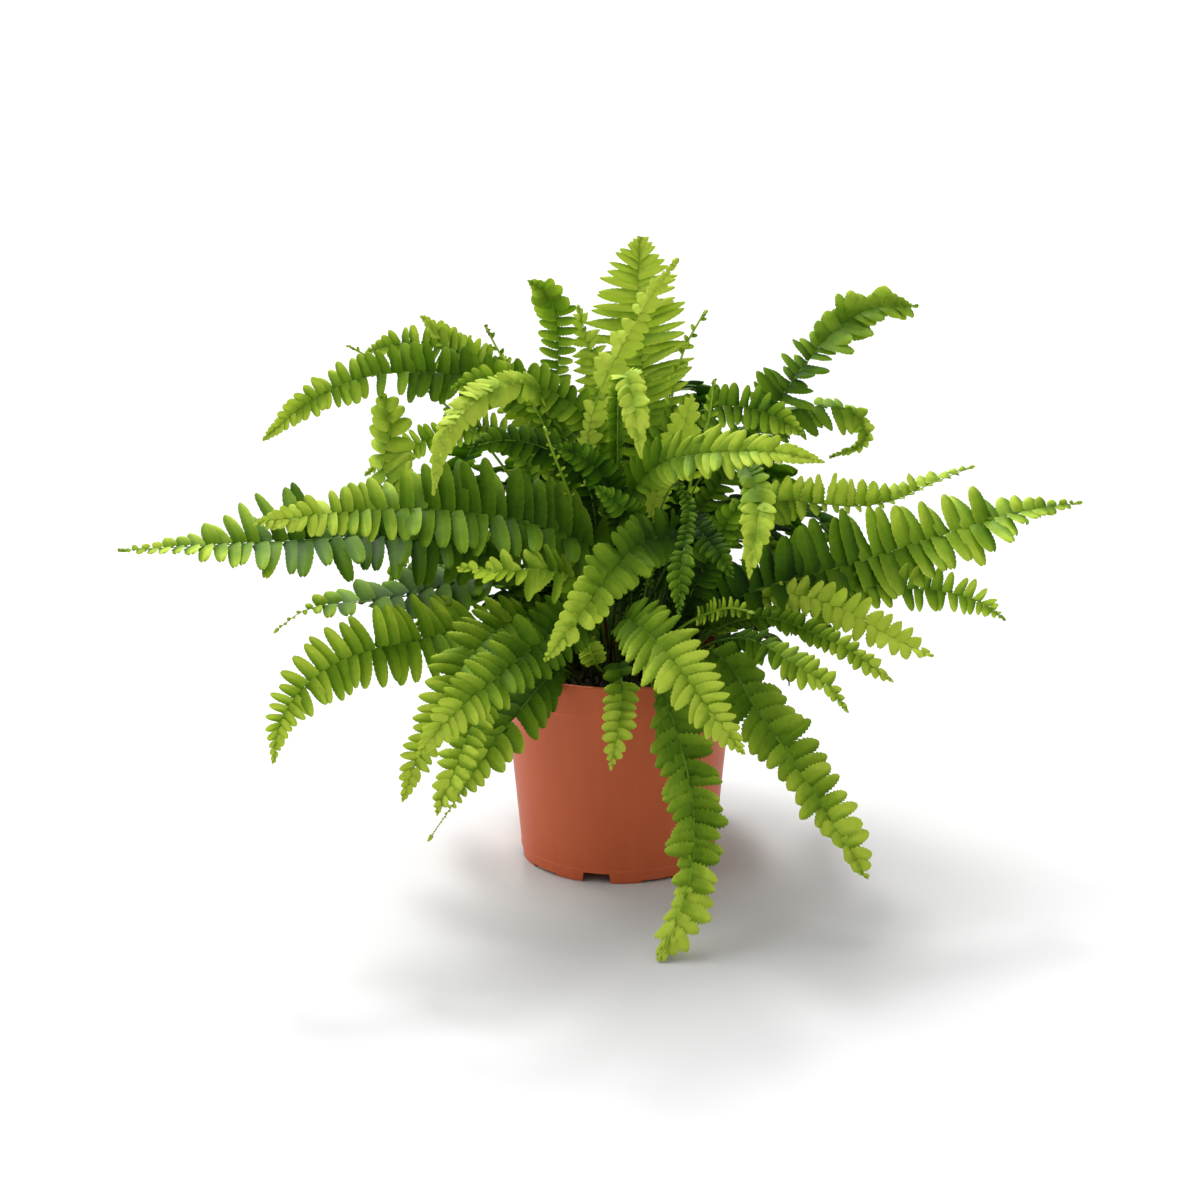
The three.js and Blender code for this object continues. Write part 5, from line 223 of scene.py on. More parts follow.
         reach=[0.9, 0.9, 1.6, 3.6, 5.3, 6.8, 8.3, 8.9, 8.7, 7.2, 1.9],
         face=[(0.4, -0.9, -0.19), (0.4, -0.9, -0.19), (0.4, -0.89, -0.22), (0.39, -0.87, -0.31), (0.38, -0.8, -0.47), (0.4, -0.69, -0.61), (0.54, -0.65, -0.53), (0.64, -0.72, -0.28), (0.62, -0.78, -0.07)]),
    dict(node='frond_44', tone=0.18, tip=0.4, root=0.45, lift=16,
         spine=[(16.6, -16.5, 96), (19.8, -20.4, 107.7), (23.6, -24.7, 119.1), (28, -29.6, 130), (32.3, -35.3, 140.5), (36.2, -41.9, 150.7), (39.6, -49, 160.7), (42.8, -56, 170.9), (46.4, -62.5, 181.2), (51, -68.5, 191.5), (56.8, -74, 201.4)],
         reach=[0.9, 0.9, 2.2, 4.8, 7, 9.1, 9.9, 9.4, 8.6, 6.6, 1.9],
         face=[(-0.24, -0.94, -0.24), (-0.25, -0.93, -0.26), (-0.26, -0.91, -0.3), (-0.3, -0.88, -0.38), (-0.33, -0.83, -0.45), (-0.32, -0.82, -0.47), (-0.32, -0.85, -0.42), (-0.35, -0.87, -0.33), (-0.38, -0.89, -0.25)]),
    dict(node='back_tuft_01', tone=0.08, tip=0.35, root=0.3, lift=16,
         spine=[(5.3, 16.2, 96), (5.9, 21.5, 122.8), (8.1, 29.9, 148.9), (12.6, 40, 174.6), (18.3, 56.1, 195.6), (25.8, 79.3, 203.4), (33, 101.6, 192.1), (38.1, 117.3, 170.3), (41.7, 128.3, 145.3), (44.3, 136.4, 118.9), (46.4, 142.7, 92)],
         reach=[1.2, 1.2, 6.6, 14.6, 19, 19.3, 19.7, 20, 15.8, 10.7, 1.2],
         face=[(-0.31, -0.94, 0.16), (-0.3, -0.91, 0.3), (-0.29, -0.88, 0.38), (-0.22, -0.67, 0.71), (0.03, 0.08, 1), (0.23, 0.71, 0.66), (0.28, 0.86, 0.42), (0.3, 0.91, 0.28), (0.3, 0.93, 0.22)]),
    dict(node='back_tuft_01', tone=0.22, trim=0.6, tip=0.35, root=0.3, lift=16,
         spine=[(5.3, 16.2, 96), (6.6, 18.3, 120), (8.7, 20.5, 144.2), (11.1, 25, 168.1), (13.8, 31.5, 191.3), (19.2, 41.2, 212.7), (27.7, 57, 228.1), (38.1, 76.4, 227.7), (46.3, 91.5, 211.9), (51.7, 101.5, 190.8), (55.4, 108.7, 168)],
         reach=[1, 1, 5.6, 12.4, 16.1, 16.4, 16.7, 17, 13.4, 9.1, 1],
         face=[(-0.45, -0.89, 0.1), (-0.45, -0.89, 0.11), (-0.44, -0.87, 0.21), (-0.43, -0.85, 0.31), (-0.37, -0.72, 0.59), (-0.09, -0.18, 0.98), (0.31, 0.61, 0.73), (0.41, 0.81, 0.43), (0.43, 0.85, 0.31)]),
    dict(node='back_tuft_02', tone=0.45, lift=16,
         spine=[(-6.1, 20.3, 96), (-7.6, 26.3, 121.7), (-9.8, 35.5, 146.3), (-13.2, 49.5, 168.1), (-18.1, 70.3, 181.4), (-23.7, 93.6, 177.1), (-28, 111.5, 159), (-31, 123.9, 136), (-33.2, 133, 111.3), (-34.9, 140, 85.8), (-36.3, 145.5, 60)],
         reach=[1.3, 1.3, 6.9, 15.4, 19.9, 20.3, 20.7, 21, 16.6, 11.2, 1.3],
         face=[(0.24, -0.95, 0.21), (0.23, -0.92, 0.32), (0.2, -0.81, 0.55), (0.1, -0.38, 0.92), (-0.12, 0.49, 0.86), (-0.21, 0.82, 0.53), (-0.23, 0.91, 0.35), (-0.23, 0.94, 0.25), (-0.24, 0.95, 0.21)]),
    dict(node='back_tuft_02', tone=0.46, tip=0.35, root=0.3, lift=16,
         spine=[(-6.1, 20.3, 96), (-7.6, 23.8, 120.9), (-9.8, 28.7, 145.5), (-13, 35.8, 169.4), (-17.8, 46.4, 191.6), (-25.2, 62.6, 207.8), (-34.5, 83.3, 207.8), (-42, 99.8, 191.7), (-47, 111, 169.9), (-50.5, 119.1, 146.3), (-53.1, 125.2, 122)],
         reach=[1.1, 1.1, 5.9, 13.2, 17.1, 17.4, 17.7, 18, 14.2, 9.6, 1.1],
         face=[(0.39, -0.91, 0.14), (0.38, -0.9, 0.19), (0.37, -0.88, 0.31), (0.34, -0.79, 0.51), (0.16, -0.38, 0.91), (-0.22, 0.52, 0.83), (-0.34, 0.8, 0.49), (-0.37, 0.87, 0.32), (-0.38, 0.89, 0.25)]),
    dict(node='back_tuft_03', tone=-0.04, tip=0.35, root=0.3, lift=16,
         spine=[(13.8, 16.2, 96), (17.9, 21.5, 116.6), (24, 29.3, 135.7), (32.6, 40.5, 151.8), (43.8, 55.2, 162.3), (56.6, 71.8, 163.9), (68.6, 87.4, 156), (78.3, 100, 141.6), (85.8, 109.7, 123.9), (91.5, 117.1, 104.4), (96, 122.9, 84)],
         reach=[1.2, 1.2, 6.6, 14.6, 19, 19.3, 19.7, 20, 15.8, 10.7, 1.2],
         face=[(-0.59, -0.76, 0.27), (-0.56, -0.72, 0.41), (-0.46, -0.59, 0.66), (-0.25, -0.32, 0.91), (0.1, 0.13, 0.99), (0.38, 0.48, 0.79), (0.51, 0.65, 0.57), (0.56, 0.72, 0.4), (0.58, 0.75, 0.32)]),
    dict(node='back_tuft_03', tone=0.46, tip=0, root=0.3, lift=16,
         spine=[(13.8, 16.2, 96), (16.6, 19, 118), (20.7, 23, 139.6), (26.6, 28.7, 160.3), (35.1, 36.9, 179.1), (47.2, 48.6, 192.9), (62.2, 63.1, 195.6), (75.9, 76.4, 185.6), (86.1, 86.3, 168.7), (93.4, 93.5, 148.9), (99, 99, 128)],
         reach=[1.1, 1.1, 5.9, 13.2, 17.1, 17.4, 17.7, 18, 14.2, 9.6, 1.1],
         face=[(-0.7, -0.7, 0.16), (-0.69, -0.69, 0.23), (-0.66, -0.66, 0.37), (-0.58, -0.58, 0.58), (-0.3, -0.3, 0.9), (0.25, 0.25, 0.94), (0.54, 0.54, 0.64), (0.64, 0.64, 0.43), (0.67, 0.67, 0.33)]),
    dict(node='back_tuft_04', tone=0.22, tip=0.2, root=0.3, lift=16,
         spine=[(-12.4, 15.7, 96), (-16.2, 20.5, 117.9), (-21.7, 27.6, 138.7), (-29.8, 37.9, 157.1), (-40.7, 52, 170.7), (-53.9, 68.9, 175.6), (-67, 85.8, 169.8), (-77.9, 99.7, 155.9), (-86.2, 110.3, 137.7), (-92.4, 118.3, 117.4), (-97.3, 124.5, 96)],
         reach=[1.2, 1.2, 6.6, 14.6, 19, 19.3, 19.7, 20, 15.8, 10.7, 1.2],
         face=[(0.6, -0.77, 0.24), (0.57, -0.74, 0.36), (0.5, -0.64, 0.58), (0.33, -0.42, 0.85), (-0.01, 0.02, 1), (-0.34, 0.44, 0.83), (-0.5, 0.63, 0.59), (-0.56, 0.72, 0.42), (-0.58, 0.75, 0.32)]),
    dict(node='back_tuft_04', tone=0.46, tip=0.35, root=0.3, lift=16,
         spine=[(-12.4, 15.7, 96), (-15.2, 18.5, 118.3), (-19, 22.2, 140.3), (-24.4, 27.3, 161.6), (-32.1, 34.7, 181.4), (-43.3, 45.4, 197.4), (-58.1, 59.5, 204.1), (-73, 73.7, 197.6), (-84.5, 84.8, 182.2), (-92.8, 92.9, 162.9), (-99, 99, 142)],
         reach=[1, 1, 5.6, 12.4, 16.1, 16.4, 16.7, 17, 13.4, 9.1, 1],
         face=[(0.7, -0.7, 0.15), (0.69, -0.69, 0.22), (0.67, -0.67, 0.32), (0.6, -0.6, 0.52), (0.4, -0.4, 0.82), (-0.11, 0.11, 0.99), (-0.49, 0.49, 0.72), (-0.62, 0.62, 0.47), (-0.66, 0.66, 0.35)]),
    dict(node='back_tuft_04', tone=0.46, tip=0.35, root=0.3, lift=16,
         spine=[(-12.4, 15.7, 96), (-14.7, 17.5, 113.5), (-17.9, 20.1, 130.7), (-21.7, 23, 147.7), (-26.8, 27.2, 164.1), (-35.1, 32.8, 178.6), (-46.7, 40.6, 188.3), (-60.2, 50.4, 188.6), (-72, 59, 179.6), (-80.7, 65.5, 165.7), (-87, 70.5, 150)],
         reach=[0.9, 0.9, 4.3, 9.5, 12.3, 12.6, 12.8, 13, 10.3, 7, 0.9],
         face=[(0.77, -0.62, 0.14), (0.76, -0.61, 0.22), (0.75, -0.61, 0.27), (0.71, -0.57, 0.42), (0.57, -0.46, 0.68), (0.14, -0.11, 0.98), (-0.42, 0.34, 0.85), (-0.64, 0.52, 0.56), (-0.7, 0.57, 0.42)]),
    dict(node='back_tuft_05', tone=-0.04, tip=0.3, root=0.3, lift=16,
         spine=[(0.6, 21.1, 96), (0.6, 23.9, 120.8), (0.6, 27.7, 145.5), (0.5, 32.9, 169.9), (0.5, 40.3, 193.7), (0.4, 51.1, 216), (0.3, 67.9, 233), (0.2, 90.1, 233.4), (0.1, 107.8, 217.3), (0, 119.6, 195.5), (0, 128, 172)],
         reach=[1.1, 1.1, 5.9, 13.2, 17.1, 17.4, 17.7, 18, 14.2, 9.6, 1.1],
         face=[(0, -0.99, 0.1), (0, -0.99, 0.14), (0, -0.98, 0.21), (0, -0.95, 0.32), (0, -0.84, 0.54), (0, -0.25, 0.97), (0, 0.68, 0.73), (0, 0.9, 0.43), (0, 0.95, 0.31)]),
    dict(node='back_tuft_05', tone=0.6, lift=16,
         spine=[(0.6, 21.1, 96), (1.4, 27.2, 125), (2.7, 36.8, 152.9), (4.8, 51.9, 177.8), (8.2, 75.4, 190.8), (11.7, 99.7, 180), (13.9, 116.1, 156), (15.5, 127.2, 128.6), (16.6, 135.4, 100.1), (17.4, 141.7, 71.2), (18, 146.9, 42)],
         reach=[1.2, 1.2, 6.6, 14.6, 19, 19.3, 19.7, 20, 15.8, 10.7, 1.2],
         face=[(-0.12, -0.98, 0.19), (-0.12, -0.95, 0.29), (-0.1, -0.85, 0.52), (-0.04, -0.29, 0.96), (0.09, 0.69, 0.72), (0.11, 0.91, 0.41), (0.12, 0.95, 0.28), (0.12, 0.97, 0.2), (0.12, 0.98, 0.17)]),
    dict(node='back_tuft_06', tone=0.46, tip=0, root=0.3, lift=16,
         spine=[(22.1, 12.4, 96), (25.6, 14.4, 114.3), (30.5, 17.3, 132), (37.4, 21.3, 148.8), (47.1, 26.9, 163.7), (59.9, 34.4, 174.5), (75.2, 43.3, 178.3), (90.5, 52.2, 173.7), (103.4, 59.6, 162.8), (113.4, 65.5, 148.3), (121.2, 70, 132)],
         reach=[1.1, 1.1, 5.9, 13.2, 17.1, 17.4, 17.7, 18, 14.2, 9.6, 1.1],
         face=[(-0.85, -0.49, 0.2), (-0.83, -0.48, 0.28), (-0.78, -0.45, 0.43), (-0.66, -0.38, 0.65), (-0.37, -0.21, 0.91), (0.12, 0.07, 0.99), (0.51, 0.3, 0.8), (0.7, 0.41, 0.58), (0.77, 0.45, 0.45)]),
    dict(node='back_tuft_06', tone=0.34, tip=0.35, root=0.3, lift=16,
         spine=[(22.1, 12.4, 96), (25.8, 15.4, 108.7), (31, 19.8, 120.4), (38, 25.9, 130.2), (46.9, 33.6, 136.7), (56.9, 42.2, 138.6), (66.7, 50.8, 135.5), (75.4, 58.2, 128.3), (82.5, 64.2, 118.5), (88.3, 68.9, 107.2), (93, 72.6, 95)],
         reach=[1, 1, 5.6, 12.4, 16.1, 16.4, 16.7, 17, 13.4, 9.1, 1],
         face=[(-0.75, -0.58, 0.32), (-0.7, -0.55, 0.46), (-0.57, -0.45, 0.69), (-0.32, -0.25, 0.91), (0.04, 0.03, 1), (0.37, 0.29, 0.88), (0.57, 0.45, 0.69), (0.67, 0.53, 0.52), (0.72, 0.56, 0.42)]),
    dict(node='back_tuft_06', tone=0.6, lift=16,
         spine=[(22.1, 12.4, 96), (24.9, 14.4, 110), (28.8, 17.3, 123.5), (34.3, 21.4, 136.1), (41.8, 27.1, 146.9), (51.5, 34.4, 154), (62.6, 42.7, 155.5), (73.3, 50.7, 150.8), (82.2, 57.3, 141.9), (89.3, 62.5, 130.6), (95, 66.5, 118)],
         reach=[1, 1, 5.6, 12.4, 16.1, 16.4, 16.7, 17, 13.4, 9.1, 1],
         face=[(-0.8, -0.56, 0.22), (-0.78, -0.55, 0.31), (-0.72, -0.5, 0.48), (-0.58, -0.41, 0.7), (-0.27, -0.19, 0.95), (0.19, 0.13, 0.97), (0.51, 0.36, 0.78), (0.67, 0.47, 0.57), (0.73, 0.51, 0.46)]),
    dict(node='back_tuft_07', tone=0.45, lift=16,
         spine=[(-16.7, 10.4, 96), (-20.8, 12.8, 112.8), (-26.9, 16.3, 128.8), (-35.5, 21.2, 143.2), (-46.8, 27.6, 154.7), (-60.5, 35.4, 161.8), (-75.5, 43.9, 163.1), (-90, 52.1, 158.7), (-102.7, 59.4, 149.4), (-113.1, 65.3, 136.7), (-121.2, 70, 122)],
         reach=[1.1, 1.1, 5.9, 13.2, 17.1, 17.4, 17.7, 18, 14.2, 9.6, 1.1],
         face=[(0.84, -0.48, 0.25), (0.81, -0.47, 0.36), (0.71, -0.41, 0.57), (0.53, -0.31, 0.79), (0.22, -0.13, 0.97), (-0.16, 0.09, 0.98), (-0.46, 0.27, 0.84), (-0.66, 0.38, 0.64), (-0.75, 0.43, 0.5)]),
    dict(node='back_tuft_07', tone=0.46, tip=0, root=0.3, lift=16,
         spine=[(-16.7, 10.4, 96), (-21.4, 13.7, 109.5), (-28.2, 18.7, 121.4), (-36.7, 26.4, 130.7), (-47, 35.1, 136), (-58.2, 44.3, 136.3), (-68.8, 53.1, 131.7), (-78, 60.6, 123.1), (-85.5, 66.6, 112.1), (-91.4, 71.4, 99.4), (-96.1, 75.1, 86)],
         reach=[1, 1, 5.6, 12.4, 16.1, 16.4, 16.7, 17, 13.4, 9.1, 1],
         face=[(0.74, -0.58, 0.35), (0.67, -0.52, 0.52), (0.5, -0.39, 0.78), (0.22, -0.17, 0.96), (-0.12, 0.09, 0.99), (-0.42, 0.33, 0.85), (-0.6, 0.47, 0.65), (-0.69, 0.54, 0.48), (-0.73, 0.57, 0.39)]),
    dict(node='back_tuft_08', tone=0.46, tip=0.35, root=0.3, lift=16,
         spine=[(1, 31.2, 96), (1.3, 40.4, 108.8), (1.8, 53, 117.7), (2.3, 67.8, 117.7), (2.8, 80.2, 108.7), (3.1, 89, 95.7), (3.3, 95.6, 81.3), (3.5, 100.9, 66.3), (3.7, 105.2, 51), (3.8, 108.8, 35.6), (3.9, 111.9, 20)],
         reach=[1, 1, 5.6, 12.4, 16.1, 16.4, 16.7, 17, 13.4, 9.1, 1],
         face=[(-0.03, -0.85, 0.53), (-0.02, -0.67, 0.75), (0, 0, 1), (0.02, 0.68, 0.73), (0.03, 0.88, 0.48), (0.03, 0.94, 0.35), (0.03, 0.96, 0.27), (0.03, 0.98, 0.22), (0.03, 0.98, 0.19)]),
    dict(node='back_tuft_08', tone=0.46, tip=0.35, root=0.3, lift=16,
         spine=[(1, 31.2, 96), (3.2, 39.3, 112), (6.8, 50.9, 125.2), (11.6, 66.4, 131.4), (16.6, 82.2, 126.9), (20.4, 94.6, 114.6), (23.2, 103.7, 99.2), (25.1, 110.7, 82.5), (26.7, 116.2, 65.3), (27.8, 120.8, 47.7), (28.8, 124.7, 30)],
         reach=[1.1, 1.1, 5.9, 13.2, 17.1, 17.4, 17.7, 18, 14.2, 9.6, 1.1],
         face=[(-0.2, -0.89, 0.41), (-0.18, -0.77, 0.61), (-0.08, -0.36, 0.93), (0.09, 0.4, 0.91), (0.18, 0.77, 0.61), (0.2, 0.88, 0.42), (0.21, 0.92, 0.32), (0.22, 0.94, 0.25), (0.22, 0.95, 0.21)]),
    dict(node='back_tuft_09', tone=0.45, lift=16,
         spine=[(-14.3, 27.7, 96), (-17.5, 34, 110.2), (-22.1, 43.1, 122.1), (-28.3, 55.4, 129), (-35.1, 68.7, 127.1), (-40.7, 79.8, 117.7), (-44.9, 88, 104.8), (-48.1, 94.3, 90.6), (-50.6, 99.3, 75.7), (-52.7, 103.4, 60.4), (-54.5, 106.9, 45)],
         reach=[1, 1, 5.6, 12.4, 16.1, 16.4, 16.7, 17, 13.4, 9.1, 1],
         face=[(0.42, -0.82, 0.4), (0.37, -0.72, 0.59), (0.21, -0.4, 0.89), (-0.13, 0.25, 0.96), (-0.34, 0.66, 0.67), (-0.4, 0.79, 0.47), (-0.42, 0.83, 0.35), (-0.44, 0.86, 0.28), (-0.44, 0.87, 0.24)]),
    dict(node='back_tuft_09', tone=0.46, tip=0.35, root=0.3, lift=16,
         spine=[(-14.3, 27.7, 96), (-16, 36.3, 108.1), (-17.9, 48.3, 116.2), (-20, 62.2, 115.6), (-21.7, 73.5, 106.6), (-23.1, 81.6, 94), (-24.2, 87.6, 80.3), (-25.1, 92.3, 66), (-25.9, 96.3, 51.5), (-26.7, 99.5, 36.8), (-27.4, 102.4, 22)],
         reach=[1, 1, 5.3, 11.7, 15.2, 15.5, 15.7, 16, 12.6, 8.6, 1],
         face=[(0.22, -0.82, 0.54), (0.17, -0.63, 0.76), (-0.01, 0.04, 1), (-0.18, 0.68, 0.71), (-0.23, 0.86, 0.46), (-0.24, 0.91, 0.34), (-0.25, 0.93, 0.26), (-0.25, 0.94, 0.21), (-0.25, 0.95, 0.19)]),
    dict(node='back_tuft_10', tone=-0.04, tip=0.35, root=0.3, lift=16,
         spine=[(29.4, 9.7, 96), (33.8, 11.2, 106.7), (39.8, 13.1, 116.4), (47.8, 15.7, 124.5), (57.4, 18.8, 130), (68.2, 22.2, 132.3), (79.1, 25.8, 131.1), (89.3, 29, 126.7), (98.3, 31.9, 120), (105.9, 34.4, 111.5), (112.2, 36.5, 102)],
         reach=[0.9, 0.9, 5, 11, 14.2, 14.5, 14.8, 15, 11.8, 8, 0.9],
         face=[(-0.89, -0.29, 0.36), (-0.82, -0.27, 0.5), (-0.66, -0.21, 0.72), (-0.39, -0.13, 0.91), (-0.04, -0.01, 1), (0.3, 0.1, 0.95), (0.55, 0.18, 0.81), (0.72, 0.23, 0.65), (0.8, 0.26, 0.55)]),
    dict(node='back_tuft_10', tone=0.46, tip=0.35, root=0.3, lift=16,
         spine=[(29.4, 9.7, 96), (34.2, 12.3, 104.2), (40.3, 15.8, 110.9), (47.8, 20.1, 115.3), (56.1, 25, 116.4), (64.2, 29.8, 114), (71.3, 33.9, 108.7), (77.3, 37.2, 101.7), (82.2, 39.9, 93.7), (86.3, 42, 85), (89.9, 43.8, 76)],
         reach=[0.9, 0.9, 4.6, 10.2, 13.3, 13.5, 13.8, 14, 11, 7.5, 0.9],
         face=[(-0.78, -0.38, 0.51), (-0.66, -0.32, 0.67), (-0.41, -0.2, 0.89), (-0.02, -0.01, 1), (0.37, 0.18, 0.91), (0.61, 0.3, 0.73), (0.74, 0.36, 0.57), (0.8, 0.39, 0.45), (0.83, 0.4, 0.39)]),
    dict(node='back_tuft_10', tone=0.4, tip=0.15, root=0.3, lift=16,
         spine=[(29.4, 9.7, 96), (31.6, 11.8, 105.2), (34.2, 14.8, 113.9), (37.6, 19.1, 121.7), (42, 24.9, 127.9), (47.2, 32.1, 131.1), (52.9, 39.6, 130.4), (58.2, 46.2, 126.3), (62.8, 51.6, 119.9), (66.9, 55.8, 112.3), (70.5, 59.1, 104)],
         reach=[0.9, 0.9, 5, 11, 14.2, 14.5, 14.8, 15, 11.8, 8, 0.9],
         face=[(-0.73, -0.62, 0.28), (-0.71, -0.59, 0.38), (-0.63, -0.53, 0.56), (-0.46, -0.38, 0.8), (-0.11, -0.09, 0.99), (0.28, 0.24, 0.93), (0.51, 0.43, 0.74), (0.63, 0.53, 0.57), (0.67, 0.56, 0.48)]),
    dict(node='back_tuft_11', tone=0.44, tip=0.35, root=0.3, lift=16,
         spine=[(-29.4, 10.3, 96), (-34.3, 11.9, 106.3), (-41, 14, 115.3), (-49.7, 16.7, 122.3), (-59.8, 19.9, 126.5), (-70.6, 23.3, 127.5), (-81.2, 26.6, 125.1), (-90.9, 29.7, 119.9), (-99.3, 32.3, 112.5), (-106.3, 34.6, 103.7), (-112.2, 36.5, 94)],
         reach=[0.9, 0.9, 5, 11, 14.2, 14.5, 14.8, 15, 11.8, 8, 0.9],
         face=[(0.87, -0.28, 0.41), (0.78, -0.25, 0.57), (0.58, -0.19, 0.79), (0.29, -0.09, 0.95), (-0.06, 0.02, 1), (-0.38, 0.12, 0.92), (-0.61, 0.2, 0.77), (-0.75, 0.24, 0.61), (-0.82, 0.27, 0.51)]),
    dict(node='back_tuft_11', tone=0.6, lift=16,
         spine=[(-29.4, 10.3, 96), (-34.4, 13, 103.8), (-40.8, 16.6, 110), (-48.4, 20.9, 113.9), (-56.7, 25.7, 114.5), (-64.7, 30.2, 111.8), (-71.6, 34.2, 106.4), (-77.5, 37.4, 99.4), (-82.3, 40, 91.4), (-86.4, 42.1, 82.9), (-89.9, 43.8, 74)],
         reach=[0.9, 0.9, 4.6, 10.2, 13.3, 13.5, 13.8, 14, 11, 7.5, 0.9],
         face=[(0.75, -0.37, 0.54), (0.63, -0.31, 0.71), (0.36, -0.18, 0.92), (-0.02, 0.01, 1), (-0.39, 0.19, 0.9), (-0.62, 0.3, 0.72), (-0.74, 0.36, 0.57), (-0.8, 0.39, 0.45), (-0.83, 0.4, 0.39)]),
    dict(node='back_tuft_12', tone=-0.04, tip=0.35, root=0.3, lift=16,
         spine=[(9.6, 21.5, 96), (10.4, 23, 115), (11.8, 24.9, 134), (13.1, 27.4, 153), (14.3, 31.4, 171.6), (16.6, 37.1, 189.5), (19.7, 44.5, 206.7), (24.8, 56, 217.3), (30.7, 69.1, 210.1), (34.7, 77.9, 193.9), (37.4, 84, 176)],
         reach=[1, 1, 5.3, 11.7, 15.2, 15.5, 15.7, 16, 12.6, 8.6, 1],
         face=[(-0.41, -0.91, 0.09), (-0.4, -0.91, 0.12), (-0.4, -0.9, 0.14), (-0.39, -0.89, 0.25), (-0.38, -0.85, 0.37), (-0.32, -0.72, 0.62), (0.19, 0.43, 0.88), (0.36, 0.82, 0.45), (0.38, 0.86, 0.33)]),
    dict(node='back_tuft_12', tone=0.34, tip=0.35, root=0.3, lift=16,
         spine=[(9.6, 21.5, 96), (10.1, 23.3, 117.3), (9.8, 24.7, 139.6), (7.6, 27.1, 160.6), (6.6, 30.2, 181.5), (5.3, 34.1, 202.7), (3, 39.9, 223.2), (-1, 49.5, 241.4), (-7.2, 65.2, 245.9), (-11.7, 78.4, 231.6), (-13.8, 86.9, 212)],
         reach=[0.9, 0.9, 5, 11, 14.2, 14.5, 14.8, 15, 11.8, 8, 0.9],
         face=[(0.16, -0.98, 0.08), (0.16, -0.99, 0.07), (0.16, -0.98, 0.13), (0.15, -0.98, 0.15), (0.15, -0.96, 0.23), (0.14, -0.9, 0.4), (0.04, -0.27, 0.96), (-0.13, 0.81, 0.58), (-0.15, 0.92, 0.36)]),
    dict(node='back_tuft_13', tone=0.46, tip=0.35, root=0.3, lift=16,
         spine=[(12, 28.2, 96), (15.6, 36.2, 105.2), (20.1, 46.1, 111.5), (25.2, 57.4, 113.3), (30.2, 68.3, 109.8), (34.3, 77.4, 102.1), (37.6, 84.6, 92.1), (40.2, 90.4, 81), (42.3, 95.1, 69.3), (44.1, 99, 57.3), (45.6, 102.3, 45)],
         reach=[1, 1, 5.3, 11.7, 15.2, 15.5, 15.7, 16, 12.6, 8.6, 1],
         face=[(-0.31, -0.7, 0.64), (-0.23, -0.52, 0.82), (-0.06, -0.13, 0.99), (0.16, 0.35, 0.92), (0.29, 0.65, 0.7), (0.35, 0.78, 0.52), (0.37, 0.84, 0.4), (0.39, 0.87, 0.32), (0.39, 0.88, 0.28)]),
    dict(node='back_tuft_13', tone=0.46, tip=0.35, root=0.3, lift=16,
         spine=[(12, 28.2, 96), (15.2, 32.8, 106.7), (19.9, 39, 115.8), (26.1, 47, 122.1), (33.3, 56.1, 123.7), (40.2, 65, 120), (45.9, 72.4, 112.5), (50.3, 78.4, 103), (53.8, 83.2, 92.5), (56.5, 87.2, 81.4), (58.8, 90.6, 70)],
         reach=[0.9, 0.9, 5, 11, 14.2, 14.5, 14.8, 15, 11.8, 8, 0.9],
         face=[(-0.49, -0.76, 0.42), (-0.44, -0.68, 0.59), (-0.29, -0.44, 0.85), (-0.01, -0.02, 1), (0.27, 0.42, 0.87), (0.41, 0.64, 0.65), (0.47, 0.73, 0.49), (0.5, 0.78, 0.38), (0.52, 0.79, 0.32)]),
]

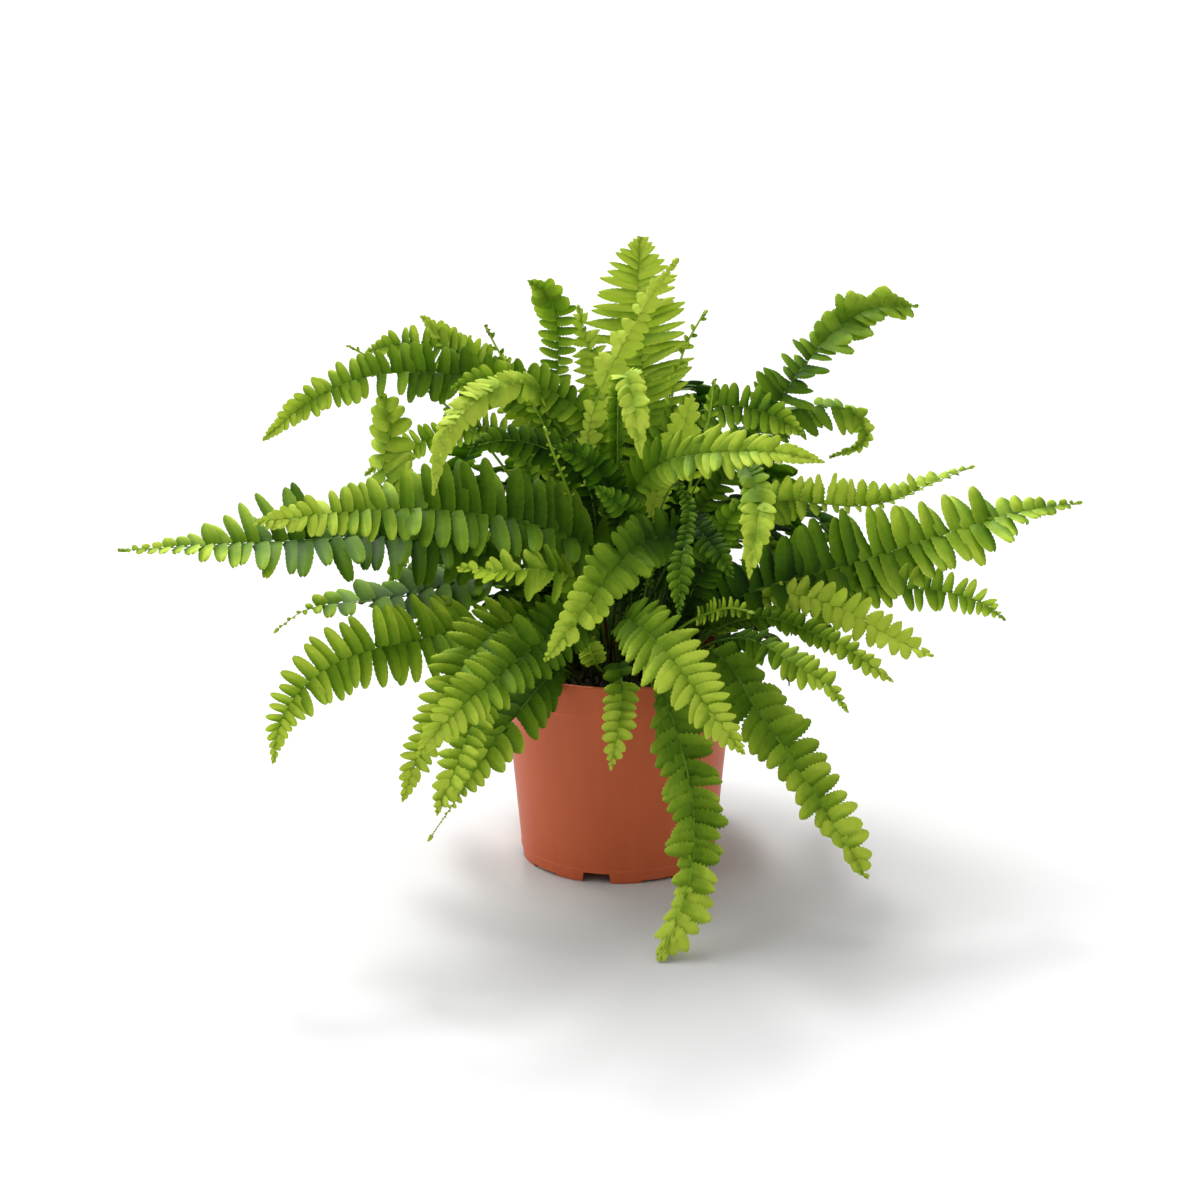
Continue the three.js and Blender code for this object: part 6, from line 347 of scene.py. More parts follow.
CROZIERS = [
    (5, [(5.2, 2.9, 96), (7.2, 2.8, 114.6), (9, 2.1, 132.9), (11.1, 1.6, 151.2), (15.7, 1, 170.4), (19.2, -0.1, 188.6), (21.7, 1.2, 206.5), (24.6, 4.4, 224.6), (27.5, 8.8, 242.4), (32.9, 14, 259.3), (41.9, 18, 275)]),
    (5, [(-8.4, 2.2, 96), (-10.9, 2.4, 114.5), (-13.4, 1.8, 133), (-16.3, 0.8, 151.4), (-19.7, -0.1, 169.7), (-24.2, -0.2, 187.9), (-29.9, 0.7, 205.6), (-37.3, 4.1, 222.2), (-46.4, 10.9, 236.7), (-56.4, 20, 249.5), (-65.3, 26, 264.3)]),
    (3, [(-14.9, 3.9, 96), (-20.5, 6.3, 116.7), (-27, 8, 136.9), (-35.1, 8.5, 156.9), (-44.8, 11.6, 176.4), (-55.6, 15.6, 194.3), (-68.8, 20.4, 210.6), (-83.9, 26.9, 224.4), (-100.4, 35.2, 235.3), (-117.7, 44.8, 243.5), (-135.9, 52, 251.9)]),
    (3, [(-5.6, -5.1, 96), (-6.8, -7, 110.5), (-8.3, -9.5, 124.8), (-10.2, -12.1, 138.9), (-13.2, -14.8, 152.4), (-17.2, -21.1, 166.2), (-19.8, -27.8, 179.3), (-23.2, -34.2, 191.9), (-27, -41.1, 204.2), (-31.1, -47.6, 216.5), (-35.6, -48, 229.4)]),
    (6, [(12.3, -2.2, 96), (15.5, -2.7, 110.9), (18.7, -3.6, 125.8), (21.9, -4.9, 140.6), (25.3, -6.4, 155.4), (28.8, -7.6, 170.1), (32.5, -8.2, 184.9), (36.4, -7.7, 199.6), (40.4, -6, 214.2), (44.3, -3.3, 228.6), (46, 0, 243.2)]),
    (8, [(-5.1, -27.1, 96), (-5.9, -29.5, 100.1), (-7, -32.7, 103.5), (-8.3, -36.4, 106.3), (-9.7, -40.3, 108.8), (-10.9, -44, 111.5), (-11.9, -47.5, 114.6), (-12.8, -50.9, 117.9), (-13.7, -54.2, 121.3), (-14.6, -56.7, 125.2), (-15.3, -58, 129.7)]),
    (7, [(13.1, -22.3, 96), (16, -26.1, 105.4), (19.5, -30.5, 114.2), (23.8, -35.7, 122.3), (28.7, -41.9, 129.3), (33.8, -48.9, 135.2), (38.7, -56.8, 140.2), (43.3, -65.2, 144.5), (47.7, -73.9, 148.5), (53.2, -82, 151.4), (61.4, -88, 151)]),
]


# ---------------------------------------------------------------------------
# small numeric helpers
# ---------------------------------------------------------------------------
def unit(a):
    return a / np.maximum(np.linalg.norm(a, axis=-1, keepdims=True), 1e-12)


def smooth(a, b, x):
    t = np.clip((x - a) / (b - a), 0, 1)
    return t * t * (3 - 2 * t)


def spline(points, n):
    """Catmull-Rom through the points, resampled evenly; returns positions and
    the station number of each sample."""
    p = np.asarray(points, float)
    q = np.vstack([2 * p[0] - p[1], p, 2 * p[-1] - p[-2]])
    out, st = [], []
    m = 16
    for i in range(len(p) - 1):
        t = np.linspace(0, 1, m, endpoint=False)[:, None]
        a, b, c, d = q[i], q[i + 1], q[i + 2], q[i + 3]
        out.append(0.5 * (2 * b + (c - a) * t + (2 * a - 5 * b + 4 * c - d) * t ** 2
                          + (3 * b - a - 3 * c + d) * t ** 3))
        st.append(i + t[:, 0])
    out.append(p[-1:])
    st.append([len(p) - 1.0])
    out = np.vstack(out)
    st = np.concatenate(st)
    s = np.r_[0, np.cumsum(np.linalg.norm(np.diff(out, axis=0), axis=1))]
    g = np.linspace(0, s[-1], n)
    return (np.stack([np.interp(g, s, out[:, k]) for k in range(3)], 1),
            np.interp(g, s, st), s[-1])


def lerp_table(table, st, stations):
    t = np.asarray(table, float)
    x = st / (stations - 1) * (len(t) - 1)
    if t.ndim == 1:
        return np.interp(x, np.arange(len(t)), t)
    return np.stack([np.interp(x, np.arange(len(t)), t[:, k]) for k in range(t.shape[1])], 1)


class Builder:
    """Collects vertices, quads, a material number per face, and the data that
    the leaf material reads."""

    def __init__(self):
        self.v, self.f, self.m, self.a, self.s = [], [], [], [], []
        self.n = 0

    def add(self, verts, faces, mat, attr, sharp=None):
        verts = np.asarray(verts, float).reshape(-1, 3)
        faces = np.asarray(faces, np.int64).reshape(-1, 4)
        attr = np.broadcast_to(np.asarray(attr, float), (len(verts), 4))
        self.v.append(verts)
        self.f.append(faces + self.n)
        self.m.append(np.full(len(faces), mat))
        self.a.append(attr)
        self.s.append(np.zeros(len(verts), bool) if sharp is None else sharp)
        self.n += len(verts)

    def mesh(self, name, materials, flat=False):
        v = (np.vstack(self.v) + SHIFT) * MM
        f = np.vstack(self.f)
        m = np.concatenate(self.m)
        a = np.vstack(self.a)
        s = np.concatenate(self.s)
        me = bpy.data.meshes.new(name)
        tri = f[:, 2] == f[:, 3]
        size = np.where(tri, 3, 4)
        start = np.r_[0, np.cumsum(size)[:-1]]
        keep = np.ones((len(f), 4), bool)
        keep[tri, 3] = False
        me.vertices.add(len(v))
        me.vertices.foreach_set("co", v.ravel())
        me.loops.add(int(size.sum()))
        me.loops.foreach_set("vertex_index", f[keep].astype(np.int32))
        me.polygons.add(len(f))
        me.polygons.foreach_set("loop_start", start.astype(np.int32))
        me.polygons.foreach_set("material_index", m.astype(np.int32))
        me.update(calc_edges=True)
        me.polygons.foreach_set("use_smooth", np.full(len(f), not flat))
        layer = me.attributes.new("leaf", "FLOAT_COLOR", "POINT")
        layer.data.foreach_set("color", a.ravel().astype(np.float32))
        if s.any():
            e = np.empty(len(me.edges) * 2, np.int32)
            me.edges.foreach_get("vertices", e)
            e = e.reshape(-1, 2)
            sh = me.attributes.new("sharp_edge", "BOOLEAN", "EDGE")
            sh.data.foreach_set("value", (s[e[:, 0]] & s[e[:, 1]]))
        for k in materials:
            me.materials.append(k)
        me.validate(clean_customdata=False)
        ob = bpy.data.objects.new(name, me)
        scene.collection.objects.link(ob)
        return ob


def tube(b, P, R, mat, attr, sides=7, up=None):
    """A round rod along P with radius R, both ends closed."""
    P = np.asarray(P, float)
    n = len(P)
    T = unit(np.gradient(P, axis=0))
    ref = np.array([0.3, 0.2, 1.0]) if up is None else np.asarray(up, float)
    A = np.empty_like(P)
    a = np.cross(T[0], ref)
    a = a / np.linalg.norm(a)
    for i in range(n):
        a = a - T[i] * (a @ T[i])
        a = a / np.linalg.norm(a)
        A[i] = a
    Bn = np.cross(T, A)
    R = np.broadcast_to(np.asarray(R, float), (n,))
    t = np.arange(sides) / sides * 2 * math.pi
    ring = P[:, None] + (A[:, None] * np.cos(t)[None, :, None] + Bn[:, None] * np.sin(t)[None, :, None]) * R[:, None, None]
    verts = np.vstack([ring.reshape(-1, 3), P[:1] - T[:1] * R[0] * 0.3, P[-1:] + T[-1:] * R[-1] * 0.6])
    i, j = np.meshgrid(np.arange(n - 1), np.arange(sides), indexing="ij")
    k = (j + 1) % sides
    f = np.stack([i * sides + j, i * sides + k, (i + 1) * sides + k, (i + 1) * sides + j], -1).reshape(-1, 4)
    j = np.arange(sides)
    k = (j + 1) % sides
    c0, c1 = n * sides, n * sides + 1
    caps = np.vstack([np.stack([k, j, np.full(sides, c0), np.full(sides, c0)], 1),
                      np.stack([(n - 1) * sides + j, (n - 1) * sides + k, np.full(sides, c1), np.full(sides, c1)], 1)])
    at = np.asarray(attr, float)
    if at.ndim == 2:
        at = np.vstack([np.repeat(at, sides, axis=0), at[:1], at[-1:]])
    b.add(verts, np.vstack([f, caps]), mat, at)


def lump(b, c, size, rng, mat, seg=7, rings=5, attr=(0.5, 0.5, 0.5, 0.5)):
    t = np.linspace(0, math.pi, rings)
    p = np.arange(seg) / seg * 2 * math.pi
    sc = size * rng.uniform(0.6, 1.25, 3)
    R = 1 + rng.normal(0, 0.16, (rings, seg))
    V = np.stack([np.sin(t)[:, None] * np.cos(p) * R * sc[0], np.sin(t)[:, None] * np.sin(p) * R * sc[1], np.cos(t)[:, None] * R * sc[2] * 0.8], -1)
    V[0] = V[0].mean(0)
    V[-1] = V[-1].mean(0)
    a = rng.uniform(0, 6.3)
    ca, sa = math.cos(a), math.sin(a)
    V = V @ np.array([[ca, sa, 0], [-sa, ca, 0], [0, 0, 1]])
    mid = V[1:-1].reshape(-1, 3)
    m = rings - 2
    i, j = np.meshgrid(np.arange(m - 1), np.arange(seg), indexing="ij")
    k = (j + 1) % seg
    f = [np.stack([i * seg + j, (i + 1) * seg + j, (i + 1) * seg + k, i * seg + k], -1).reshape(-1, 4)]
    j = np.arange(seg)
    k = (j + 1) % seg
    c0, c1 = m * seg, m * seg + 1
    f.append(np.stack([j, k, np.full(seg, c0), np.full(seg, c0)], 1))
    f.append(np.stack([(m - 1) * seg + k, (m - 1) * seg + j, np.full(seg, c1), np.full(seg, c1)], 1))
    verts = np.vstack([mid, V[0, :1], V[-1, :1]]) + np.asarray(c)
    b.add(verts, np.vstack(f), mat, attr)


def leaflets(b, mat, base, D, A, M, L, W, flip, tone, rnd, pt, cren, bend, curve, nv, thick=0.2, fuse=0.0):
    """K leaflets at once.  D runs out along each leaflet, A towards the frond's
    tip, M out of the upper face.  Each is a thin closed solid."""
    K = len(base)
    if K == 0:
        return
    nu = 5
    t = np.linspace(0, 1, nv)
    v = 0.55 * t + 0.45 * (1 - (1 - t) ** 1.7)
    u = np.array([-1.0, -0.52, 0.0, 0.52, 1.0])
    p = 5.4 - 4.1 * pt
    q = 2.5 - 1.4 * pt
    body = (1 - v[None] ** p[:, None]) ** (1 / q[:, None])
    body[:, -1] = 0.16
    foot = 0.90 + 0.10 * smooth(0, 0.08, v)
    wide = 0.93 + 0.07 * np.cos((v - 0.38) * 3.2)
    h = body * (foot * wide)[None] * W[:, None] * 0.5
    tooth = np.where(np.arange(nv) % 2 == 0, -1.0, 1.0) * smooth(0.04, 0.16, v)
    tooth = 1 + cren[:, None] * 0.10 * tooth[None]
    ear = 1 + 0.30 * np.exp(-((v - 0.10) / 0.08) ** 2)       # the auricle on the side to the tip
    y = np.empty((K, nv, nu))
    for k in range(nu):
        e = np.abs(u[k])
        y[:, :, k] = h * u[k] * (1 + (tooth - 1) * (e > 0.9)) * (ear[None] if u[k] > 0 else 1.0)
    y += (curve * L)[:, None, None] * (v ** 1.8)[None, :, None]
    x = L[:, None, None] * v[None, :, None] * np.ones((1, 1, nu))
    # round the end a little, draw the outer bend back
    x -= (bend ** 2 * L)[:, None, None] * 0.5 * (v ** 2)[None, :, None]
    wv = W[:, None, None]
    fz = (np.zeros(K) + fuse)[:, None, None]
    z = -0.12 * (1 - 0.75 * fz) * wv * (np.abs(u) ** 2)[None, None, :] * (0.35 + 0.65 * v[None, :, None])
    z = z - 0.022 * wv * (u == 0)[None, None, :] * (1 - 0.6 * v[None, :, None])
    ph = rnd[:, None, None] * 40
    z = z + 0.035 * wv * cren[:, None, None] * np.sin(ph + v[None, :, None] * (9 + 5 * rnd[:, None, None]) + 1.3 * u[None, None]) * (np.abs(u) ** 1.5)[None, None]
    z = z + (0.016 * L * np.sin(rnd * 91))[:, None, None] * np.sin(v * 5.2)[None, :, None]
    z = z - (bend * L)[:, None, None] * (v ** 2)[None, :, None]
    P = (base[:, None, None] + D[:, None, None] * x[..., None] + A[:, None, None] * y[..., None] + M[:, None, None] * z[..., None])
    top = P + M[:, None, None] * thick * 0.5
    low = P - M[:, None, None] * thick * 0.5
    # margin and ends are shared between the two faces
    inner = np.zeros((nv, nu), bool)
    inner[1:-1, 1:-1] = True
    top[:, ~inner] = P[:, ~inner]
    nt, nb = nv * nu, int(inner.sum())
    per = nt + nb
    ti = np.arange(nt).reshape(nv, nu)
    bi = ti.copy()
    bi[inner] = nt + np.arange(nb)
    verts = np.concatenate([top.reshape(K, nt, 3), low[:, inner]], 1)
    a, c = np.meshgrid(np.arange(nv - 1), np.arange(nu - 1), indexing="ij")

    def quads(ix, rev):
        f = np.stack([ix[a, c], ix[a + 1, c], ix[a + 1, c + 1], ix[a, c + 1]], -1).reshape(-1, 4)
        return f[:, ::-1] if rev else f
    f = np.vstack([quads(ti, False), quads(bi, True)])
    off = (np.arange(K) * per)[:, None, None]
    F = f[None] + off
    F = np.where(flip[:, None, None], F[:, :, ::-1], F)
    attr = np.empty((K, nv, nu, 4))
    attr[..., 0] = tone[:, None, None]
    # on fused leaflets the across-leaflet value is squeezed, so the painted margin shade and highlight fade there
    attr[..., 1] = u[None, None] * 0.5 * (1 - fz) + 0.5 - 0.12 * fz
    attr[..., 2] = v[None, :, None]
    attr[..., 3] = rnd[:, None, None]
    attr = np.concatenate([attr.reshape(K, nt, 4), attr[:, inner]], 1)
    sharp = np.concatenate([(~inner).reshape(-1), np.zeros(nb, bool)])
    b.add(verts.reshape(-1, 3), F.reshape(-1, 4), mat, attr.reshape(-1, 4), np.tile(sharp, K))


def make_frond(b, f, seed):
    rng = np.random.default_rng(seed)
    n = 260
    P, st, length = spline(f["spine"], n)
    ns = len(f["spine"])
    T = unit(np.gradient(P, axis=0))
    N = lerp_table(f["face"], st, ns)
    N = unit(N - (N * T).sum(1, keepdims=True) * T)
    reach = lerp_table(f["reach"], st, ns)
    reach = np.convolve(np.pad(reach, 8, "edge"), np.ones(17) / 17, "valid")
    reach[-10:] = np.minimum(reach[-10:], np.linspace(reach[-10], 1.2, 10))
    s = np.linspace(0, length, n)
    lift = math.radians(f["lift"])
    big = reach.max()
    sp0 = f.get("sp") or max(3.2, min(7.6, 1.9 + 0.30 * big))
    pw, pt0, cr, tip = f.get("pw", 1.0), f.get("pt", 0.25), f.get("cren", 0.5), f.get("tip", 0.45)
    tilt0 = math.radians(f.get("tilt", 12))
    start = np.argmax(reach > min(2.4, big * 0.4))
    x = s[start]
    at = []
    while x < length - 0.8:
        r = np.interp(x, s, reach)
        at.append(x)
        close = 0.30 + 0.70 * (r / big) ** 0.8
        x += max(1.15, sp0 * (close + (0.78 + 0.22 * r / big - close) * f.get("even", 0))) * (1 + rng.normal(0, 0.05))
    at = np.array(at)
    mat = 0
    for side in (1, -1):
        c = at + (0 if side > 0 else 0.5 * np.gradient(at)) if len(at) > 2 else at
        c = c[c < length - 0.6]
        K = len(c)
        if K < 2:
            continue
        gap = np.maximum(np.gradient(c), 1.0)
        pick = lambda arr: np.stack([np.interp(c, s, arr[:, k]) for k in range(arr.shape[1])], 1)
        Pc, Tc, Nc = pick(P), unit(pick(T)), pick(N)
        Nc = unit(Nc - (Nc * Tc).sum(1, keepdims=True) * Tc)
        S = np.cross(Tc, Nc) * side
        r = np.interp(c, s, reach)
        frac = c / length
        rnd = rng.random(K)
        # leaflets near the crown are shorter and hang further apart
        L = r * (1 + rng.normal(0, f.get("vary", 0.06), K)) * (1 + f.get("grow", 0) * smooth(0.55, 0.75, frac) * (1 - smooth(0.90, 1.0, frac)))
        small = np.clip(L / big, 0, 1)
        ang = np.radians(7 + f.get("fwd", 0) + 10 * (1 - small) + 28 * smooth(0.86, 1.0, frac) + rng.normal(0, 5.0, K))
        rise = lift + np.radians(rng.normal(0, 8, K))
        D0 = S * np.cos(rise)[:, None] + Nc * np.sin(rise)[:, None]
        M0 = Nc * np.cos(rise)[:, None] - S * np.sin(rise)[:, None]
        D = D0 * np.cos(ang)[:, None] + Tc * np.sin(ang)[:, None]
        A = Tc * np.cos(ang)[:, None] - D0 * np.sin(ang)[:, None]
        tilt = tilt0 + np.radians(rng.normal(0, 9, K))
        A2 = A * np.cos(tilt)[:, None] - M0 * np.sin(tilt)[:, None]
        M2 = M0 * np.cos(tilt)[:, None] + A * np.sin(tilt)[:, None]
        end = smooth(0.82, 1.0, frac)
        L = L * f.get("trim", 1.0)
        if f.get("lop"):
            L = L * (1 - max(0.0, f["lop"] * side) * smooth(0.45, 0.65, frac))
        W = gap * pw * (1.16 + 0.30 * end) * (1 + rng.normal(0, 0.08, K))
        fused = np.full(K, float(f.get("fuse", 0.0)))
        if f.get("crest"):
            # the leaflets of a crested tip are run together
            near = 1 - smooth(f["crest"] - 4, f["crest"], length - c)
            W = W * (1 + 0.75 * near)
            fused = fused * near
        W = np.minimum(W, np.maximum(L * (0.80 + 0.30 * end), 1.1))
        # lighter to the tip, darker by root towards the crown; the root darkening and the fitted tone are partly
        # painted shade and light, partly the frond's own colour
        tone = f["tone"] + (1 - f["tone"]) * tip * smooth(f.get("from", 0.55), 1.0, frac) - f.get("root", 0.30) * (1 - smooth(0.15, 0.7, frac))
        tone = tone + rng.normal(0, 0.035, K)
        bend = (0.06 + 0.17 * rng.random(K)) * (1.2 - f["tone"] * 0.5)
        curve = 0.03 + 0.09 * rng.random(K)
        base = Pc - S * 0.22 + Nc * 0.22
        live = rng.random(K) > f.get("lost", 0.012)
        Pc, Tc, Nc, S, L, W, D, A, A2, M2, base = (a[live] for a in (Pc, Tc, Nc, S, L, W, D, A, A2, M2, base))
        tone, bend, curve, rnd, small, fused = (a[live] for a in (tone, bend, curve, rnd, small, fused))
        K = len(L)
        flip = np.full(K, side < 0)
        ptk = np.full(K, pt0) + 0.2 * (1 - small)
        crk = np.full(K, cr) * (0.6 + 0.4 * small)
        for lo, hi, nv in ((0, 5, 9), (5, 11, 13), (11, 99, 17)):
            k = (L >= lo) & (L < hi)
            leaflets(b, mat, base[k], D[k], A2[k], M2[k], L[k], W[k], flip[k], tone[k], rnd[k], np.clip(ptk[k], 0, 1), crk[k], bend[k], curve[k], nv, fuse=fused[k])
    # end leaflet
    e = np.array([0])
    leaflets(b, mat, P[-4:-3], T[-3:-2], np.cross(N[-3:-2], T[-3:-2]), N[-3:-2], np.array([3.4]), np.array([1.9]),
             np.array([False]), np.array([min(1.0, f["tone"] + 0.5 * tip)]), rng.random(1), np.array([0.6]),
             np.array([0.3]), np.array([0.25]), np.array([0.1]), 8)
    # stalk and midrib
    k = np.linspace(0, n - 1, max(24, int(length / 3))).astype(int)
    R = 1.0 - 0.74 * smooth(0, 0.9, s[k] / length) ** 0.7
    if f.get("thin"):
        R = R * 0.7
    attr = np.zeros((len(k), 4))
    attr[:, 0] = f["tone"]
    attr[:, 1] = 0.5
    attr[:, 2] = s[k] / length
    attr[:, 3] = rng.random()
    tube(b, P[k] - N[k] * (R * 0.45)[:, None], R, 1, attr)
    if f.get("knob"):
        # the last bit of the tip is still rolled up
        for j in range(5):
            lump(b, P[-1] + T[-1] * (0.5 * j - 0.6) + rng.normal(0, 0.18, 3), f["knob"] * rng.uniform(0.55, 0.75), rng, 0, 7, 5, (min(1.0, f["tone"] + 0.3 * tip), 0.5, 0.5, 0.5))


# ---------------------------------------------------------------------------
# materials
# ---------------------------------------------------------------------------
def nodes_of(name):
    m = bpy.data.materials.new(name)
    m.use_nodes = True
    t = m.node_tree
    t.nodes.clear()
    return m, t


def N_(t, kind, **kw):
    n = t.nodes.new(kind)
    for k, v in kw.items():
        if k == "inputs":
            for key, val in v.items():
                n.inputs[key].default_value = val
        else:
            setattr(n, k, v)
    return n


def math_(t, op, a, b=None, c=None, clamp=False):
    n = t.nodes.new("ShaderNodeMath")
    n.operation = op
    n.use_clamp = clamp
    for i, x in enumerate((a, b, c)):
        if x is None:
            continue
        if isinstance(x, (int, float)):
            n.inputs[i].default_value = x
        else:
            t.links.new(x, n.inputs[i])
    return n.outputs[0]


def ramp(t, fac, stops, interp="LINEAR"):
    n = t.nodes.new("ShaderNodeValToRGB")
    n.color_ramp.interpolation = interp
    e = n.color_ramp.elements
    while len(e) > 1:
        e.remove(e[-1])
    e[0].position = stops[0][0]
    e[0].color = (*stops[0][1], 1)
    for p, c in stops[1:]:
        x = e.new(p)
        x.color = (*c, 1)
    t.links.new(fac, n.inputs[0])
    return n.outputs[0]


def noise(t, vec, scale, detail=3, rough=0.55, dist=0.0):
    n = N_(t, "ShaderNodeTexNoise", inputs={"Scale": scale, "Detail": detail, "Roughness": rough, "Distortion": dist})
    t.links.new(vec, n.inputs["Vector"])
    return n


def leaf_material():
    m, t = nodes_of("fern_leaf")
    out = t.nodes.new("ShaderNodeOutputMaterial")
    bs = N_(t, "ShaderNodeBsdfPrincipled")
    tl = N_(t, "ShaderNodeBsdfTranslucent")
    mix = N_(t, "ShaderNodeMixShader", inputs={0: 0.34})
    at = N_(t, "ShaderNodeAttribute", attribute_name="leaf")
    sep = N_(t, "ShaderNodeSeparateColor")
    t.links.new(at.outputs["Color"], sep.inputs[0])
    tone, uu, vv, rnd = sep.outputs[0], sep.outputs[1], sep.outputs[2], at.outputs["Alpha"]
    co = t.nodes.new("ShaderNodeTexCoord").outputs["Object"]
    edge = math_(t, "ABSOLUTE", math_(t, "MULTIPLY_ADD", uu, 2.0, -1.0))
    n1 = noise(t, co, 55, 3)
    n2 = noise(t, co, 420, 4, 0.6)
    # tone with patches, a painted highlight along the margin and a lighter tip, each leaflet a little its own
    k = math_(t, "ADD", tone, math_(t, "MULTIPLY_ADD", n1.outputs[0], 0.36, -0.18))
    k = math_(t, "ADD", k, math_(t, "MULTIPLY_ADD", n2.outputs[0], 0.14, -0.07))
    k = math_(t, "ADD", k, math_(t, "MULTIPLY", math_(t, "POWER", edge, 4.0), 0.10))
    # painted shadow of the next leaflet: the margin that lies under it is painted darker, the free one painted lighter
    k = math_(t, "ADD", k, math_(t, "MULTIPLY_ADD", math_(t, "POWER", uu, 2.2), -0.34, 0.10))
    k = math_(t, "ADD", k, math_(t, "MULTIPLY_ADD", rnd, 0.12, -0.06))
    # painted shade: each leaflet darker at its base by the midrib, lighter out to its tip
    k = math_(t, "ADD", k, math_(t, "MULTIPLY_ADD", vv, 0.30, -0.15))
    # forked side veins: fine lines that run outwards and forwards
    w = math_(t, "ADD", math_(t, "MULTIPLY", vv, 60.0), math_(t, "MULTIPLY", edge, -9.0))
    vein = math_(t, "POWER", math_(t, "ABSOLUTE", math_(t, "SINE", w)), 3.0)
    rib = math_(t, "SUBTRACT", 1.0, math_(t, "MULTIPLY", edge, 5.0), clamp=True)
    k = math_(t, "ADD", k, math_(t, "MULTIPLY", vein, 0.045))
    k = math_(t, "ADD", k, math_(t, "MULTIPLY", rib, 0.035), clamp=True)
    col = ramp(t, k, [(0.0, (0.005, 0.021, 0.0006)), (0.22, (0.021, 0.064, 0.0015)), (0.45, (0.066, 0.153, 0.004)),
                      (0.66, (0.158, 0.290, 0.013)), (0.85, (0.316, 0.476, 0.032)), (1.0, (0.600, 0.740, 0.080))])
    t.links.new(col, bs.inputs["Base Color"])
    thru = ramp(t, k, [(0.0, (0.03, 0.11, 0.002)), (0.3, (0.11, 0.27, 0.005)), (0.6, (0.30, 0.53, 0.015)),
                       (1.0, (0.68, 0.84, 0.06))])
    t.links.new(thru, tl.inputs["Color"])
    ro = math_(t, "MULTIPLY_ADD", n2.outputs[0], 0.20, 0.44)
    t.links.new(ro, bs.inputs["Roughness"])
    bs.inputs["Specular IOR Level"].default_value = 0.09
    hgt = math_(t, "ADD", math_(t, "MULTIPLY", vein, 0.5), math_(t, "MULTIPLY", n2.outputs[0], 0.9))
    bump = N_(t, "ShaderNodeBump", inputs={"Strength": 0.35, "Distance": 0.00025})
    t.links.new(hgt, bump.inputs["Height"])
    t.links.new(bump.outputs[0], bs.inputs["Normal"])
    t.links.new(bump.outputs[0], tl.inputs["Normal"])
    t.links.new(bs.outputs[0], mix.inputs[1])
    t.links.new(tl.outputs[0], mix.inputs[2])
    t.links.new(mix.outputs[0], out.inputs[0])
    return m


def stalk_material():
    m, t = nodes_of("fern_stalk")
    out = t.nodes.new("ShaderNodeOutputMaterial")
    bs = N_(t, "ShaderNodeBsdfPrincipled")
    at = N_(t, "ShaderNodeAttribute", attribute_name="leaf")
    sep = N_(t, "ShaderNodeSeparateColor")
    t.links.new(at.outputs["Color"], sep.inputs[0])
    co = t.nodes.new("ShaderNodeTexCoord").outputs["Object"]
    n1 = noise(t, co, 260, 4, 0.65)
    # painted shade: the stalk runs from its own green in the blade to near black towards the crown, under the fronds
    k = math_(t, "ADD", math_(t, "MULTIPLY", sep.outputs[2], 0.75), math_(t, "MULTIPLY", sep.outputs[0], 0.25))
    k = math_(t, "ADD", k, math_(t, "MULTIPLY_ADD", n1.outputs[0], 0.24, -0.12), clamp=True)
    col = ramp(t, k, [(0.0, (0.016, 0.013, 0.004)), (0.15, (0.018, 0.028, 0.004)), (0.35, (0.052, 0.120, 0.006)),
                      (0.6, (0.150, 0.290, 0.014)), (0.8, (0.260, 0.420, 0.028)), (1.0, (0.400, 0.520, 0.060))])
    t.links.new(col, bs.inputs["Base Color"])
    bs.inputs["Roughness"].default_value = 0.46
    bs.inputs["Specular IOR Level"].default_value = 0.15
    bump = N_(t, "ShaderNodeBump", inputs={"Strength": 0.4, "Distance": 0.0003})
    t.links.new(n1.outputs[0], bump.inputs["Height"])
    t.links.new(bump.outputs[0], bs.inputs["Normal"])
    t.links.new(bs.outputs[0], out.inputs[0])
    return m


def pot_material():
    m, t = nodes_of("terracotta_plastic")
    out = t.nodes.new("ShaderNodeOutputMaterial")
    bs = N_(t, "ShaderNodeBsdfPrincipled")
    co = t.nodes.new("ShaderNodeTexCoord").outputs["Object"]
    big = noise(t, co, 16, 3, 0.5)
    mp = N_(t, "ShaderNodeMapping")
    mp.inputs["Scale"].default_value = (1, 1, 0.12)
    t.links.new(co, mp.inputs["Vector"])
    streak = noise(t, mp.outputs[0], 150, 3, 0.6)
    fine = noise(t, co, 1500, 2, 0.5)
    k = math_(t, "ADD", math_(t, "MULTIPLY", big.outputs[0], 0.5), math_(t, "MULTIPLY", streak.outputs[0], 0.35))
    k = math_(t, "ADD", k, math_(t, "MULTIPLY", fine.outputs[0], 0.15), clamp=True)
    col = ramp(t, k, [(0.25, (0.525, 0.104, 0.034)), (0.5, (0.590, 0.121, 0.041)), (0.75, (0.655, 0.140, 0.050))])
    t.links.new(col, bs.inputs["Base Color"])
    ro = math_(t, "MULTIPLY_ADD", k, 0.18, 0.38)
    t.links.new(ro, bs.inputs["Roughness"])
    bs.inputs["Specular IOR Level"].default_value = 0.26
    bump = N_(t, "ShaderNodeBump", inputs={"Strength": 0.12, "Distance": 0.0002})
    t.links.new(math_(t, "ADD", fine.outputs[0], math_(t, "MULTIPLY", streak.outputs[0], 0.8)), bump.inputs["Height"])
    t.links.new(bump.outputs[0], bs.inputs["Normal"])
    t.links.new(bs.outputs[0], out.inputs[0])
    return m


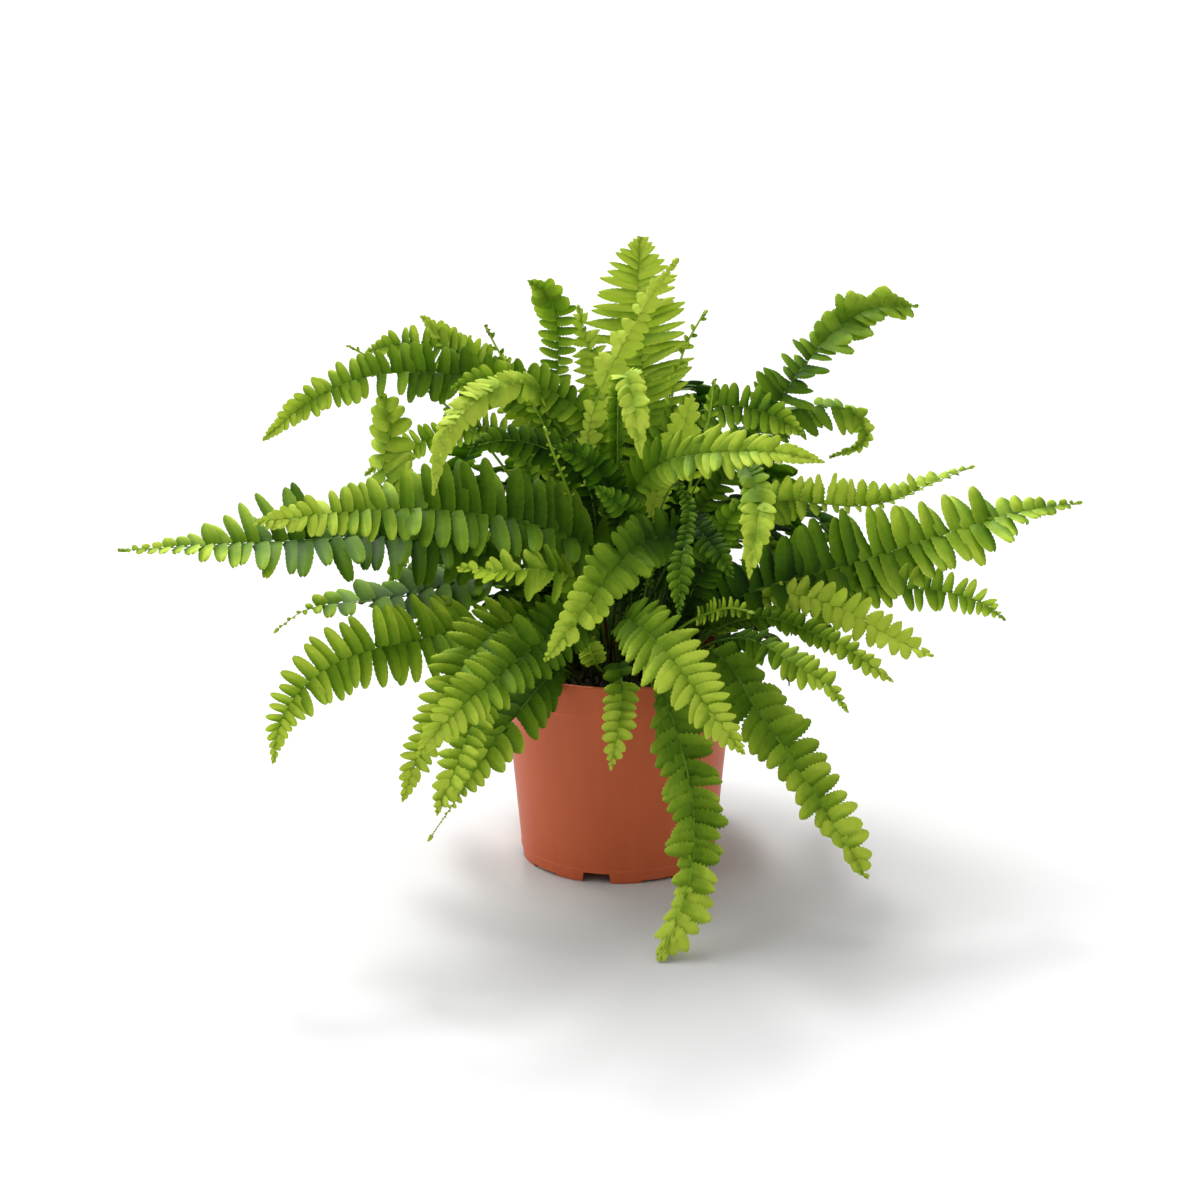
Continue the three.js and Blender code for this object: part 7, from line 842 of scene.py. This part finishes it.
def earth_material(name, stops, scale=700, bumpd=0.0006):
    m, t = nodes_of(name)
    out = t.nodes.new("ShaderNodeOutputMaterial")
    bs = N_(t, "ShaderNodeBsdfPrincipled")
    co = t.nodes.new("ShaderNodeTexCoord").outputs["Object"]
    n1 = noise(t, co, scale * 0.25, 4, 0.6)
    n2 = noise(t, co, scale, 5, 0.7)
    k = math_(t, "ADD", math_(t, "MULTIPLY", n1.outputs[0], 0.5), math_(t, "MULTIPLY", n2.outputs[0], 0.5), clamp=True)
    t.links.new(ramp(t, k, stops), bs.inputs["Base Color"])
    bs.inputs["Roughness"].default_value = 0.88
    bs.inputs["Specular IOR Level"].default_value = 0.25
    bump = N_(t, "ShaderNodeBump", inputs={"Strength": 0.8, "Distance": bumpd})
    t.links.new(n2.outputs[0], bump.inputs["Height"])
    t.links.new(bump.outputs[0], bs.inputs["Normal"])
    t.links.new(bs.outputs[0], out.inputs[0])
    return m


LEAF = leaf_material()
STALK = stalk_material()
POT = pot_material()
# growing mix painted near black: the soil's own dark colour with painted shade from the fronds over it
SOIL = earth_material("growing_mix", [(0.3, (0.002, 0.0018, 0.0012)), (0.5, (0.006, 0.0045, 0.003)), (0.68, (0.018, 0.012, 0.008)), (0.8, (0.055, 0.038, 0.024))])
CROWN = earth_material("crown_scales", [(0.3, (0.010, 0.009, 0.004)), (0.5, (0.034, 0.026, 0.010)), (0.68, (0.080, 0.060, 0.022)), (0.8, (0.13, 0.11, 0.05))], 900)

# ---------------------------------------------------------------------------
# fronds
# ---------------------------------------------------------------------------
groups = {}
for i, f in enumerate(FRONDS):
    groups.setdefault(f["node"], []).append((i, f))
for node, members in groups.items():
    b = Builder()
    for i, f in members:
        make_frond(b, f, 100 + i)
    ob = b.mesh("leafy_" + node, [LEAF, STALK])
    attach(ob, "root")
    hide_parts(node)


# ---------------------------------------------------------------------------
# lathe helper, pot, soil, crown
# ---------------------------------------------------------------------------
def lathe_mesh(b, profile, seg, mat, wobble=None):
    pr = np.asarray(profile, float)
    t = np.arange(seg) / seg * 2 * math.pi
    n = len(pr)
    on0, on1 = pr[0, 0] < 1e-9, pr[-1, 0] < 1e-9
    mid = pr[(1 if on0 else 0):(n - 1 if on1 else n)]
    m = len(mid)
    V = np.stack([mid[:, 0, None] * np.cos(t), mid[:, 0, None] * np.sin(t), np.broadcast_to(mid[:, 1, None], (m, seg))], -1)
    if wobble is not None:
        V = wobble(V)
    verts = [V.reshape(-1, 3)]
    i, j = np.meshgrid(np.arange(m - 1), np.arange(seg), indexing="ij")
    k = (j + 1) % seg
    f = [np.stack([i * seg + j, i * seg + k, (i + 1) * seg + k, (i + 1) * seg + j], -1).reshape(-1, 4)]
    j = np.arange(seg)
    k = (j + 1) % seg
    c = m * seg
    if on0:
        verts.append(pr[:1, [0, 0, 1]])
        f.append(np.stack([np.full(seg, c), np.full(seg, c), k, j], 1)[:, [2, 3, 0, 1]])
        c += 1
    if on1:
        verts.append(pr[-1:, [0, 0, 1]])
        f.append(np.stack([(m - 1) * seg + j, (m - 1) * seg + k, np.full(seg, c), np.full(seg, c)], 1))
    b.add(np.vstack(verts), np.vstack(f), mat, (0.5, 0.5, 0.5, 0.5))


H, RT, RB, WALL, BAND, STEP = 105.0, 60.0, 49.5, 1.6, 16.0, 0.7


def outer(z):
    return RB + (RT - STEP - RB) * z / H


def pot_profile():
    p = [(0, 5.6), (20, 5.6), (outer(0) - 3.8, 5.6), (outer(0) - 3.2, 5.35), (outer(0) - 3.0, 4.8), (outer(0) - 3.0, 0.35),
         (outer(0) - 2.65, 0.0), (outer(0) - 0.65, 0.0), (outer(0) - 0.2, 0.15), (outer(0) + 0.02, 0.6)]
    for z in (2, 4, 6.0):
        p.append((outer(z), z))
    p += [(outer(6.45) - 0.02, 6.45), (outer(6.8) - 0.30, 6.75), (outer(7.1) - 0.36, 7.1), (outer(7.6) - 0.32, 7.6), (outer(9) - 0.3, 9)]
    for z in (20, 35, 50, 65, 80):
        p.append((outer(z) - 0.3 + 0.1 * z / 80, z))
    z = H - BAND
    p += [(outer(z - 1.6) - 0.2, z - 1.6), (outer(z - 1.0) - 0.16, z - 1.0), (outer(z - 0.55) + 0.05, z - 0.55), (outer(z - 0.2) + 0.42, z - 0.2),
          (outer(z) + 0.62, z + 0.1), (outer(z + 0.6) + 0.7, z + 0.6), (outer(z + 4) + 0.7, z + 4), (outer(z + 10) + 0.7, z + 10),
          (RT - 0.02, H - 1.0), (RT, H - 0.6), (RT - 0.18, H - 0.18), (RT - 0.6, H), (RT - 1.4, H), (RT - 1.85, H - 0.12), (RT - 2.1, H - 0.5)]
    for z in (100, 94, 80, 50, 20):
        p.append((outer(z) - WALL, z))
    p += [(outer(9.4) - WALL, 9.4), (outer(8) - WALL - 0.5, 8.0), (outer(7.4) - WALL - 2, 7.4), (20, 7.4), (0, 7.4)]
    return p


b = Builder()
lathe_mesh(b, pot_profile(), 360, 0)
pot = b.mesh("pot_body", [POT])


def cutter(verts, faces):
    me = bpy.data.meshes.new("cut")
    me.from_pydata([tuple((np.array(v) + SHIFT) * MM) for v in verts], [], faces)
    ob = bpy.data.objects.new("cut", me)
    scene.collection.objects.link(ob)
    return ob


def prism(sx, w_low, w_high, z0, z1, r, ang):
    a = math.radians(ang)
    c, s = math.cos(a), math.sin(a)
    v = []
    for z, w in ((z0, w_low), (z1, w_high)):
        for x, y in ((-sx, -w), (sx, -w), (sx, w), (-sx, w)):
            v.append(((r + x) * c - y * s, (r + x) * s + y * c, z))
    return cutter(v, [(0, 3, 2, 1), (4, 5, 6, 7), (0, 1, 5, 4), (1, 2, 6, 5), (2, 3, 7, 6), (3, 0, 4, 7)])


cuts = []
for k in range(5):
    a = -103.3 + 72 * k
    cuts.append(prism(7, 7.6, 6.6, -2, 5.2, RB - 2, a))
    cuts.append(prism(7, 9.0, 8.4, -2, 1.4, RB - 2, a + 36))
    t = np.arange(24) / 24 * 2 * math.pi
    ca = math.radians(a + 18)
    v = [(34 * math.cos(ca) + 5.5 * math.cos(x), 34 * math.sin(ca) + 5.5 * math.sin(x), z) for z in (3, 10) for x in t]
    cuts.append(cutter(v, [tuple(range(23, -1, -1)), tuple(range(24, 48))] + [(i, (i + 1) % 24, 24 + (i + 1) % 24, 24 + i) for i in range(24)]))
joined = cuts[0]
with bpy.context.temp_override(active_object=joined, object=joined, selected_objects=cuts, selected_editable_objects=cuts):
    bpy.ops.object.join()
mod = pot.modifiers.new("feet", "BOOLEAN")
mod.object = joined
mod.operation = "DIFFERENCE"
mod.solver = "EXACT"
dg = bpy.context.evaluated_depsgraph_get()
done = bpy.data.meshes.new_from_object(pot.evaluated_get(dg))
pot.modifiers.clear()
pot.data = done
bpy.data.objects.remove(joined)
done.polygons.foreach_set("use_smooth", np.full(len(done.polygons), True))
done.set_sharp_from_angle(angle=math.radians(38))
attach(pot, "root")
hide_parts("nursery_pot")

# growing mix: a crumbly top over the block
rng = np.random.default_rng(5)
waves = [(rng.normal(0, 1, 2), rng.uniform(0.10, 0.75), rng.uniform(0, 6.3)) for _ in range(46)]


def bumpy(x, y):
    z = 0
    for d, fr_, ph in waves:
        d = d / np.linalg.norm(d)
        z = z + np.sin((x * d[0] + y * d[1]) * fr_ * 2 + ph) * (0.16 / (0.35 + fr_))
    return z * 0.42


def soil_wobble(V):
    r = np.hypot(V[..., 0], V[..., 1])
    top = V[..., 2] > 88
    V[..., 2] = np.where(top, np.minimum(V[..., 2] + bumpy(V[..., 0], V[..., 1]) * smooth(56.2, 54, r), 95.0), V[..., 2])
    return V


b = Builder()
ring = [(0, 7.7), (30, 7.7), (45.0, 7.7), (outer(12) - WALL - 0.6, 12), (outer(60) - WALL - 0.6, 60), (outer(88) - WALL - 0.6, 88)]
ring += [(outer(91) - WALL - 0.7, 90.6)] + [(r, 92.4) for r in np.arange(54.6, 1, -0.9)] + [(0, 92.4)]
lathe_mesh(b, ring, 220, 0, soil_wobble)


for _ in range(620):
    r = math.sqrt(rng.uniform(36 ** 2, 55.2 ** 2))
    a = rng.uniform(0, 2 * math.pi)
    s_ = 0.5 + 1.5 * rng.random() ** 2.2
    x, y = r * math.cos(a), r * math.sin(a)
    if r + s_ * 1.2 > 55.6:
        continue
    lump(b, (x, y, 92.4 + float(bumpy(x, y)) + s_ * 0.25), s_, rng, 0)
soil = b.mesh("mix_block", [SOIL])
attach(soil, "root")
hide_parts("growing_mix")


# crown: scaly mound, old stalk bases and the young croziers
def crown_wobble(V):
    r = np.hypot(V[..., 0], V[..., 1])
    k = smooth(41.5, 37, r) * (V[..., 2] > 93.5)
    V[..., 2] += k * (np.sin(V[..., 0] * 0.61 + 1) * np.cos(V[..., 1] * 0.57) * 0.5 + np.sin(V[..., 0] * 1.7) * np.sin(V[..., 1] * 1.9 + 2) * 0.35 + 0.4 * (1 - r / 42))
    return V


b = Builder()
prof = [(0, 92.8), (38, 92.8), (41.0, 92.9), (41.8, 93.4), (41.6, 94.2), (40.6, 95.0), (39.4, 95.4)] + [(r, 95.6) for r in np.arange(38, 1, -1.3)] + [(0, 95.9)]
lathe_mesh(b, prof, 160, 2, crown_wobble)
for _ in range(230):
    r = 40.0 * math.sqrt(rng.random())
    a = rng.uniform(0, 2 * math.pi)
    x, y = r * math.cos(a), r * math.sin(a)
    hgt = rng.uniform(2.0, 8.5)
    lean = np.array([math.cos(a), math.sin(a), 0]) * rng.uniform(-0.1, 0.55) + np.append(rng.normal(0, 0.18, 2), 0)
    t = np.linspace(0, 1, 6)[:, None]
    P = np.array([x, y, 94.6]) + np.array([0, 0, 1]) * hgt * t + lean * hgt * t ** 2
    tube(b, P, np.linspace(0.9, rng.uniform(0.15, 0.5), 6) * rng.uniform(0.6, 1.1), 2, (0.5, 0.5, 0.1, 0.5), sides=5)
for i, (head, spine) in enumerate(CROZIERS):
    rg = np.random.default_rng(40 + i)
    P, st, length = spline(spine, 60)
    P[0, 2] = 95.0
    T = unit(np.gradient(P, axis=0))
    # watch-spring tip
    side = unit(np.cross(T[-1], np.array([0.2, -1, 0.1])))
    nrm = unit(np.cross(side, T[-1]))
    a = np.linspace(0, 2 * math.pi * 1.25, 26)
    coil = 2.7 if i == 1 else 1.9
    rad = coil * (1 - a / a[-1] * 0.78)
    tip = P[-1]
    # spiral that leaves along T and winds towards nrm
    cen = tip + nrm * coil
    sp = cen + (-nrm[None] * np.cos(a)[:, None] + T[-1][None] * np.sin(a)[:, None]) * rad[:, None]
    Q = np.vstack([P[:-1], sp])
    R = np.concatenate([np.linspace(0.85, 0.55, len(P) - 1), np.linspace(0.62, 0.5, len(sp))])
    at = np.zeros((len(Q), 4)) + np.array([0.8, 0.5, 0.0, 0.5])
    at[:, 2] = np.concatenate([np.linspace(0.1, 0.9, len(P) - 1), np.full(len(sp), 1.0)])
    tube(b, Q, R, 1, at, sides=8)
    # tiny leaflets up the stalk's last part
    c = np.linspace(0.58, 0.985, 11)
    for side_s in (1, -1):
        cc = c + (0.018 if side_s > 0 else 0)
        cc = cc[cc < 0.995]
        k = (cc * 59).astype(int)
        Tc = T[k]
        Nc = unit(np.cross(np.broadcast_to(side, Tc.shape), Tc)) * -1
        S = unit(np.cross(Tc, Nc)) * side_s
        K = len(k)
        rnd = rg.random(K)
        Lk = head * (0.42 + 0.30 * np.sin(np.linspace(0.4, 3.0, K))) * (0.8 + 0.4 * rnd)
        D = unit(S + Tc * 0.35)
        A = unit(Tc - S * 0.35)
        leaflets(b, 0, P[k], D, A, Nc, Lk + 0.9, Lk * 0.55 + 0.9, np.full(K, side_s < 0), 0.62 + 0.3 * rnd, rnd, np.full(K, 0.3),
                 np.full(K, 0.8), np.full(K, 0.25), np.full(K, 0.08), 8)
    # scales and buds wrapped round the coil
    for _ in range(12):
        p = sp[rg.integers(0, len(sp))] + rg.normal(0, 0.35, 3)
        lump(b, p, rg.uniform(0.4, 0.8) * coil / 1.9, rg, 0, 6, 4)
crown = b.mesh("crown_mound", [LEAF, STALK, CROWN])
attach(crown, "root")
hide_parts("crown")

# ---------------------------------------------------------------------------
# floor, light, camera
# ---------------------------------------------------------------------------
me = bpy.data.meshes.new("floor")
me.from_pydata([(-80, -80, 0), (80, -80, 0), (80, 80, 0), (-80, 80, 0)], [], [(0, 1, 2, 3)])
floor = bpy.data.objects.new("floor", me)
scene.collection.objects.link(floor)
m, t = nodes_of("floor_paint")
out = t.nodes.new("ShaderNodeOutputMaterial")
bs = N_(t, "ShaderNodeBsdfPrincipled")
bs.inputs["Base Color"].default_value = (0.60, 0.60, 0.603, 1)
bs.inputs["Roughness"].default_value = 0.62
bs.inputs["Specular IOR Level"].default_value = 0.2
t.links.new(bs.outputs[0], out.inputs[0])
me.materials.append(m)

world = bpy.data.worlds.new("studio")
world.use_nodes = True
scene.world = world
bg = world.node_tree.nodes["Background"]
bg.inputs[0].default_value = (1.0, 1.0, 1.0, 1)
bg.inputs[1].default_value = 0.42


def sun(name, direction, strength, spread, color=(1, 1, 1)):
    d = bpy.data.lights.new(name, "SUN")
    d.energy = strength
    d.angle = math.radians(spread)
    d.color = color
    o = bpy.data.objects.new(name, d)
    o.rotation_euler = Vector(direction).to_track_quat("-Z", "Y").to_euler()
    scene.collection.objects.link(o)
    return o


sun("back", (0.15, -1.0, -1.0), 1.40, 9)
sun("high_back", (0.13, -0.78, -1.0), 2.05, 45)
sun("left_back", (0.60, -0.60, -1.0), 1.55, 26)
sun("left", (0.95, 0.12, -0.80), 0.95, 40)
sun("right", (-0.85, 0.10, -0.90), 0.44, 50)

cam_d = bpy.data.cameras.new("camera")
cam_d.sensor_fit = "HORIZONTAL"
cam_d.sensor_width = 36.0
cam_d.lens = 75.9
cam_d.clip_end = 200
cam = bpy.data.objects.new("camera", cam_d)
cam.location = ((-9.5 + SHIFT[0]) * MM, (-1226 + SHIFT[1]) * MM, 0.466)
cam.rotation_euler = (math.radians(90 - 15.2), 0, 0)
scene.collection.objects.link(cam)
scene.camera = cam
scene.view_settings.view_transform = "Standard"
